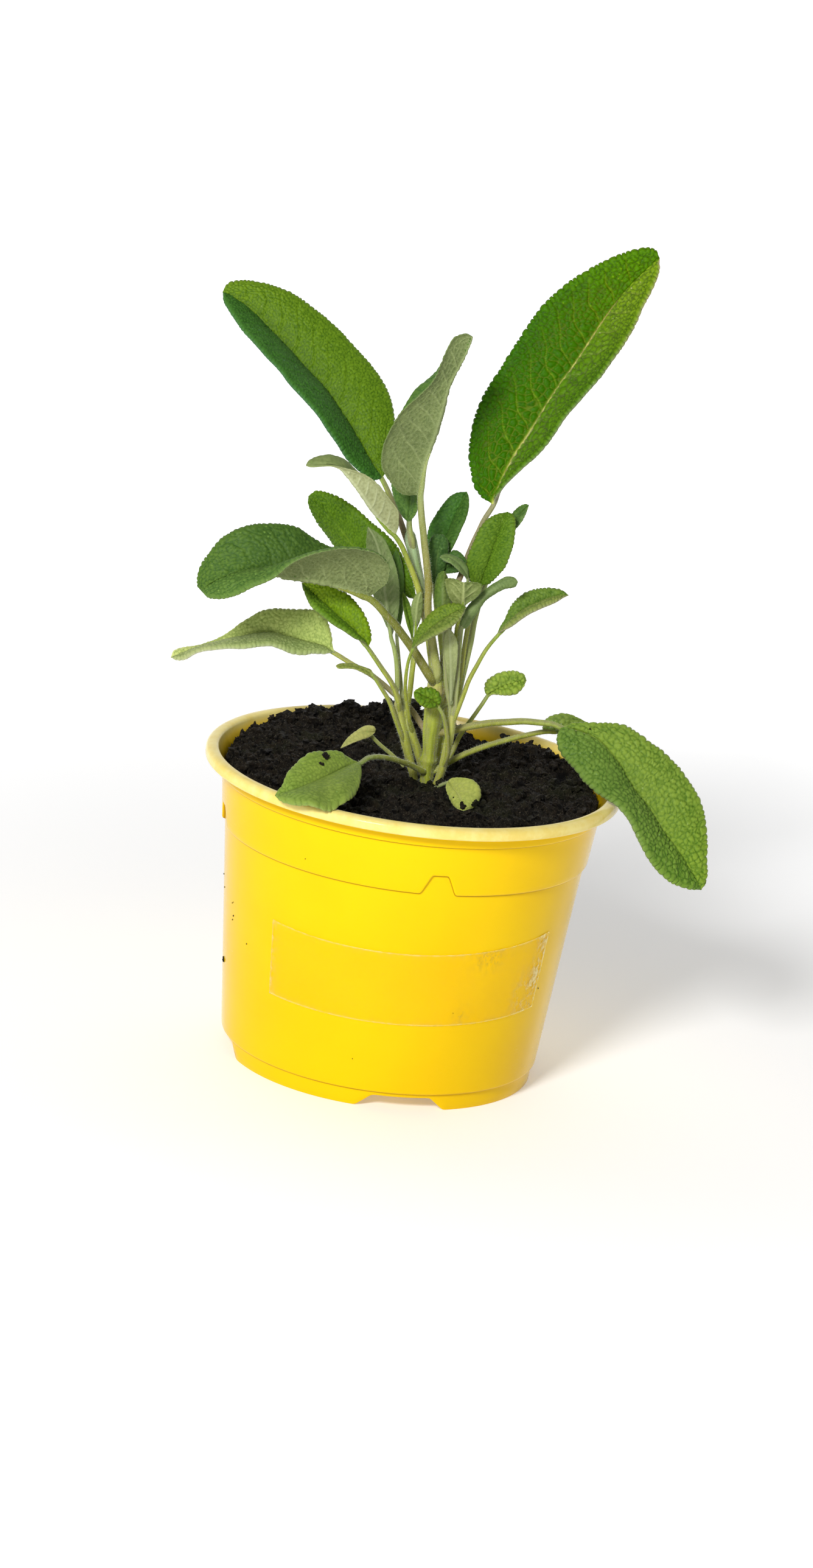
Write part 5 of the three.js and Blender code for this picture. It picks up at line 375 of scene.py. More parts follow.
def vnoise(x, y, seed):
    """value noise, -1 to 1"""
    ix, iy = np.floor(x), np.floor(y)
    fx, fy = x - ix, y - iy
    fx, fy = fx * fx * (3 - 2 * fx), fy * fy * (3 - 2 * fy)
    v = [[hash2(ix + i, iy + j, seed)[0] for j in (0, 1)] for i in (0, 1)]
    a = v[0][0] * (1 - fx) + v[1][0] * fx
    b = v[0][1] * (1 - fx) + v[1][1] * fx
    return 2 * (a * (1 - fy) + b * fy) - 1


def curve_at(P, u):
    """Catmull-Rom through the rows of P at the parameters u, 0 to len(P) - 1"""
    P = np.asarray(P, float)
    n = len(P)
    T = np.gradient(P, axis=0)
    u = np.clip(u, 0, n - 1)
    i = np.clip(np.floor(u).astype(int), 0, n - 2)
    f = (u - i)[:, None]
    a, b, ta, tb = P[i], P[i + 1], T[i], T[i + 1]
    return (
        (2 * f**3 - 3 * f**2 + 1) * a
        + (f**3 - 2 * f**2 + f) * ta
        + (-2 * f**3 + 3 * f**2) * b
        + (f**3 - f**2) * tb
    )


def unit(v):
    return v / np.maximum(np.linalg.norm(v, axis=-1, keepdims=True), 1e-9)


def lin(c):
    """sRGB 0-255 to linear"""
    c = np.asarray(c, float) / 255.0
    return np.where(c <= 0.04045, c / 12.92, ((c + 0.055) / 1.055) ** 2.4)


class Build:
    """verts, faces and point attributes of one piece, collected shell by shell"""

    def __init__(self):
        self.v, self.q, self.t = [], [], []
        self.qm, self.tm = [], []
        self.a = {}
        self.n = 0

    def add(self, verts, quads=None, tris=None, mat=0, **attrs):
        verts = np.asarray(verts, float).reshape(-1, 3)
        for k in list(self.a):
            if k not in attrs:
                attrs[k] = np.zeros((len(verts),) + self.a[k][0].shape[1:])
        for k, x in attrs.items():
            x = np.asarray(x, float)
            if k not in self.a:
                self.a[k] = [np.zeros((self.n,) + x.shape[1:])] if self.n else []
            self.a[k].append(x)
        self.v.append(verts)
        if quads is not None and len(quads):
            self.q.append(np.asarray(quads) + self.n)
            self.qm.append(np.full(len(quads), mat))
        if tris is not None and len(tris):
            self.t.append(np.asarray(tris) + self.n)
            self.tm.append(np.full(len(tris), mat))
        self.n += len(verts)

    def make(self, name, mats, node=None, smooth=True):
        v = np.concatenate(self.v) * MM
        q = np.concatenate(self.q) if self.q else np.zeros((0, 4), int)
        t = np.concatenate(self.t) if self.t else np.zeros((0, 3), int)
        qm = np.concatenate(self.qm) if self.qm else np.zeros(0, int)
        tm = np.concatenate(self.tm) if self.tm else np.zeros(0, int)
        me = bpy.data.meshes.new(name)
        me.vertices.add(len(v))
        me.vertices.foreach_set("co", v.astype(np.float32).ravel())
        me.loops.add(q.size + t.size)
        me.loops.foreach_set("vertex_index", np.concatenate([q.ravel(), t.ravel()]).astype(np.int32))
        me.polygons.add(len(q) + len(t))
        start = np.concatenate([np.arange(len(q)) * 4, q.size + np.arange(len(t)) * 3])
        me.polygons.foreach_set("loop_start", start.astype(np.int32))
        me.polygons.foreach_set("material_index", np.concatenate([qm, tm]).astype(np.int32))
        me.polygons.foreach_set("use_smooth", np.full(len(q) + len(t), smooth))
        for k, parts in self.a.items():
            x = np.concatenate(parts)
            assert len(x) == len(v), (name, k, [p.shape for p in parts], len(v))
            if x.ndim == 1:
                at = me.attributes.new(k, "FLOAT", "POINT")
                at.data.foreach_set("value", x.astype(np.float32))
            else:
                at = me.attributes.new(k, "FLOAT_COLOR", "POINT")
                c = np.ones((len(x), 4))
                c[:, :3] = x
                at.data.foreach_set("color", c.astype(np.float32).ravel())
        for m in mats:
            me.materials.append(m)
        me.update(calc_edges=True)
        me.validate(clean_customdata=False)
        ob = bpy.data.objects.new(name, me)
        scene.collection.objects.link(ob)
        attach(ob, "root")
        if node:
            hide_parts(*([node] if isinstance(node, str) else node))
        return ob


# ------------------------------------------------------------------ materials


class Nodes:
    """short hand for a node tree"""

    def __init__(self, name):
        self.m = bpy.data.materials.new(name)
        self.m.use_nodes = True
        self.t = self.m.node_tree
        self.t.nodes.clear()
        self.out = self.t.nodes.new("ShaderNodeOutputMaterial")
        self.coord = None

    def node(self, kind, **kw):
        n = self.t.nodes.new(kind)
        for k, v in kw.items():
            setattr(n, k, v)
        return n

    def put(self, socket, value):
        if isinstance(value, bpy.types.NodeSocket):
            self.t.links.new(value, socket)
        elif value is not None:
            if hasattr(value, "__len__") and len(value) == 3 and socket.type == "RGBA":
                value = (*value, 1.0)
            socket.default_value = value
        return socket

    def object_xyz(self):
        if self.coord is None:
            self.coord = self.node("ShaderNodeTexCoord")
        return self.coord.outputs["Object"]

    def attr(self, name, kind="Fac"):
        n = self.node("ShaderNodeAttribute", attribute_name=name)
        return n.outputs[kind]

    def noise(self, scale, detail=3.0, rough=0.55, vector=None, distortion=0.0):
        n = self.node("ShaderNodeTexNoise")
        self.put(n.inputs["Vector"], vector or self.object_xyz())
        n.inputs["Scale"].default_value = scale
        n.inputs["Detail"].default_value = detail
        n.inputs["Roughness"].default_value = rough
        n.inputs["Distortion"].default_value = distortion
        return n.outputs["Fac"]

    def voronoi(self, scale, feature="F1", vector=None):
        n = self.node("ShaderNodeTexVoronoi", feature=feature)
        self.put(n.inputs["Vector"], vector or self.object_xyz())
        n.inputs["Scale"].default_value = scale
        return n.outputs["Distance"]

    def scaled(self, xyz):
        n = self.node("ShaderNodeMapping")
        self.put(n.inputs["Vector"], self.object_xyz())
        n.inputs["Scale"].default_value = xyz
        return n.outputs["Vector"]

    def math(self, op, a, b=None, c=None, clamp=False):
        n = self.node("ShaderNodeMath", operation=op, use_clamp=clamp)
        self.put(n.inputs[0], a)
        if b is not None:
            self.put(n.inputs[1], b)
        if c is not None:
            self.put(n.inputs[2], c)
        return n.outputs[0]

    def ramp(self, value, lo, hi, a=0.0, b=1.0, kind="SMOOTHSTEP"):
        n = self.node("ShaderNodeMapRange", interpolation_type=kind)
        self.put(n.inputs["Value"], value)
        n.inputs["From Min"].default_value = lo
        n.inputs["From Max"].default_value = hi
        n.inputs["To Min"].default_value = a
        n.inputs["To Max"].default_value = b
        return n.outputs["Result"]

    def mix(self, fac, a, b, blend="MIX"):
        n = self.node("ShaderNodeMix", data_type="RGBA", blend_type=blend)
        self.put(n.inputs[0], fac)
        self.put(n.inputs[6], a)
        self.put(n.inputs[7], b)
        return n.outputs[2]

    def bump(self, height, strength, distance, normal=None):
        n = self.node("ShaderNodeBump")
        self.put(n.inputs["Height"], height)
        n.inputs["Strength"].default_value = strength
        n.inputs["Distance"].default_value = distance
        if normal is not None:
            self.put(n.inputs["Normal"], normal)
        return n.outputs["Normal"]

    def principled(self, color, rough, normal=None, **kw):
        n = self.node("ShaderNodeBsdfPrincipled")
        self.put(n.inputs["Base Color"], color)
        self.put(n.inputs["Roughness"], rough)
        if normal is not None:
            self.put(n.inputs["Normal"], normal)
        for k, v in kw.items():
            self.put(n.inputs[k.replace("_", " ")], v)
        self.t.links.new(n.outputs[0], self.out.inputs["Surface"])
        return n


def leaf_material(name, dark, light, under, under_dark, vein, vein_under, downy=0.35, vein_top=0.6, rough=0.5, spec=0.12):
    """dark and light: the hollows and domes of the upper side; the same for the lower side. The upper side's darker
    hollows are painted shade.
    """
    k = Nodes(name)
    cell, veins, side, edge, tt = (k.attr(a) for a in ("cell", "vein", "side", "edge", "tt"))
    tone_and_shade = k.attr("tone_and_shade", "Color")
    broad = k.noise(120.0, 2.0)
    fine = k.noise(1700.0, 3.0, 0.6)
    speck = k.noise(5200.0, 2.0, 0.5)
    painted_glint = k.math("MULTIPLY", k.ramp(k.voronoi(620.0), 0.10, 0.2, 1.0, 0.0), k.ramp(k.noise(520.0, 1.0), 0.5, 0.62))
    # painted shade: the hollows between the domes are coloured darker than the domes
    level = k.math("ADD", k.math("MULTIPLY", k.ramp(cell, 0.1, 0.95), 0.80), k.math("MULTIPLY", k.ramp(fine, 0.3, 0.7), 0.20))
    top = k.mix(level, lin(dark), lin(light))
    top = k.mix(k.math("MULTIPLY", k.ramp(broad, 0.35, 0.68), 0.35), top, k.mix(1.0, top, (0.72, 0.8, 0.72), "MULTIPLY"))
    top = k.mix(k.math("MULTIPLY", veins, vein_top), top, lin(vein))
    # pale down, seen as a fine frost of specks, and painted glints where glands catch the light
    top = k.mix(k.math("MULTIPLY", k.ramp(speck, 0.56, 0.74), 0.22 * downy + 0.03), top, lin([150, 180, 96]))
    top = k.mix(k.math("MULTIPLY", painted_glint, 0.30 + 0.2 * downy), top, lin([150, 190, 96]))
    low = k.mix(k.math("ADD", k.math("MULTIPLY", k.ramp(fine, 0.3, 0.7), 0.6), k.math("MULTIPLY", cell, 0.25)), lin(under_dark), lin(under))
    low = k.mix(k.math("MULTIPLY", k.ramp(broad, 0.4, 0.7), 0.35), low, lin([c * 0.86 for c in under_dark]))
    low = k.mix(k.math("MULTIPLY", veins, 0.75), low, lin(vein_under))
    low = k.mix(k.math("MULTIPLY", k.ramp(speck, 0.5, 0.72), 0.2), low, lin([196, 204, 150]))
    col = k.mix(side, top, low)
    col = k.mix(k.math("MULTIPLY", edge, 0.25), col, lin([min(255, c * 1.08 + 8) for c in under]))
    # tone factors per half: partly the leaf's own colour, partly painted light and shade; the veins take less of them
    col = k.mix(1.0, col, k.mix(k.math("MULTIPLY", veins, 0.8), tone_and_shade, (1.0, 1.0, 1.0)), "MULTIPLY")
    r = k.math("ADD", k.math("MULTIPLY", k.ramp(fine, 0.3, 0.75), 0.16), rough - 0.06)
    nrm = k.bump(k.math("ADD", speck, k.math("MULTIPLY", fine, 0.7)), 0.35, 0.00012)
    k.principled(
        col,
        r,
        nrm,
        Sheen_Weight=0.01 + 0.12 * downy,
        Sheen_Roughness=0.4,
        Sheen_Tint=(0.75, 0.95, 0.55),
        Specular_IOR_Level=spec,
    )
    return k.m


def stem_material(name):
    k = Nodes(name)
    tint = k.attr("tint", "Color")
    groove = k.attr("cell")
    streak = k.noise(900.0, 3.0, 0.6, vector=k.scaled((1.0, 1.0, 0.12)))
    fine = k.noise(4200.0, 2.0)
    streak2 = k.noise(1500.0, 2.0, 0.6, vector=k.scaled((1.0, 1.0, 0.06)))
    tint = k.mix(1.0, tint, (1.0, 1.0, 0.72), "MULTIPLY")
    col = k.mix(k.math("MULTIPLY", k.ramp(streak, 0.40, 0.62), 0.70), tint, k.mix(1.0, tint, (0.74, 0.80, 0.50), "MULTIPLY"))
    col = k.mix(k.math("MULTIPLY", k.ramp(streak2, 0.56, 0.70), 0.45), col, k.mix(1.0, tint, (1.30, 1.28, 1.35), "MULTIPLY"))
    col = k.mix(k.math("MULTIPLY", k.ramp(streak, 0.60, 0.74), 0.35), col, lin([146, 118, 112]))
    col = k.mix(k.math("MULTIPLY", k.ramp(fine, 0.52, 0.72), 0.22), col, lin([204, 212, 176]))
    col = k.mix(k.math("MULTIPLY", groove, k.ramp(streak, 0.30, 0.60, 0.30, 0.62)), col, lin([150, 140, 120]))
    nrm = k.bump(k.math("ADD", streak, k.math("MULTIPLY", fine, 0.5)), 0.4, 0.00012)
    k.principled(col, k.ramp(fine, 0.3, 0.7, 0.42, 0.6), nrm, Sheen_Weight=0.30, Sheen_Roughness=0.35, Sheen_Tint=(0.92, 0.95, 0.82), Specular_IOR_Level=0.2)
    return k.m


def hair_material():
    k = Nodes("down_hairs")
    f = k.noise(300.0, 2.0)
    k.principled(k.mix(f, lin([206, 214, 186]), lin([236, 240, 226])), k.ramp(f, 0.3, 0.7, 0.35, 0.55), Specular_IOR_Level=0.4)
    return k.m


def pot_material():
    k = Nodes("yellow_moulded_plastic")
    rim = k.attr("rim")
    step_shade = k.attr("line")
    cloud = k.noise(38.0, 3.0, 0.5)
    fine = k.noise(2600.0, 3.0, 0.6)
    scratch = k.noise(420.0, 4.0, 0.7, vector=k.scaled((1.0, 1.0, 7.0)), distortion=0.4)
    grime = k.noise(150.0, 5.0, 0.7)
    col = k.mix(k.ramp(cloud, 0.3, 0.75), lin([246, 203, 0]), lin([242, 197, 0]))
    col = k.mix(k.math("MULTIPLY", k.ramp(scratch, 0.64, 0.80), 0.07), col, lin([255, 232, 90]))
    col = k.mix(k.math("MULTIPLY", k.ramp(grime, 0.64, 0.8), 0.07), col, lin([216, 168, 10]))
    # the rolled lip is coloured paler than the body
    pale = k.mix(k.ramp(grime, 0.35, 0.7), lin([244, 226, 142]), lin([238, 212, 112]))
    pale = k.mix(k.math("MULTIPLY", k.ramp(scratch, 0.58, 0.8), 0.35), pale, lin([226, 206, 150]))
    col = k.mix(rim, col, pale)
    # painted shade: a dark line in the steps at the foot, the collar, the ring and under the lip
    col = k.mix(k.math("MULTIPLY", step_shade, 0.8), col, lin([150, 104, 0]))
    # the inner wall goes dark brown towards the compost, most on the left
    col = k.mix(k.math("MULTIPLY", k.attr("soiled"), k.ramp(grime, 0.35, 0.6, 0.35, 1.0)), col, lin([74, 56, 20]))
    r = k.math("ADD", k.math("MULTIPLY", k.ramp(scratch, 0.35, 0.75), 0.12), k.math("MULTIPLY", k.ramp(cloud, 0.3, 0.7), 0.08))
    r = k.math("ADD", k.math("MULTIPLY", r, 0.6), 0.17)
    nrm = k.bump(k.math("ADD", k.math("MULTIPLY", fine, 0.5), k.math("MULTIPLY", scratch, 0.6)), 0.05, 0.00006)
    k.principled(col, r, nrm, Specular_IOR_Level=0.04, Coat_Weight=0.6, Coat_Roughness=0.10, Coat_IOR=1.22)
    return k.m


def film_material():
    k = Nodes("bare_clear_film")
    edge, worn, stain = k.attr("edge"), k.attr("worn"), k.attr("stain")
    a = k.noise(700.0, 4.0, 0.65)
    b = k.noise(2400.0, 3.0, 0.6)
    c = k.noise(180.0, 3.0, 0.6)
    patch = k.math("MULTIPLY", worn, k.ramp(k.math("ADD", k.math("MULTIPLY", a, 0.55), k.math("MULTIPLY", c, 0.45)), 0.44, 0.58))
    smear = k.math("MULTIPLY", stain, k.ramp(k.math("ADD", k.math("MULTIPLY", a, 0.5), k.math("MULTIPLY", b, 0.5)), 0.42, 0.62))
    line = k.math("MULTIPLY", edge, k.ramp(a, 0.32, 0.6, 0.35, 1.0))
    col = k.mix(k.ramp(c, 0.3, 0.7), lin([250, 214, 6]), lin([247, 208, 4]))
    col = k.mix(line, col, lin([255, 240, 130]))
    col = k.mix(smear, col, lin([222, 184, 20]))
    col = k.mix(patch, col, lin([255, 240, 168]))
    al = k.math("ADD", 0.08, k.math("MULTIPLY", line, 0.30))
    al = k.math("ADD", al, k.math("MULTIPLY", patch, 0.55))
    al = k.math("ADD", al, k.math("MULTIPLY", smear, 0.22), clamp=True)
    nrm = k.bump(k.math("ADD", c, k.math("MULTIPLY", b, 0.08)), 0.25, 0.0002)
    k.principled(col, k.ramp(a, 0.3, 0.7, 0.14, 0.3), nrm, Alpha=al, Specular_IOR_Level=0.5)
    return k.m


def soil_material():
    k = Nodes("peat_compost")
    rid = k.attr("grain")
    low = k.attr("cell")
    a = k.noise(900.0, 5.0, 0.75)
    b = k.noise(2200.0, 4.0, 0.7)
    green = k.noise(70.0, 2.0)
    col = k.mix(k.ramp(a, 0.34, 0.66), lin([2, 2, 2]), lin([47, 41, 31]))
    col = k.mix(k.math("MULTIPLY", rid, 0.50), col, lin([62, 50, 36]))
    col = k.mix(k.math("MULTIPLY", k.ramp(k.math("ADD", green, k.math("MULTIPLY", k.math("SUBTRACT", a, 0.5), 0.5)), 0.50, 0.66), 0.45), col, lin([44, 50, 18]))
    # painted highlights: small pale glints on the crumbs
    col = k.mix(k.math("MULTIPLY", k.ramp(b, 0.57, 0.61), 0.60), col, lin([118, 110, 92]))
    # painted shade: the hollows between crumbs and the undersides of the lumps go near black
    col = k.mix(k.ramp(low, 0.12, 0.62, 0.97, 0.0), col, lin([3, 2, 2]))
    nrm = k.bump(k.math("ADD", a, k.math("MULTIPLY", b, 0.8)), 1.0, 0.0016)
    k.principled(col, k.ramp(b, 0.3, 0.7, 0.5, 0.85), nrm, Specular_IOR_Level=0.2)
    return k.m


def plain_fibre_material():
    k = Nodes("pale_fibre")
    f = k.noise(900.0, 2.0)
    k.principled(k.mix(f, lin([190, 180, 160]), lin([226, 220, 206])), k.ramp(f, 0.3, 0.7, 0.5, 0.75))
    return k.m


# upper dark, upper light, under, under dark, vein, vein under
LOOKS = {
    "deep": dict(dark=[47, 93, 8], light=[101, 147, 31], under=[128, 144, 84], under_dark=[92, 112, 56], vein=[150, 172, 50], vein_under=[156, 168, 110], downy=0.25),
    "glossy": dict(dark=[17, 62, 2], light=[73, 125, 8], under=[124, 140, 80], under_dark=[88, 108, 54], vein=[226, 228, 128], vein_under=[156, 168, 110], downy=0.03, vein_top=0.95, rough=0.42, spec=0.06),
    "mid": dict(dark=[52, 100, 15], light=[111, 153, 42], under=[132, 148, 84], under_dark=[94, 114, 56], vein=[150, 170, 66], vein_under=[160, 172, 112], downy=0.3),
    "net": dict(dark=[34, 86, 20], light=[84, 132, 44], under=[132, 148, 84], under_dark=[94, 114, 56], vein=[184, 198, 96], vein_under=[160, 172, 112], downy=0.3),
    "soft": dict(dark=[84, 112, 32], light=[136, 160, 66], under=[156, 168, 100], under_dark=[122, 138, 70], vein=[166, 178, 96], vein_under=[180, 188, 126], downy=0.45),
    "blue": dict(dark=[46, 86, 35], light=[92, 126, 54], under=[120, 134, 80], under_dark=[84, 102, 56], vein=[128, 150, 80], vein_under=[146, 158, 106], downy=0.4),
    "pale": dict(dark=[130, 142, 66], light=[166, 174, 88], under=[176, 182, 110], under_dark=[146, 154, 82], vein=[190, 192, 120], vein_under=[198, 200, 132], downy=0.5),
    "wash": dict(dark=[112, 132, 76], light=[142, 160, 98], under=[180, 186, 138], under_dark=[156, 166, 116], vein=[170, 180, 130], vein_under=[196, 202, 160], downy=0.6),
    "silver": dict(dark=[84, 108, 56], light=[118, 138, 80], under=[130, 146, 92], under_dark=[98, 118, 66], vein=[146, 160, 112], vein_under=[158, 168, 122], downy=0.6),
}
MATS = {k: leaf_material("sage_leaf_" + k, **v) for k, v in LOOKS.items()}
STEM_MAT = stem_material("sage_stem")
HAIR_MAT = hair_material()

# ------------------------------------------------------------------ leaves


def add_hairs(b, p, n, length, radius, mat, seed, lean=0.5):
    """one thin closed spike per point"""
    r = rng(seed)
    k = len(p)
    d = unit(n + lean * r.normal(size=(k, 3)))
    side = unit(np.cross(d, r.normal(size=(k, 3))))
    up = np.cross(d, side)
    ln = length * r.uniform(0.55, 1.15, (k, 1))
    base = p - d * 0.03
    ring = [base + radius * (math.cos(a) * side + math.sin(a) * up) for a in (0, 2.0944, 4.18879)]
    bend = side * ln * r.uniform(-0.25, 0.25, (k, 1))
    tip = base + d * ln + bend
    v = np.stack(ring + [tip], 1).reshape(-1, 3)
    i = np.arange(k)[:, None] * 4
    tris = np.concatenate([i + [0, 1, 3], i + [1, 2, 3], i + [2, 0, 3], i + [0, 2, 1]])
    b.add(v, tris=tris, mat=mat)


def tube(b, P, R, sides, step, mat, color, channel=None, flute=0.0, seed=0, caps=True, top=None, squeeze=None):
    """a tube along the rows of P with radii R; color is a row per row of P; channel cuts a groove on the side top points to"""
    P, R, color = np.asarray(P, float), np.asarray(R, float), np.asarray(color, float)
    u0 = np.linspace(0, len(P) - 1, 40 * len(P))
    c0 = curve_at(P, u0)
    ln = np.concatenate([[0], np.cumsum(np.linalg.norm(np.diff(c0, axis=0), axis=1))])
    n = max(6, int(ln[-1] / step))
    u = np.interp(np.linspace(0, ln[-1], n + 1), ln, u0)
    c = curve_at(P, u)
    r = np.interp(u, np.arange(len(P)), R)
    col = np.stack([np.interp(u, np.arange(len(P)), color[:, i]) for i in range(3)], 1)
    T = unit(np.gradient(c, axis=0))
    N = np.zeros_like(T)
    ref = np.asarray(top if top is not None else (0.2, -1, 0.1), float)
    for i in range(len(T)):
        ref = ref - T[i] * ref.dot(T[i])
        ref = ref / max(np.linalg.norm(ref), 1e-9)
        N[i] = ref
    B = np.cross(T, N)
    a = np.arange(sides) / sides * 2 * np.pi
    prof = np.ones((len(c), sides))
    if flute:
        s = np.linspace(0, ln[-1], n + 1)[:, None]
        prof = prof + flute * np.cos(4 * a[None, :] + 0.35 * np.sin(0.08 * s)) + 0.35 * flute * np.cos(9 * a[None, :] + 1.3)
    dip = np.zeros_like(prof)
    if channel:
        d = np.angle(np.exp(1j * a))[None, :]
        dip = dip + np.exp(-((d / 0.55) ** 2)) * channel
        prof = prof - dip
    if squeeze is not None:
        q = np.interp(u, np.arange(len(P)), squeeze)[:, None]
    else:
        q = np.ones((len(c), 1))
    prof = prof * (1 + 0.02 * np.sin(3.1 * a[None, :] + 0.9 * np.arange(len(c))[:, None] * step + seed))
    X = (r[:, None] * prof * np.cos(a)[None, :])[..., None] * N[:, None, :]
    Y = (r[:, None] * q * prof * np.sin(a)[None, :])[..., None] * B[:, None, :]
    V = c[:, None, :] + X + Y
    m = len(c)
    groove = (dip / max(1e-6, channel)) if channel else np.clip((1 - prof) * 8, 0, 1)
    ii, jj = np.meshgrid(np.arange(m - 1), np.arange(sides), indexing="ij")
    k = (jj + 1) % sides
    quads = np.stack([ii * sides + jj, ii * sides + k, (ii + 1) * sides + k, (ii + 1) * sides + jj], -1).reshape(-1, 4)
    verts = V.reshape(-1, 3)
    tint = np.repeat(col, sides, axis=0)
    cell = groove.reshape(-1)
    tris = []
    if caps:
        c0i = len(verts)
        verts = np.vstack([verts, c[0] - T[0] * r[0] * 0.25, c[-1] + T[-1] * r[-1] * 0.5])
        tint = np.vstack([tint, col[0], col[-1]])
        cell = np.concatenate([cell, [0, 0]])
        j = np.arange(sides)
        tris = np.concatenate([np.stack([np.full(sides, c0i), (j + 1) % sides, j], 1), np.stack([np.full(sides, c0i + 1), (m - 1) * sides + j, (m - 1) * sides + (j + 1) % sides], 1)])
    b.add(verts, quads=quads, tris=tris, mat=mat, tint=tint, cell=cell)
    return V, T, c


def hairs_on_tube(b, V, c, per_mm2, length, radius, mat, seed, z_from=None):
    r = rng(seed)
    m, s = V.shape[:2]
    girth = np.linalg.norm(V[:, 1] - V[:, 0], axis=1).mean() * s
    ln = np.linalg.norm(np.diff(c, axis=0), axis=1).sum()
    k = int(per_mm2 * girth * ln)
    if k < 1:
        return
    fi, fj = r.uniform(0, m - 1.001, k), r.integers(0, s, k)
    i, f = np.floor(fi).astype(int), (fi % 1)[:, None]
    p = V[i, fj] * (1 - f) + V[i + 1, fj] * f
    q = c[i] * (1 - f) + c[i + 1] * f
    if z_from is not None:
        keep = p[:, 2] > z_from
        p, q = p[keep], q[keep]
    if len(p):
        add_hairs(b, p, unit(p - q), length, radius, mat, seed + 1, lean=0.35)


# per leaf: look, lateral spacing, cell size, relief, tooth length, tooth depth, vein strength on top
STYLE = {
    "leaf_a": ("deep", 6.0, 0.80, 0.27, 1.15, 0.36, 0.10),
    "leaf_b": ("glossy", 6.4, 1.25, 0.50, 1.50, 0.50, 0.46),
    "leaf_c": ("blue", 5.4, 1.15, 0.20, 1.05, 0.24, 0.30),
    "leaf_c2": ("blue", 2.6, 0.95, 0.18, 0.90, 0.20, 0.30),
    "leaf_d": ("wash", 3.4, 0.95, 0.16, 0.90, 0.18, 0.35),
    "leaf_e": ("deep", 3.8, 0.80, 0.32, 1.15, 0.42, 0.20),
    "leaf_f": ("blue", 5.2, 1.00, 0.36, 1.20, 0.38, 0.15),
    "leaf_g": ("deep", 3.4, 0.82, 0.34, 1.15, 0.40, 0.20),
    "leaf_h": ("soft", 4.4, 0.90, 0.24, 1.30, 0.34, 0.20),
    "leaf_i": ("soft", 2.2, 0.95, 0.20, 0.95, 0.20, 0.35),
    "leaf_j": ("silver", 2.6, 0.85, 0.15, 0.90, 0.14, 0.40),
    "leaf_k": ("silver", 2.4, 0.85, 0.15, 0.90, 0.14, 0.40),
    "leaf_k2": ("mid", 2.2, 0.85, 0.18, 0.90, 0.18, 0.30),
    "leaf_k3": ("mid", 2.2, 0.85, 0.18, 0.90, 0.18, 0.30),
    "leaf_l": ("blue", 2.4, 0.95, 0.26, 0.95, 0.22, 0.30),
    "leaf_m": ("blue", 2.2, 0.90, 0.24, 0.90, 0.20, 0.30),
    "leaf_m2": ("blue", 2.0, 0.85, 0.18, 0.85, 0.18, 0.30),
    "leaf_m3": ("silver", 1.8, 0.75, 0.14, 0.80, 0.12, 0.30),
    "leaf_n": ("mid", 2.8, 0.74, 0.26, 1.05, 0.36, 0.12),
    "leaf_o": ("blue", 2.2, 0.90, 0.18, 0.90, 0.20, 0.30),
    "leaf_p": ("mid", 2.6, 0.74, 0.28, 1.05, 0.40, 0.15),
    "leaf_q": ("mid", 2.6, 1.15, 0.52, 1.35, 0.32, 0.30),
    "leaf_r": ("net", 2.4, 1.10, 0.50, 1.30, 0.32, 0.30),
    "leaf_s": ("mid", 2.4, 0.78, 0.28, 1.05, 0.32, 0.20),
    "leaf_s2": ("silver", 2.2, 0.90, 0.18, 0.90, 0.18, 0.30),
    "leaf_s3": ("soft", 2.2, 0.95, 0.16, 0.95, 0.16, 0.40),
    "leaf_s4": ("silver", 2.2, 0.85, 0.14, 0.85, 0.14, 0.40),
    "leaf_y": ("silver", 2.2, 0.85, 0.14, 0.85, 0.14, 0.40),
    "leaf_t": ("soft", 4.6, 1.10, 0.13, 2.10, 0.56, 0.50),
    "leaf_u": ("pale", 2.4, 1.10, 0.12, 1.20, 0.14, 0.40),
    "leaf_v": ("pale", 2.8, 1.10, 0.16, 1.40, 0.16, 0.75),
    "leaf_w": ("mid", 5.2, 1.25, 0.42, 1.50, 0.48, 0.25),
    "leaf_x": ("mid", 2.6, 1.20, 0.34, 1.30, 0.30, 0.35),
}
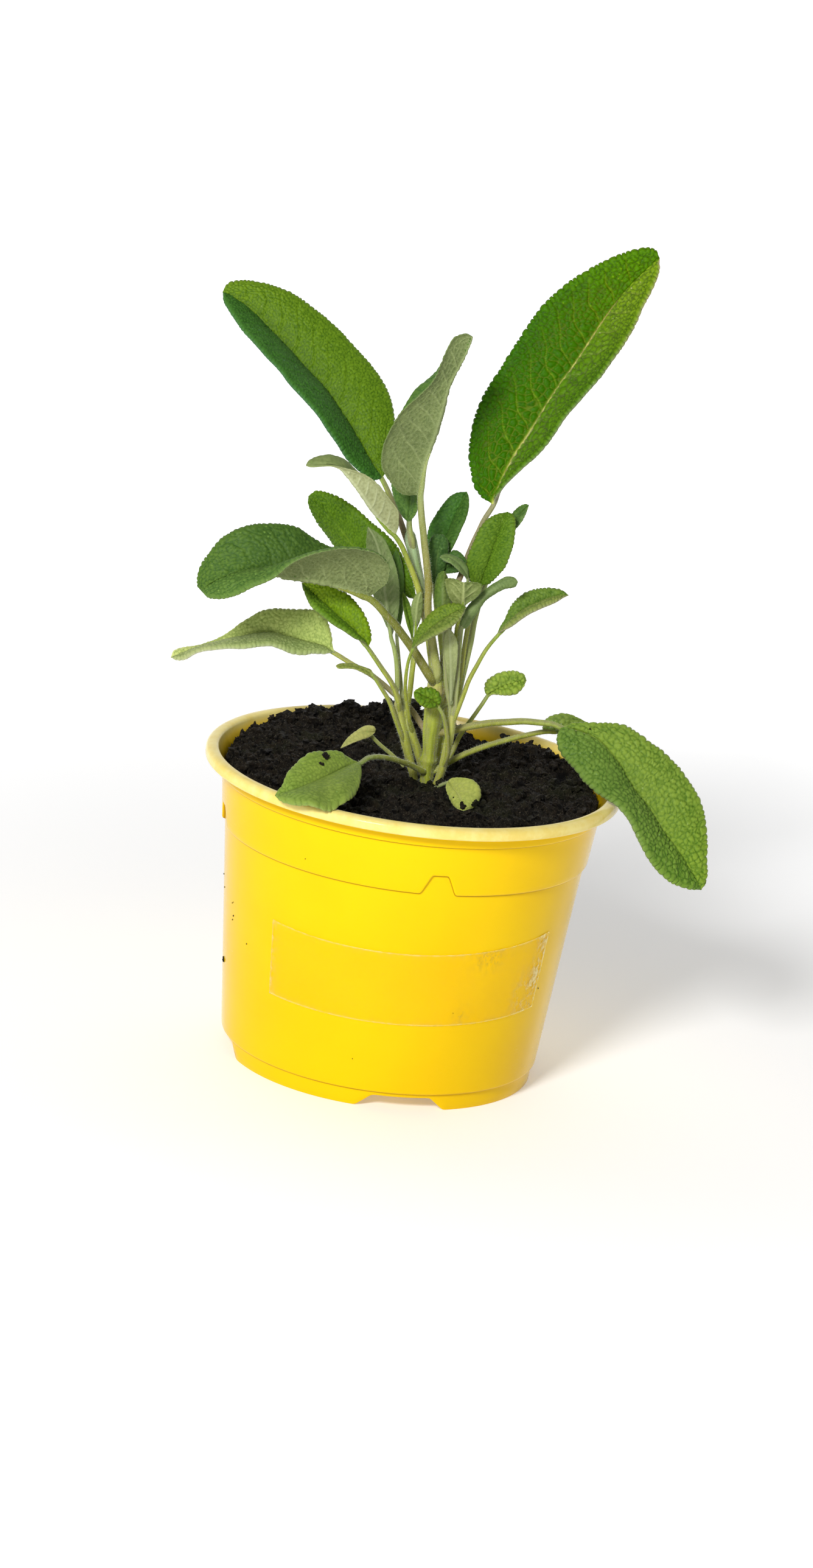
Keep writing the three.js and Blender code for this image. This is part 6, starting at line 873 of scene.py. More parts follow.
# factors for the left half, the right half and towards the tip: partly how much lighter or darker, warmer or cooler
# each half is, partly painted light and shade of how each half faced the light
TONE_AND_SHADE = {
    "leaf_y": ((1.50, 1.32, 1.35), (1.50, 1.32, 1.35), (1, 1, 1)),
    "leaf_o": ((0.82, 0.86, 0.65), (1.08, 1.00, 1.15), (1, 1, 1)),
    "leaf_k3": ((0.85, 0.76, 0.75), (1.00, 0.82, 0.90), (1, 1, 1)),
    "leaf_i": ((1.08, 0.88, 1.10), (1.20, 0.93, 1.40), (1, 1, 1)),
    "leaf_a": ((0.40, 0.57, 1.40), (1.03, 0.85, 0.62), (1.05, 1.0, 1.0)),
    "leaf_b": ((0.62, 0.74, 0.05), (1.45, 1.08, 2.20), (2.0, 1.4, 1.6)),
    "leaf_e": ((0.78, 0.69, 0.42), (0.84, 0.75, 0.42), (1, 1, 1)),
    "leaf_f": ((1.02, 0.96, 1.00), (0.76, 0.76, 0.60), (1.15, 1.1, 1.0)),
    "leaf_g": ((0.92, 0.80, 0.80), (1.50, 1.10, 0.50), (1.4, 1.3, 1.9)),
    "leaf_h": ((1.45, 1.22, 2.75), (1.95, 1.62, 2.90), (1.2, 1.1, 1.3)),
    "leaf_j": ((0.96, 1.00, 0.92), (0.88, 0.90, 0.82), (1, 1, 1)),
    "leaf_k": ((0.42, 0.60, 0.30), (0.53, 0.74, 0.40), (1, 1, 1)),
    "leaf_l": ((0.55, 0.78, 0.54), (0.60, 0.72, 0.52), (1, 1, 1)),
    "leaf_m": ((0.60, 0.66, 0.75), (0.60, 0.66, 0.75), (1, 1, 1)),
    "leaf_m2": ((0.75, 0.80, 0.85), (0.75, 0.80, 0.85), (1, 1, 1)),
    "leaf_s": ((1.02, 0.75, 0.88), (1.28, 0.81, 2.00), (1, 1, 1)),
    "leaf_s3": ((0.46, 0.51, 0.42), (0.54, 0.56, 0.48), (1, 1, 1)),
    "leaf_x": ((1.50, 1.03, 2.40), (1.50, 1.05, 2.80), (1, 1, 1)),
    "leaf_n": ((0.78, 0.69, 0.58), (0.74, 0.68, 0.56), (1, 1, 1)),
    "leaf_d": ((0.74, 0.71, 0.66), (0.76, 0.73, 0.70), (1, 1, 1)),
    "leaf_c": ((0.92, 0.90, 0.88), (0.92, 0.90, 0.88), (1, 1, 1)),
    "leaf_p": ((1.00, 0.80, 1.40), (1.68, 1.00, 3.00), (1, 1, 1)),
    "leaf_q": ((1.92, 1.32, 2.40), (2.00, 1.36, 2.20), (1, 1, 1)),
    "leaf_r": ((1.50, 1.07, 0.44), (1.50, 1.07, 0.44), (1, 1, 1)),
    "leaf_s2": ((0.64, 0.74, 0.36), (0.78, 0.76, 0.52), (1, 1, 1)),
    "leaf_t": ((1.02, 0.97, 1.06), (1.10, 1.06, 1.04), (0.92, 0.95, 0.95)),
    "leaf_u": ((1.30, 1.14, 1.50), (1.34, 1.16, 1.60), (1, 1, 1)),
    "leaf_v": ((1.25, 1.22, 1.15), (1.25, 1.22, 1.15), (1, 1, 1)),
    "leaf_w": ((1.45, 1.06, 1.75), (1.08, 0.88, 1.80), (0.98, 1.02, 0.75)),
}
OLIVE, GREEN, PURPLE, PALE, SILVER = (lin(c) for c in ([162, 168, 78], [136, 158, 66], [142, 122, 106], [188, 198, 116], [170, 190, 160]))
# petiole colours, from the leaf to the stem
PETIOLE = {
    "leaf_a": (GREEN, PURPLE, PURPLE),
    "leaf_b": (lin([150, 150, 120]), PURPLE, lin([150, 156, 120])),
    "leaf_c": (lin([150, 160, 116]), lin([140, 132, 78]), lin([166, 170, 118])),
    "leaf_f": (lin([128, 134, 64]), lin([118, 120, 58]), lin([130, 128, 70])),
    "leaf_h": (OLIVE, lin([140, 132, 96]), PURPLE),
    "leaf_w": (lin([150, 166, 88]), lin([160, 166, 78]), lin([156, 146, 100])),
    "leaf_x": (OLIVE, OLIVE, OLIVE),
    "leaf_t": (lin([132, 150, 92]), OLIVE, OLIVE),
    "leaf_u": (PALE, PALE, PALE),
    "leaf_r": (GREEN, OLIVE, OLIVE),
    "leaf_q": (GREEN, OLIVE, OLIVE),
}
STEP = 0.325
# grid step, and the side that the whole grid is kept on
GRID = {
    "leaf_a": (0.285, "top"),
    "leaf_b": (0.285, "top"),
    "leaf_w": (0.27, "top"),
    "leaf_f": (0.38, "both"),
    "leaf_c": (0.33, "low"),
    "leaf_d": (0.31, "low"),
    "leaf_e": (0.28, "top"),
    "leaf_g": (0.27, "top"),
    "leaf_h": (0.30, "top"),
    "leaf_t": (0.33, "top"),
}


# how much of the crown the left and right half have
CROWN = {"leaf_b": (0.35, -0.9)}
# depth of the valley over the midrib
MIDRIB = {"leaf_b": -0.6, "leaf_e": 0.45, "leaf_n": 0.15, "leaf_p": 0.3, "leaf_s": 0.3}
# strength of the side veins in the relief
SIDE_VEINS = {"leaf_a": 2.2, "leaf_b": 1.4, "leaf_f": 1.3}
WAVE = {"leaf_a": 0.05, "leaf_b": 0.05, "leaf_f": 0.08, "leaf_w": 0.10, "leaf_t": 0.30}
# how far the wide cells reach over the leaf
WIDE = {"leaf_a": 0.0, "leaf_h": 0.1, "leaf_e": 0.0, "leaf_g": 0.0, "leaf_n": 0.0, "leaf_p": 0.0, "leaf_s": 0.1, "leaf_q": 0.2, "leaf_r": 0.2, "leaf_f": 0.4, "leaf_w": 0.45, "leaf_t": 0.5}
# strength of the veins on the left and right half of the upper side
HALF_VEINS = {"leaf_b": (1.0, 0.30), "leaf_w": (0.8, 0.8)}


def stitch(a, c):
    """triangles between two lines of points, of which one may have twice the points"""
    a, c = np.asarray(a), np.asarray(c)
    n, m = len(a) - 1, len(c) - 1
    if m > n:
        return stitch(c, a)[:, ::-1]
    k = np.arange(m)
    if n == m:
        return np.concatenate([np.stack([a[k], a[k + 1], c[k]], 1), np.stack([a[k + 1], c[k + 1], c[k]], 1)])
    k2 = 2 * k
    return np.concatenate([np.stack([a[k2], a[k2 + 1], c[k]], 1), np.stack([a[k2 + 1], a[k2 + 2], c[k + 1]], 1), np.stack([a[k2 + 1], c[k + 1], c[k]], 1)])


STEM_LINES = []
for rows_ in STEMS.values():
    rows_ = np.array(rows_, float)
    STEM_LINES.append(curve_at(rows_, np.linspace(0, len(rows_) - 1, 30 * len(rows_))))


def rooted(run):
    """where a stalk goes on inside the nearest stem"""
    p, q = run[-1], run[-2]
    steep = abs(unit(p - q)[2])
    best = min(STEM_LINES, key=lambda c: (np.linalg.norm(c[:, :3] - p, axis=1) - c[:, 3]).min())
    i = int(np.argmin(np.linalg.norm(best[:, :3] - p, axis=1)))
    drop = 1.0 + 4.5 * max(0.0, steep - 0.55) / 0.45
    below = np.nonzero(best[:, 2] <= best[i, 2] - drop)[0]
    j = below[-1] if len(below) else 0
    end = best[j, :3]
    return np.array([end, 0.45 * end + 0.55 * p])


LOW_POINTS = []
SURF = {}


def leaf_piece(name, seed):
    d = LEAVES[name]
    look, lateral, cs, relief, tooth, tdepth, vtop = STYLE[name]
    M, L, R = (np.array(d[k], float) for k in "MLR")
    n = len(M)
    ln0 = np.linalg.norm(np.diff(M, axis=0), axis=1).sum()
    wmax = max(np.linalg.norm(L - M, axis=1).max(), np.linalg.norm(R - M, axis=1).max())
    step, fine_side = GRID.get(name, (STEP if ln0 > 30 else (0.28 if ln0 > 16 else 0.24), "top"))
    # stations close enough on all three lines
    u0 = np.linspace(0, n - 1, 60 * n)
    inc = np.max([np.linalg.norm(np.diff(curve_at(Q, u0), axis=0), axis=1) for Q in (M, L, R)], axis=0)
    cum = np.concatenate([[0], np.cumsum(inc)])
    nu = 2 * (int(cum[-1] / step / 2) + 1)
    u = np.interp(np.linspace(0, cum[-1], nu + 1), cum, u0)
    m, l, r = curve_at(M, u), curve_at(L, u), curve_at(R, u)
    # the first and last stations keep a little width
    for i, j in ((0, 2), (-1, -3)):
        across = unit(r[j] - l[j])
        for w in (l, r):
            pass
        l[i], r[i] = m[i] - across * 0.12, m[i] + across * 0.12
    T = unit(np.gradient(m, axis=0))
    s_m = np.concatenate([[0], np.cumsum(np.linalg.norm(np.diff(m, axis=0), axis=1))])
    length = s_m[-1]
    tt = s_m / length
    nh = 2 * max(3, int(math.ceil(wmax / step / 2)))
    sv = np.linspace(-1, 1, 2 * nh + 1)
    # rounded teeth: the margin swings out and in along its own length
    grow, beads = {}, {}
    for key, q in (("l", l), ("r", r)):
        a = np.concatenate([[0], np.cumsum(np.linalg.norm(np.diff(q, axis=0), axis=1))])
        ph = a / tooth + 0.25 * np.sin(a * 0.9 + seed) + (0.37 if key == "l" else 0.0)
        k = np.floor(ph)
        amp = 0.7 + 0.6 * hash2(k, k * 0 + (1 if key == "l" else 2), seed)[0]
        lobe = np.sqrt(np.clip(np.sin(np.pi * (ph % 1.0)), 0, 1))
        w = np.linalg.norm(q - m, axis=1)
        grow[key] = tdepth * amp * (lobe - 0.45) * sm(a, 0.4, 2.5) * sm(w, 0.5, 2.0)
        beads[key] = lobe * (0.8 + 0.4 * (amp - 0.7))
    s = sv[None, :, None]
    half = np.where(s < 0, 1, 0)
    edge_pt = np.where(s < 0, l[:, None, :], r[:, None, :])
    out = unit(edge_pt - m[:, None, :])
    g = np.where(sv[None, :] < 0, grow["l"][:, None], grow["r"][:, None])
    a_s = np.abs(sv)[None, :]
    wid = np.where(sv[None, :] < 0, np.linalg.norm(l - m, axis=1)[:, None], np.linalg.norm(r - m, axis=1)[:, None])
    P = m[:, None, :] + np.abs(s) * (edge_pt - m[:, None, :])
    near = np.clip((a_s * wid - (wid - 2.2)) / 2.2, 0, 1) ** 2
    P = P + out * (g * near)[..., None]
    # each half is crowned between the midrib and the margin
    Tm = T[:, None, :]
    nhalf = unit(np.where(s < 0, np.cross(m[:, None, :] - l[:, None, :], Tm), np.cross(r[:, None, :] - m[:, None, :], Tm)))
    cl_, cr_ = CROWN.get(name, (1.0, 1.0))
    crown = d["b"] * np.where(sv < 0, cl_, cr_)[None, :] * wid * 4 * a_s * (1 - a_s)
    # gentle waves along the margin and the margin itself rolled under a little
    wave = WAVE.get(name, 0.14) * np.sin(s_m[:, None] * 0.75 + seed + 2.0 * np.sign(sv)[None, :]) * a_s**3 * sm(wid, 3, 9)
    roll = -0.42 * np.clip((a_s * wid - (wid - 1.0)) / 1.0, 0, 1) ** 2 * sm(wid, 1.0, 3.0)
    P = P + nhalf * (crown + wave + roll)[..., None]
    da = np.gradient(P, axis=1)
    dl = np.gradient(P, axis=0)
    N = unit(np.cross(da, dl))
    # leaf coordinates: x along the midrib, y away from it
    rel = P - m[:, None, :]
    along = (rel * Tm).sum(-1)
    x = s_m[:, None] + along
    y = np.linalg.norm(rel - along[..., None] * Tm, axis=-1)
    sgn = np.sign(sv)[None, :] + 0 * y
    bend = 0.70 * y + 0.024 * y * y * (14.0 / max(wmax, 5.0))
    wob = 0.35 * vnoise(x / 2.6, y / 2.6 + 4.0 * (sgn > 0), seed + 3)
    q = (x - bend + wob) / lateral + np.where(sgn > 0, 0.45, 0.0) + 0.10 * np.sin(0.8 * y + seed)
    side_off = np.where(sgn > 0, 37.0, 0.0)
    # wide cells by the midrib and the base, close ones by the margin and the tip
    wide = (1 - sm(a_s, 0.30, 0.85)) * (1 - 0.8 * sm(tt, 0.35, 0.85))[:, None]
    wide = np.clip(wide * WIDE.get(name, 1.0 if name == "leaf_b" else 0.5) * (1.0 if WIDE.get(name, 1) else 0.0) + (0.25 if WIDE.get(name, 1) else 0.0) * vnoise(x / 6.0, y / 6.0 + side_off, seed + 5), 0, 1)
    wx = x + 0.22 * cs * vnoise(x / cs / 1.1, y / cs / 1.1 + side_off, seed + 6)
    wy = y + 0.22 * cs * vnoise(x / cs / 1.1 + 9, y / cs / 1.1 + side_off, seed + 7)
    c1 = cs * 1.5
    f1a, f2a, ra = worley(wx / c1, wy / c1 + side_off, seed * 7, 0.9)
    f1b, f2b, rb = worley(wx / cs + 11, wy / cs + side_off, seed * 7 + 3, 0.9)
    ea, eb = (f2a - f1a) * c1 * 0.5, (f2b - f1b) * cs * 0.5
    pick_w = sm(wide, 0.42, 0.58)
    e = ea * pick_w + eb * (1 - pick_w)
    rr = ra * pick_w + rb * (1 - pick_w)
    da_ = np.sqrt(np.clip(ea / (0.30 * c1), 0, 1))
    db_ = np.sqrt(np.clip(eb / (0.30 * cs), 0, 1))
    dome = (da_ * 1.25 * (0.80 + 0.4 * ra)) * pick_w + (db_ * (0.72 + 0.56 * rb)) * (1 - pick_w)
    g1a, g2a, _ = worley(wx / cs * 2.1 + 5, wy / cs * 2.1 + 1.7 + side_off, seed * 7 + 1)
    fine = np.sqrt(np.clip((g2a - g1a) / 0.6, 0, 1))
    dlat = np.abs(q - np.round(q)) * lateral * 0.8
    lat = gauss(dlat, 0.17 if name == "leaf_b" else 0.24) * sm(y, 0.2, 1.0) * (1 - 0.75 * sm(a_s, 0.55, 1.0)) * sm(tt, 0.0, 0.05)[:, None] * (1 - sm(tt, 0.86, 0.98))[:, None]
    mid_w = (0.50 - 0.30 * tt)[:, None] * (1.0 if ln0 > 30 else 0.75)
    mid = gauss(y, mid_w) * (1 - sm(tt, 0.9, 1.0))[:, None]
    margin = sm(a_s * wid, 0, 0.01) * np.clip((a_s * wid - (wid - 0.55)) / 0.55, 0, 1)
    ends = (sm(wid, 0.4, 1.6) * np.ones_like(a_s))
    body = (1 - 0.35 * margin) * ends
    # the margin is a string of beads, one to a tooth
    dm = (1 - a_s) * wid
    rimw = (1 - sm(dm, 0.35 * tooth, 1.0 * tooth)) * sm(wid, 1.5, 3.0) * np.clip(tdepth / 0.2, 0, 1)
    beadv = np.where(sv[None, :] < 0, beads["l"][:, None], beads["r"][:, None])
    dome = dome * (1 - rimw) + rimw * (0.25 + 0.85 * beadv) * np.sqrt(np.clip(1 - ((dm - 0.45 * tooth) / (0.62 * tooth)) ** 2, 0, 1))
    e = e * (1 - rimw) + rimw * 0.4 * tooth * beadv
    htop = (relief * dome + 0.24 * relief * fine) * body * (1 - 0.8 * mid) - 0.55 * SIDE_VEINS.get(name, 1.0) * relief * lat * body - (0.16 + relief * 0.35) * MIDRIB.get(name, 1.0 if ln0 > 40 else 0.55) * mid * (1 - 0.55 * tt)[:, None] * sm(tt, 0, 0.06)[:, None]
    net = gauss(e, 0.15)
    thick = 0.42 if ln0 > 20 else 0.34
    rib = (0.62 * d["r"] * (1 - tt) ** 0.8)[:, None] * gauss(y, (0.70 - 0.42 * tt)[:, None] * (1 if ln0 > 30 else 0.7))
    hlow = -(0.55 * relief * dome) * body + 0.10 * net * body * min(1.0, relief * 5) + 0.30 * lat * body + rib
    top = P + N * (thick * 0.5 * (1 - 0.6 * margin) + htop)[..., None]
    low = P - N * (thick * 0.5 * (1 - 0.6 * margin) + hlow)[..., None]
    rowsn, cols = P.shape[:2]
    SURF[name] = (top, N, tt, sv)
    if low[..., 2].min() < 84:
        LOW_POINTS.append(low.reshape(-1, 3)[::2])
    # the dome height, which the material turns into darker hollows as painted shade
    cell = np.clip(dome * 0.72 + 0.30 * fine, 0, 1)
    fade = (1 - 0.85 * sm(tt, 0.35, 0.95))[:, None] * (1 - 0.7 * sm(a_s, 0.35, 0.9))
    vl_, vr_ = HALF_VEINS.get(name, (1.0, 1.0))
    vside = np.where(sgn > 0, vr_, vl_)
    vein_top = np.clip(np.maximum(gauss(y, ((0.56 - 0.30 * tt)[:, None] if name == "leaf_b" else (0.42 if vtop > 0.5 and ln0 > 40 else 0.24)) + 0 * y) * (1 - sm(tt, 0.62, 0.86))[:, None] * (1.0 if name == "leaf_b" else 0.35 + 1.0 * vtop) * (0.80 + 0.20 * vnoise(s_m[:, None] / 1.3 + 0 * y, 0 * y, seed)), vside * vtop * np.maximum((0.25 + 0.75 * fade) * 0.55 * lat, gauss(e, 0.11) * (0.40 if name == "leaf_b" else 0.62) * fade)), 0, 1)
    vein_low = np.clip(np.maximum(np.maximum(gauss(y, mid_w * 1.5), lat * 0.85), net * 0.45), 0, 1)
    b = Build()
    parts_v, parts_at, index = [], [], []
    base_n = 0
    for surf, veins, which in ((top, vein_top, 0), (low, vein_low, 1)):
        f_ = 1 if fine_side == "both" or (fine_side == "top") == (which == 0) else 2
        li, lj = np.arange(0, rowsn, f_), np.arange(0, cols, f_)
        parts_v.append(surf[np.ix_(li, lj)].reshape(-1, 3))
        grab = lambda w_: np.broadcast_to(w_, (rowsn, cols))[np.ix_(li, lj)].reshape(-1)
        tl, tr, te = (np.array(w_, float) for w_ in TONE_AND_SHADE.get(name, ((1, 1, 1),) * 3))
        # per half and towards the tip, colour factors that are partly own colour and partly painted light and shade
        blend_ = sm(sv, -0.06, 0.06)[None, :, None]
        tone_and_shade_ = (tl * (1 - blend_) + tr * blend_) * (1 + (te - 1) * sm(tt, 0.48, 0.92)[:, None, None])
        tone_and_shade_ = np.broadcast_to(tone_and_shade_, (rowsn, cols, 3))[np.ix_(li, lj)].reshape(-1, 3)
        parts_at.append(dict(cell=grab(cell), vein=grab(veins), edge=grab(margin**2), tt=grab(tt[:, None]), side=np.full(len(li) * len(lj), float(which)), tone_and_shade=tone_and_shade_))
        index.append(base_n + np.arange(len(li) * len(lj)).reshape(len(li), len(lj)))
        base_n += len(li) * len(lj)
    it, il = index
    quad = lambda g_: np.stack([g_[:-1, :-1], g_[:-1, 1:], g_[1:, 1:], g_[1:, :-1]], -1).reshape(-1, 4)
    b.add(
        np.concatenate(parts_v),
        quads=np.concatenate([quad(it), quad(il)[:, ::-1]]),
        tris=np.concatenate([stitch(it[:, 0], il[:, 0]), stitch(it[:, -1], il[:, -1])[:, ::-1], stitch(it[0], il[0])[:, ::-1], stitch(it[-1], il[-1])]),
        mat=0,
        tint=np.zeros((base_n, 3)),
        **{k_: np.concatenate([parts_at[0][k_], parts_at[1][k_]]) for k_ in parts_at[0]},
    )
    # the stalk, which runs on under the blade as its midrib
    if "P" in d:
        pal = PETIOLE.get(name, (GREEN, OLIVE, OLIVE) if look not in ("silver", "pale", "blue") else (lin([150, 166, 118]), lin([156, 168, 116]), lin([160, 168, 116])))
        run = np.array(d["P"], float)
        k = max(2, int(0.30 * rowsn))
        into = m[:k:max(1, k // 5)][1:] - N[:k:max(1, k // 5), nh][1:] * (thick * 0.5 + 0.25 * d["r"])
        run_in = run.copy()
        run_in[0] = run_in[0] - N[2, nh] * (thick * 0.5 + 0.15 * d["r"])
        pts = np.vstack([rooted(run), run_in[::-1], into])
        kr, ki = len(run), len(into)
        rad = np.concatenate([[0.18 * d["r"], 1.05 * d["r"]], np.linspace(1.16, 0.86, kr) * d["r"], np.linspace(0.80, 0.22, ki) * d["r"]])
        cols_p = np.vstack([np.tile(pal[2], (2, 1)), np.stack([np.interp(np.linspace(0, 1, kr), [0, 0.5, 1], [pal[2][i], pal[1][i], pal[0][i]]) for i in range(3)], 1), np.tile(pal[0], (ki, 1))])
        V, Tt, c = tube(b, pts, rad, 14, 0.45, 1, cols_p, channel=0.30 if d["r"] > 0.5 else 0.2, top=None if k < 2 else N[2, nh], seed=seed)
        hairs_on_tube(b, V, c, 3.8, 0.66, 0.021, 2, seed + 400)
    # short down round the margin, and along the midrib below
    r_ = rng(seed + 900)
    ring = np.concatenate([P[:, 0], P[:, -1]])
    outw = np.concatenate([unit(P[:, 0] - P[:, 2]), unit(P[:, -1] - P[:, -3])])
    pick = r_.integers(0, len(ring), int(len(ring) * 1.1))
    add_hairs(b, ring[pick] + outw[pick] * 0.02 + r_.normal(size=(len(pick), 3)) * 0.05, outw[pick], 0.30, 0.011, 2, seed + 901, lean=0.6)
    return b.make("sage_" + name, [MATS[look], STEM_MAT, HAIR_MAT], node=name)


for count, leaf_name in enumerate(LEAVES):
    leaf_piece(leaf_name, 11 + 5 * count)

# ------------------------------------------------------------------ stems


def ztint(z, stops):
    zs = [s[0] for s in stops]
    cs = np.array([lin(s[1]) for s in stops])
    return np.stack([np.interp(z, zs, cs[:, i]) for i in range(3)], 1)


MAIN_STOPS = [(66, [128, 130, 56]), (76, [158, 166, 62]), (86, [176, 186, 84]), (95, [184, 192, 96]), (98, [184, 172, 122]), (100, [192, 200, 112]), (112, [204, 212, 130]), (118, [182, 172, 140]), (121, [160, 178, 140]), (132, [160, 184, 156]), (148, [150, 176, 150]), (162, [140, 166, 128])]
SIDE_STOPS = [(66, [136, 130, 70]), (78, [176, 178, 84]), (88, [190, 198, 104]), (98, [172, 158, 126]), (106, [190, 200, 126]), (125, [164, 180, 140]), (150, [150, 176, 140])]
for count, (stem_name, rows) in enumerate(STEMS.items()):
    rows = np.array(rows, float)
    main = stem_name == "stem_main"
    P, R = rows[:, :3], rows[:, 3].copy()
    # more rows, so that the nodes can swell
    u = np.linspace(0, len(P) - 1, 12 * len(P))
    P2 = curve_at(P, u)
    R2 = np.interp(u, np.arange(len(P)), R)
    nodes_z = (79.5, 97.5, 118.5) if main else (98.0,)
    for z in nodes_z:
        R2 = R2 + (0.34 if main else 0.16) * gauss(P2[:, 2] - z, 1.1) + (0.20 if main else 0.08) * gauss(P2[:, 2] - z, 0.35)
    run_ = np.concatenate([[0], np.cumsum(np.linalg.norm(np.diff(P2, axis=0), axis=1))])
    R2 = R2 * (0.30 + 0.70 * sm(run_[-1] - run_, 0.0, 2.6)) * (0.90 if main else 1.0)
    b = Build()
    V, T, c = tube(b, P2, R2, 40 if main else 26, 0.4, 0, ztint(P2[:, 2], MAIN_STOPS if main else SIDE_STOPS), flute=0.075 if main else 0.07, seed=count)
    hairs_on_tube(b, V, c, 4.6, 0.80, 0.018, 1, 3000 + 31 * count, z_from=72.5)
    b.make("sage_" + stem_name, [STEM_MAT, HAIR_MAT], node=stem_name)

# ------------------------------------------------------------------ pot
BODY0, SLOPE = 39.85, 0.0985


def body_r(z):
    return BODY0 + SLOPE * z


def collar_r(z):
    return 46.4 + (z - 58.6) * (47.85 - 46.4) / 12.7


def trapezoid(dist, low, top, height, soft):
    """height of a notch with rounded corners at a distance from its middle"""
    d = np.abs(dist)
    k = np.clip((low - d) / (low - top), 0, 1)
    h = k * height
    # round the corners by blurring with neighbours
    for off, w in ((soft, 0.25), (-soft, 0.25)):
        pass
    kk = [np.clip((low - np.abs(dist + o)) / (low - top), 0, 1) for o in (-soft, -soft / 2, 0, soft / 2, soft)]
    return height * np.average(kk, axis=0, weights=[1, 2, 3, 2, 1])


def near_angle(phi, first):
    return (phi - first + 45.0) % 90.0 - 45.0


base_phi = np.arange(0, 360, 2.4)
extra = [base_phi]
for k in range(4):
    for c0, lo, hi, st in ((12.2, 1.8, 6.4, 0.30), (11.0, 10.0, 17.6, 0.6)):
        span = np.arange(lo, hi, st)
        extra += [(c0 + 90 * k + span) % 360, (c0 + 90 * k - span) % 360]
phi = np.unique(np.round(np.concatenate(extra), 3))
keep = np.concatenate([[True], np.diff(phi) > 0.12])
phi = phi[keep]
zs = 58.6 + trapezoid(np.radians(near_angle(phi, 12.2)) * 46.3, 4.35, 2.05, 5.0, 0.45)
zb = trapezoid(np.radians(near_angle(phi, 11.0)) * 39.2, 11.3, 7.4, 3.2, 0.7)
one = np.ones_like(phi)
# line: painted shade along the steps at the foot, the collar, the ring and under the lip
rings = []  # (z, r, rim, line), each per column


def ring(z, r, rim=0.0, line=0.0):
    rings.append((z * one, r * one, rim * one, line * one))


ring(4.3, 0.0)
for rr_ in (12.0, 22.0, 24.8, 31.2, 33.0, 36.6):
    ring(4.3, rr_)
ring(4.3, 37.75)
ring(zb + (4.2 - zb) * 0.9, 37.86)
ring(zb + 0.25, 37.82)
ring(zb + 0.06, 37.92)
ring(zb, 38.1)
ring(zb, 38.9)
ring(zb + 0.06, 39.15)
ring(zb + 0.25, 39.28)
ring(zb + (4.1 - zb) * 0.55, 39.36)
ring(zb + (4.1 - zb) * 0.95, 39.42)
ring(4.28, 39.50, 0, 0.8)
ring(4.36, 39.66, 0, 1)
ring(4.42, 39.95, 0, 0.6)
ring(4.52, 40.16)
ring(4.72, 40.28)
ring(5.1, body_r(5.1))
for k in np.linspace(0.04, 1, 16):
    z = 5.1 + (zs - 0.45 - 5.1) * k
    ring(z, body_r(z))
ring(zs - 0.22, body_r(zs - 0.22), 0, 0.5)
ring(zs - 0.06, body_r(zs) + 0.02, 0, 1)
ring(zs + 0.04, body_r(zs) + 0.22, 0, 1)
ring(zs + 0.12, collar_r(zs) - 0.24, 0, 0.5)
ring(zs + 0.26, collar_r(zs) - 0.07)
ring(zs + 0.52, collar_r(zs + 0.52))
for k in np.linspace(0.1, 1, 8):
    z = zs + 0.52 + (71.0 - zs - 0.52) * k
    ring(z, collar_r(z))
for z, r, rim, line in (
    (71.22, 47.86, 0, 0.3), (71.34, 47.92, 0, 0.8), (71.44, 48.12, 0, 1), (71.54, 48.42, 0, 0.5), (71.70, 48.60, 0, 0), (71.95, 48.69, 0, 0),
    (72.7, 48.73, 0, 0), (73.6, 48.78, 0, 0), (74.2, 48.84, 0, 0.3), (74.44, 48.98, 0.1, 0.9), (74.56, 49.3, 0.3, 1), (74.6, 50.2, 0.5, 0.7), (74.6, 51.4, 0.8, 0.2),
    (74.63, 51.95, 0.9, 0), (74.74, 52.25, 1, 0), (74.92, 52.43, 1, 0), (75.2, 52.5, 1, 0), (75.8, 52.5, 1, 0), (76.3, 52.46, 1, 0), (76.7, 52.34, 1, 0), (77.02, 52.1, 1, 0),
    (77.26, 51.76, 1, 0), (77.42, 51.34, 1, 0), (77.5, 50.86, 1, 0), (77.5, 50.3, 1, 0), (77.42, 49.86, 1, 0), (77.24, 49.52, 1, 0), (76.98, 49.3, 1, 0), (76.6, 49.14, 0.9, 0),
    (76.0, 48.92, 0.6, 0), (75.3, 48.6, 0.3, 0), (74.3, 48.16, 0.1, 0), (73.2, 47.72, 0, 0), (72.3, 47.36, 0, 0), (71.2, 46.74, 0, 0), (70.2, 46.36, 0, 0), (68.0, 45.85, 0, 0), (65.5, 45.28, 0, 0),
    (57.0, 44.27, 0, 0), (40.0, 42.6, 0, 0), (20.0, 40.6, 0, 0), (8.0, 39.4, 0, 0), (6.7, 39.1, 0, 0), (6.0, 38.8, 0, 0), (5.6, 38.2, 0, 0), (5.5, 37.3, 0, 0), (5.5, 31.2, 0, 0), (5.5, 24.8, 0, 0), (5.5, 12.0, 0, 0), (5.5, 0.0, 0, 0),
):
    ring(z, r, rim, line)

a = np.radians(phi)
Z = np.array([r[0] for r in rings])
RR = np.array([r[1] for r in rings])
RIM = np.array([r[2] for r in rings])
STEP_SHADE = np.array([r[3] for r in rings])
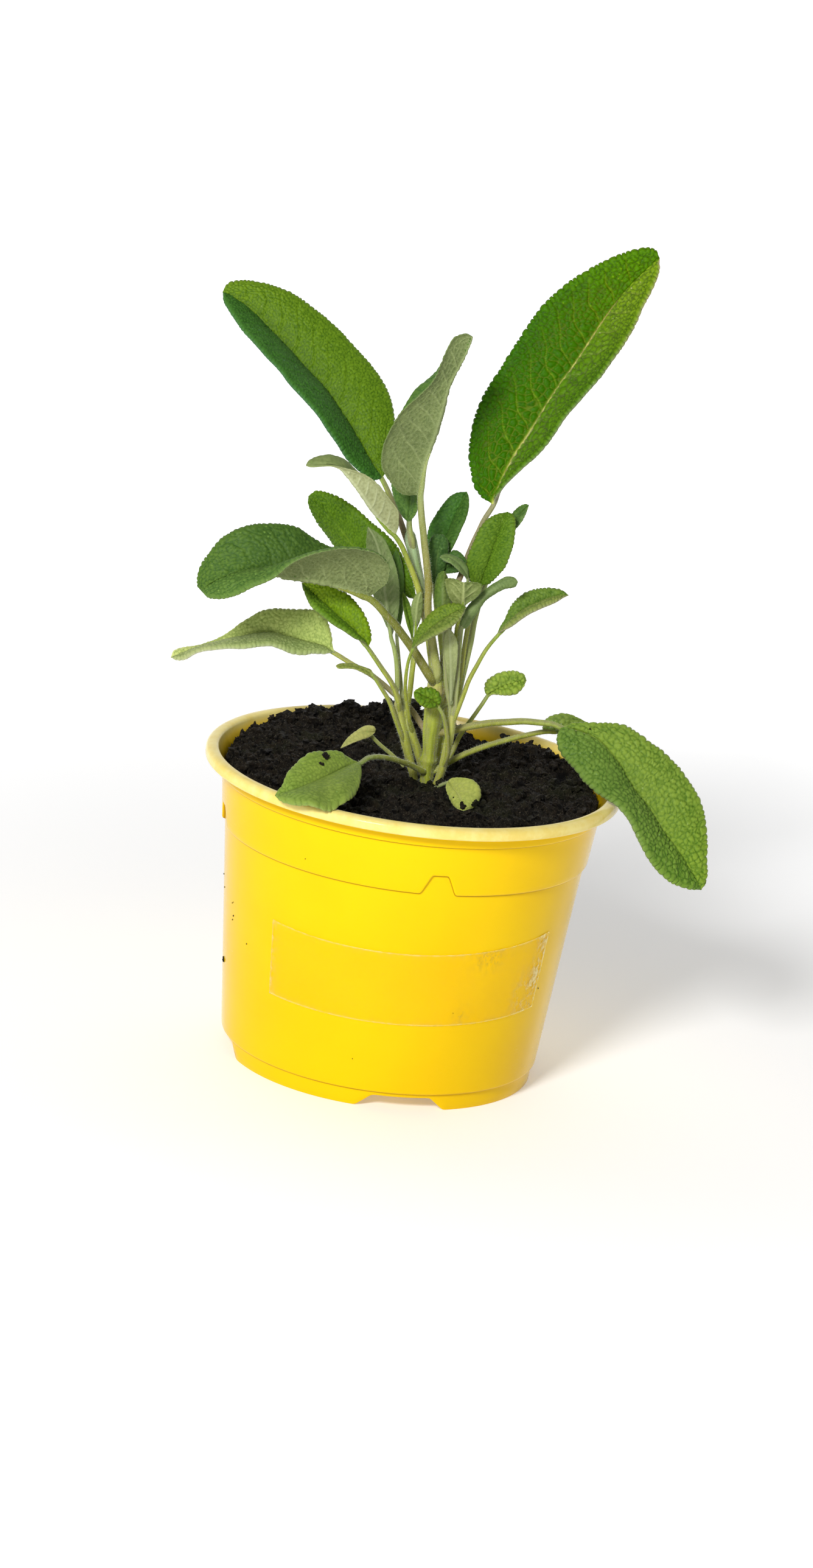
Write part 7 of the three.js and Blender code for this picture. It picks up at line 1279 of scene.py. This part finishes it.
# the moulding is never quite round or flat
warp = 0.07 * np.sin(2 * a + 0.7) + 0.04 * np.sin(3 * a + 2.0)
RR = np.where(RR > 30, RR + warp[None, :] * sm(Z, 5, 70), RR)
X = AX + RR * np.sin(a)[None, :]
Y = -RR * np.cos(a)[None, :]
V = np.stack([X, Y, Z], -1)
m_, c_ = V.shape[:2]
ii, jj = np.meshgrid(np.arange(1, m_ - 2), np.arange(c_), indexing="ij")
kk = (jj + 1) % c_
quads = np.stack([ii * c_ + jj, ii * c_ + kk, (ii + 1) * c_ + kk, (ii + 1) * c_ + jj], -1).reshape(-1, 4)
verts = V[1:-1].reshape(-1, 3)
quads = quads - c_
j = np.arange(c_)
nvp = len(verts)
verts = np.vstack([verts, [[AX, 0, 4.3]], [[AX, 0, 5.5]]])
tris = np.concatenate([np.stack([np.full(c_, nvp), (j + 1) % c_, j], 1), np.stack([np.full(c_, nvp + 1), (m_ - 3) * c_ + j, (m_ - 3) * c_ + (j + 1) % c_], 1)])
b = Build()
inner = np.arange(len(rings))[:, None] + 0 * RR > next(i for i, r in enumerate(rings) if r[2][0] == 0.9 and r[0][0] == 76.6)
# the inner wall goes dark brown towards the compost, most on the left
soiled = np.where(inner & (RR > 42), (1 - sm(Z, 72.0, 75.6)) * (0.45 + 0.55 * sm(-np.cos(a - np.radians(285))[None, :], 0.2, -0.9)), 0)
b.add(verts, quads=quads, tris=tris, mat=0, rim=np.concatenate([RIM[1:-1].reshape(-1), [0, 0]]), line=np.concatenate([STEP_SHADE[1:-1].reshape(-1), [0, 0]]), soiled=np.concatenate([soiled[1:-1].reshape(-1), [0, 0]]))
pot = b.make("nursery_pot", [pot_material()], node="pot")


def drill(ob, cx, cy, r, z0, z1, seg=40):
    """the points of one round cutter: a ring at the bottom and a ring at the top"""
    t = np.linspace(0, 2 * np.pi, seg, endpoint=False)
    lo = np.stack([cx + r * np.cos(t), cy + r * np.sin(t), np.full(seg, z0)], 1)
    hi = lo + [0, 0, z1 - z0]
    return np.vstack([lo, hi])


cut = Build()
for k in range(8):
    t = math.radians(22.5 + 45 * k)
    v = drill(pot, AX + 28 * math.cos(t), 28 * math.sin(t), 3.2, 3.0, 7.0)
    i = np.arange(40)
    q = np.stack([i, (i + 1) % 40, (i + 1) % 40 + 40, i + 40], 1)
    fan = np.concatenate([np.stack([np.zeros(38, int), np.arange(2, 40), np.arange(1, 39)], 1), 40 + np.stack([np.zeros(38, int), np.arange(1, 39), np.arange(2, 40)], 1)])
    cut.add(v, quads=q, tris=fan)
me_cut = bpy.data.meshes.new("cutter")
cv = np.concatenate(cut.v) * MM
me_cut.from_pydata(cv.tolist(), [], [list(map(int, f)) for f in np.concatenate(cut.q)] + [list(map(int, f)) for f in np.concatenate(cut.t)])
cutter = bpy.data.objects.new("cutter", me_cut)
scene.collection.objects.link(cutter)
mod = pot.modifiers.new("drain", "BOOLEAN")
mod.operation = "DIFFERENCE"
mod.solver = "EXACT"
mod.object = cutter
bpy.context.view_layer.update()
dg = bpy.context.evaluated_depsgraph_get()
new_mesh = bpy.data.meshes.new_from_object(pot.evaluated_get(dg), preserve_all_data_layers=True, depsgraph=dg)
pot.modifiers.clear()
pot.data = new_mesh
bpy.data.objects.remove(cutter)

# ------------------------------------------------------------------ label film
fa = np.arange(-42, 60.01, 0.85)
fa_rad = np.radians(fa)
zl = 23.05 + 0.00045 * (fa + 12) ** 2
zt = 42.15 + 0.0008 * (fa + 8) ** 2
rowsf = np.concatenate([[0, 0.012, 0.03], np.linspace(0.06, 0.94, 22), [0.97, 0.988, 1]])
Zf = zl[None, :] + (zt - zl)[None, :] * rowsf[:, None]
lift = 0.05 * vnoise(fa[None, :] / 5 + 0 * Zf, Zf / 4, 5) + 0.03 * vnoise(fa[None, :] / 1.6 + 0 * Zf, Zf / 1.6, 9)
d_edge = np.minimum(np.minimum((Zf - zl[None, :]), (zt[None, :] - Zf)), np.minimum((fa - fa[0])[None, :] * 0.76, (fa[-1] - fa)[None, :] * 0.76))
lift = lift * sm(d_edge, 0, 1.5) + 0.16
worn = np.clip(sm(fa, 52, 58)[None, :] * 0.85 + sm(fa, 44, 52)[None, :] * gauss(Zf - 30, 5) * 0.6 + 0 * Zf + 0.12 * (1 - sm(d_edge, 0.3, 1.6)) + 0.5 * (1 - sm(fa, -42, -37))[None, :] * 0.5, 0, 1)
stain = np.clip(gauss((fa - 34)[None, :], 6) * gauss(Zf - 41.5, 3.0) + 0.8 * gauss((fa - 27)[None, :], 3) * gauss(Zf - 26, 2.5), 0, 1)
edge = 1 - sm(d_edge, 0.05, 0.55)
warpf = 0.07 * np.sin(2 * fa_rad + 0.7) + 0.04 * np.sin(3 * fa_rad + 2.0)
shells = []
for up in (lift + 0.08, lift):
    Rf = body_r(Zf) + up + warpf[None, :] * sm(Zf, 5, 70)
    shells.append(np.stack([AX + Rf * np.sin(fa_rad)[None, :], -Rf * np.cos(fa_rad)[None, :], Zf], -1))
rf, cf = Zf.shape
ii, jj = np.meshgrid(np.arange(rf - 1), np.arange(cf - 1), indexing="ij")
qo = np.stack([ii * cf + jj, ii * cf + jj + 1, (ii + 1) * cf + jj + 1, (ii + 1) * cf + jj], -1).reshape(-1, 4)
nvf = rf * cf
i, j = np.arange(rf - 1), np.arange(cf - 1)
rimf = [
    np.stack([i * cf, (i + 1) * cf, (i + 1) * cf + nvf, i * cf + nvf], 1),
    np.stack([(i + 1) * cf + cf - 1, i * cf + cf - 1, i * cf + cf - 1 + nvf, (i + 1) * cf + cf - 1 + nvf], 1),
    np.stack([j + 1, j, j + nvf, j + 1 + nvf], 1),
    np.stack([(rf - 1) * cf + j, (rf - 1) * cf + j + 1, (rf - 1) * cf + j + 1 + nvf, (rf - 1) * cf + j + nvf], 1),
]
b = Build()
two = lambda q_: np.concatenate([q_.reshape(-1), q_.reshape(-1)])
b.add(np.concatenate([s_.reshape(-1, 3) for s_ in shells]), quads=np.concatenate([qo, qo[:, ::-1] + nvf] + rimf), edge=two(edge), worn=two(worn), stain=two(stain))
b.make("bare_label_film", [film_material()], node="label_film")

# ------------------------------------------------------------------ compost


def soil_height(x, y):
    """x and y from the pot's axis, in mm"""
    bump = lambda cx, cy, s, h: h * np.exp(-((x - cx) ** 2 + (y - cy) ** 2) / (2 * s * s))
    return (
        72.1
        + bump(-20, 38, 11, 4.6)
        + bump(-2, 44, 8, 3.2)
        + bump(-38, 24, 8, 1.6)
        + bump(-44, 6, 6, -1.6)
        + bump(34, 31, 13, 2.6)
        + bump(-43, 10, 12, 2.0)
        + bump(-24, 40, 5, -1.6)
        + bump(34, -10, 12, 0.7)
        + bump(5, -38, 12, 0.6)
        + 0.35 * np.sin(0.42 * x + 1.1) * np.cos(0.37 * y + 0.4)
    )


def crumble(x, y):
    """relief of crumbs from about 5 mm down to under 1 mm"""
    h = np.zeros_like(x)
    wx = x + 0.8 * vnoise(x / 2.5, y / 2.5, 31)
    wy = y + 0.8 * vnoise(x / 2.5, y / 2.5, 32)
    for size, amp, sd in ((9.0, 2.5, 40), (4.2, 1.7, 41), (2.3, 1.25, 42), (1.3, 0.75, 43), (0.8, 0.26, 44)):
        f1, f2, r = worley(wx / size + sd, wy / size - sd, sd, 0.95)
        h += amp * (0.35 + 0.9 * r) * np.sqrt(np.clip(1 - (f1 / 0.72) ** 2, 0, 1)) - amp * 0.35
    return h + 0.34 * vnoise(x / 0.62, y / 0.62, 45)


soil_mat = soil_material()
RAD = 47.6
nr, na = 118, 560
rho = np.concatenate([[0.4], np.linspace(1.0, RAD, nr)])
ta = np.linspace(0, 2 * np.pi, na, endpoint=False)
gx, gy = rho[:, None] * np.cos(ta)[None, :], rho[:, None] * np.sin(ta)[None, :]
# even grid inside, so that crumbs look alike all over
G = 0.46
xs = np.arange(-RAD, RAD + G, G)
sx, sy = np.meshgrid(xs, xs, indexing="ij")
rr0 = np.hypot(sx, sy)
lim = 47.0
over = rr0 > lim
scale = np.where(over, lim / np.maximum(rr0, 1e-6), 1.0)
near_grid = rr0 < lim + G * 1.6
px_, py_ = sx * scale, sy * scale
hh = soil_height(px_, py_) + crumble(px_, py_)
rimfall = sm(np.hypot(px_, py_), 44.5, 47.0)
hh = hh - 0.3 * rimfall
# the compost stays under the leaves that lie on it
LOW = np.concatenate(LOW_POINTS)
cellz = {}
C = 0.8


def ceiling_of(x, y):
    """height of the lowest leaf above x, y"""
    n_ = 140
    if "z" not in cellz:
        z_ = np.full((n_, n_), 999.0)
        i_ = np.floor((LOW[:, 0] - AX) / C + n_ / 2).astype(int)
        j_ = np.floor(LOW[:, 1] / C + n_ / 2).astype(int)
        ok_ = (i_ > 1) & (i_ < n_ - 2) & (j_ > 1) & (j_ < n_ - 2)
        for di in (-1, 0, 1):
            for dj in (-1, 0, 1):
                np.minimum.at(z_, (i_[ok_] + di, j_[ok_] + dj), LOW[ok_, 2])
        cellz["z"] = z_
    i_ = np.clip(np.floor(x / C + n_ / 2).astype(int), 0, n_ - 1)
    j_ = np.clip(np.floor(y / C + n_ / 2).astype(int), 0, n_ - 1)
    return cellz["z"][i_, j_]


hh = np.minimum(hh, ceiling_of(px_, py_) - 0.5)
# height in the crumb relief; the material paints the low places near black as shade
cellv = np.clip((crumble(px_, py_) + 1.0) / 4.2, 0, 1)
idx = -np.ones(sx.shape, int)
idx[near_grid] = np.arange(near_grid.sum())
qa = np.stack([idx[:-1, :-1], idx[1:, :-1], idx[1:, 1:], idx[:-1, 1:]], -1).reshape(-1, 4)
inside = (rr0 < lim)
use = (inside[:-1, :-1] | inside[1:, :-1] | inside[1:, 1:] | inside[:-1, 1:]).reshape(-1) & (qa >= 0).all(1)
qa = qa[use]
vx = np.stack([px_[near_grid] + AX, py_[near_grid], hh[near_grid]], -1)
cellv = cellv[near_grid]
grain = hash2(np.floor(vx[:, 0] / 1.1), np.floor(vx[:, 1] / 1.1), 77)[0] ** 3
# close the body: a skirt down the pot's wall and a flat bottom
edges = {}
for f in qa:
    for p, q_ in ((f[0], f[1]), (f[1], f[2]), (f[2], f[3]), (f[3], f[0])):
        if (q_, p) in edges:
            del edges[(q_, p)]
        else:
            edges[(p, q_)] = True
nxt = {p: q_ for p, q_ in edges}
start = next(iter(nxt))
loop = [start]
while nxt[loop[-1]] != start and len(loop) <= len(nxt):
    loop.append(nxt[loop[-1]])
loop = np.array(loop)
lp = vx[loop]
ang = np.arctan2(lp[:, 1], lp[:, 0] - AX)
levels = [(66.0, 45.0), (57.0, 43.9), (8.0, 38.6), (5.9, 36.8)]
b = Build()
vall, quad_list = [vx], [qa]
prev = loop
base = len(vx)
for z, r in levels:
    rowv = np.stack([AX + r * np.cos(ang), r * np.sin(ang), np.full(len(ang), z)], -1)
    cur = base + np.arange(len(ang))
    nx_ = np.roll(np.arange(len(ang)), -1)
    quad_list.append(np.stack([prev[nx_], prev, cur, cur[nx_]], 1))
    vall.append(rowv)
    prev = cur
    base += len(ang)
vall.append(np.array([[AX, 0, 5.9]]))
nx_ = np.roll(np.arange(len(ang)), -1)
tri = np.stack([prev[nx_], prev, np.full(len(ang), base)], 1)
vs = np.concatenate(vall)
pad = len(vs) - len(vx)
b.add(vs, quads=np.concatenate(quad_list), tris=tri, cell=np.concatenate([cellv, np.full(pad, 0.5)]), grain=np.concatenate([grain, np.zeros(pad)]))
b.make("compost_bed", [soil_mat], node="soil")

# loose crumbs: small lumps, each its own closed body
ICO_T = (1 + 5**0.5) / 2
ICO_V = np.array([(-1, ICO_T, 0), (1, ICO_T, 0), (-1, -ICO_T, 0), (1, -ICO_T, 0), (0, -1, ICO_T), (0, 1, ICO_T), (0, -1, -ICO_T), (0, 1, -ICO_T), (ICO_T, 0, -1), (ICO_T, 0, 1), (-ICO_T, 0, -1), (-ICO_T, 0, 1)], float)
ICO_F = np.array([(0, 11, 5), (0, 5, 1), (0, 1, 7), (0, 7, 10), (0, 10, 11), (1, 5, 9), (5, 11, 4), (11, 10, 2), (10, 7, 6), (7, 1, 8), (3, 9, 4), (3, 4, 2), (3, 2, 6), (3, 6, 8), (3, 8, 9), (4, 9, 5), (2, 4, 11), (6, 2, 10), (8, 6, 7), (9, 8, 1)])


def ico2():
    v = [tuple(p) for p in unit(ICO_V)]
    mid = {}
    f = []
    for a_, b_, c_2 in ICO_F:
        e_ = []
        for p, q_ in ((a_, b_), (b_, c_2), (c_2, a_)):
            key = (min(p, q_), max(p, q_))
            if key not in mid:
                mid[key] = len(v)
                w = np.array(v[p]) + np.array(v[q_])
                v.append(tuple(w / np.linalg.norm(w)))
            e_.append(mid[key])
        f += [(a_, e_[0], e_[2]), (b_, e_[1], e_[0]), (c_2, e_[2], e_[1]), (e_[0], e_[1], e_[2])]
    return np.array(v), np.array(f)


ICO2_V, ICO2_F = ico2()


def lumps(b, pos, size, seed, fine=True, mat=0, flat=0.8):
    r = rng(seed)
    bv, bf = (ICO2_V, ICO2_F) if fine else (unit(ICO_V), ICO_F)
    k, nvv = len(pos), len(bv)
    q_, _ = np.linalg.qr(r.normal(size=(k, 3, 3)))
    rad_ = 1 + 0.95 * (r.random((k, nvv, 1)) - 0.5)
    sc = r.uniform(0.65, 1.25, (k, 1, 3))
    v = np.einsum("kij,knj->kni", q_, bv[None] * rad_ * sc) * np.asarray(size).reshape(-1, 1, 1)
    v[..., 2] *= flat
    v = v + pos[:, None, :]
    t_ = (bf[None] + (np.arange(k) * nvv)[:, None, None]).reshape(-1, 3)
    # keep the faces outward after a mirroring rotation
    det = np.linalg.det(q_) < 0
    t_ = t_.reshape(k, -1, 3)
    t_[det] = t_[det][:, :, ::-1]
    g_ = np.repeat(r.random(k) ** 2, nvv)
    # cell: light on top of each lump and dark below, painted shade for the material
    b.add(v.reshape(-1, 3), tris=t_.reshape(-1, 3), mat=mat, cell=np.clip(0.55 + 0.4 * bv[None, :, 2] + 0 * v[..., 2], 0, 1).reshape(-1), grain=g_)


r0 = rng(2024)
k = 1500
rad0 = 46.6 * np.sqrt(r0.random(k))
ang0 = r0.random(k) * 2 * np.pi
cx, cy = rad0 * np.cos(ang0), rad0 * np.sin(ang0)
size = 0.40 + 1.0 * r0.random(k) ** 2.4
# taller pile at the back left
k2 = 420
bx, by = r0.normal(-18, 13, k2), r0.normal(38, 5.5, k2)
ok = np.hypot(bx, by) < 46.8
bx, by = bx[ok], by[ok]
cx, cy = np.concatenate([cx, bx]), np.concatenate([cy, by])
size = np.concatenate([size, 0.6 + 1.3 * r0.random(len(bx)) ** 1.8])
lim_r = 47.2 - size
sc_ = np.minimum(1, lim_r / np.maximum(np.hypot(cx, cy), 1e-6))
cx, cy = cx * sc_, cy * sc_
cz = soil_height(cx, cy) + crumble(cx, cy) + 0.25 * size
keep = (np.hypot(cx - 0.5, cy + 1.0) > 5.5) & (cz + 1.3 * size < ceiling_of(cx, cy) - 0.2)
b = Build()
pos = np.stack([cx + AX, cy, cz], -1)[keep]
sz = size[keep]
big = sz > 0.85
lumps(b, pos[big], sz[big], 5, True)
lumps(b, pos[~big], sz[~big], 6, False)
b.make("compost_crumbs", [soil_mat], smooth=False)

# crumbs that were thrown onto the low leaves
r1 = rng(77)
spots, sizes_ = [], []
for leaf_, t_, s_, size_ in (("leaf_t", 0.43, 0.66, 0.85), ("leaf_t", 0.43, 0.60, 0.8), ("leaf_t", 0.44, 0.72, 0.7), ("leaf_t", 0.50, 0.42, 0.62), ("leaf_t", 0.51, 0.45, 0.4), ("leaf_v", 0.86, 0.10, 0.7), ("leaf_v", 0.93, 0.12, 0.8), ("leaf_v", 0.80, 0.05, 0.45), ("leaf_v", 0.55, 0.60, 0.22), ("leaf_w", 0.12, -0.40, 0.25)):
    top_, N_, tt_, sv_ = SURF[leaf_]
    i_, j_ = int(np.argmin(np.abs(tt_ - t_))), int(np.argmin(np.abs(sv_ - s_)))
    nn_ = N_[i_, j_] if N_[i_, j_, 2] > 0 else -N_[i_, j_]
    spots.append(top_[i_, j_] + nn_ * size_ * 0.45)
    sizes_.append(size_)
b = Build()
lumps(b, np.array(spots), np.array(sizes_), 78, True)
b.make("crumbs_on_leaves", [soil_mat], smooth=False)
spots, sizes_ = [], []
for f_, z_, size_ in ((-78.0, 22.7, 0.55), (-78.6, 23.3, 0.4), (-67.0, 36.4, 0.22), (-66.2, 37.6, 0.2), (-67.6, 40.6, 0.16), (-66.8, 41.0, 0.14), (-55.6, 33.0, 0.2), (-80.0, 41.5, 0.2), (-84.0, 44.0, 0.2), (-8.0, 12.5, 0.14), (24.0, 27.0, 0.16), (62.0, 30.0, 0.18), (-30.0, 62.0, 0.14), (118.0, 33.0, 0.25), (122.0, 34.5, 0.2), (171.0, 18.0, 0.22), (205.0, 45.0, 0.2), (236.0, 26.0, 0.26), (240.0, 27.0, 0.18)):
    w_ = math.radians(f_)
    r_ = body_r(z_) if z_ < 58 else collar_r(z_)
    r_ += 0.07 * math.sin(2 * w_ + 0.7) + 0.04 * math.sin(3 * w_ + 2.0) + 0.25 * size_
    spots.append((AX + r_ * math.sin(w_), -r_ * math.cos(w_), z_))
    sizes_.append(size_)
b = Build()
lumps(b, np.array(spots), np.array(sizes_), 79, True)
b.make("compost_specks_on_pot", [soil_mat], smooth=False)

# ------------------------------------------------------------------ stage, light, camera
KEY, WORLD_FRONT, WORLD_BACK = 14.5, 0.15, 1.0


def plain_stage_material():
    k = Nodes("pale_floor")
    f = k.noise(2.0, 2.0)
    p = k.node("ShaderNodeVectorMath", operation="LENGTH")
    k.put(p.inputs[0], k.object_xyz())
    # painted light: the floor glows, more the farther it is from the middle, so that it stays white where the key
    # light falls off
    glow = k.ramp(p.outputs["Value"], 0.10, 0.62, 0.22, 0.86)
    k.principled(k.mix(f, (0.93, 0.93, 0.93), (0.95, 0.95, 0.95)), 0.9, Specular_IOR_Level=0.1, Emission_Color=(1.0, 1.0, 1.0), Emission_Strength=glow)
    return k.m


me = bpy.data.meshes.new("floor")
S = 14.0
me.from_pydata([(-S, -S, 0), (S, -S, 0), (S, S, 0), (-S, S, 0)], [], [(0, 1, 2, 3)])
me.materials.append(plain_stage_material())
floor = bpy.data.objects.new("floor", me)
scene.collection.objects.link(floor)

world = bpy.data.worlds.new("studio")
scene.world = world
world.use_nodes = True
wt = world.node_tree
bg = wt.nodes["Background"]
bg.inputs["Color"].default_value = (1.0, 1.0, 1.0, 1.0)
# the room's pale wall is behind the object, so it is brighter there than in front
geo = wt.nodes.new("ShaderNodeTexCoord")
sep = wt.nodes.new("ShaderNodeSeparateXYZ")
wt.links.new(geo.outputs["Generated"], sep.inputs[0])
fade = wt.nodes.new("ShaderNodeMapRange")
fade.interpolation_type = "SMOOTHSTEP"
wt.links.new(sep.outputs["Y"], fade.inputs["Value"])
fade.inputs["From Min"].default_value = 0.0
fade.inputs["From Max"].default_value = 0.75
fade.inputs["To Min"].default_value = WORLD_FRONT
fade.inputs["To Max"].default_value = WORLD_BACK
wt.links.new(fade.outputs["Result"], bg.inputs["Strength"])


def area(name, loc, target, size, energy, color=(1, 1, 1)):
    li = bpy.data.lights.new(name, "AREA")
    li.shape = "DISK"
    li.size = size
    li.energy = energy
    li.color = color
    ob = bpy.data.objects.new(name, li)
    scene.collection.objects.link(ob)
    from mathutils import Vector

    ob.location = loc
    ob.rotation_euler = (Vector(target) - Vector(loc)).to_track_quat("-Z", "Y").to_euler()
    return ob


area("key", (-0.40, -1.05, 0.76), (0, 0, 0.09), 0.30, KEY)

cam_data = bpy.data.cameras.new("camera")
cam = bpy.data.objects.new("camera", cam_data)
scene.collection.objects.link(cam)
scene.camera = cam
from mathutils import Matrix

e, roll = math.radians(16.395), math.radians(7.476)
right = np.array([1.0, 0, 0])
upv = np.array([0, math.sin(e), math.cos(e)])
fwd = np.array([0, math.cos(e), -math.sin(e)])
r2 = math.cos(roll) * right + math.sin(roll) * upv
u2 = -math.sin(roll) * right + math.cos(roll) * upv
loc = np.array([-1.330 + AX, -1171.748, 416.973]) * MM
cam.matrix_world = Matrix(((r2[0], u2[0], -fwd[0], loc[0]), (r2[1], u2[1], -fwd[1], loc[1]), (r2[2], u2[2], -fwd[2], loc[2]), (0, 0, 0, 1)))
cam_data.sensor_width = 36
cam_data.sensor_fit = "AUTO"
cam_data.lens = 8000 / 2576 * 36
cam_data.clip_start = 0.01
cam_data.clip_end = 100

scene.view_settings.view_transform = "Standard"
scene.view_settings.look = "None"
scene.view_settings.exposure = 0.0
scene.view_settings.gamma = 1.0

bpy.context.view_layer.update()
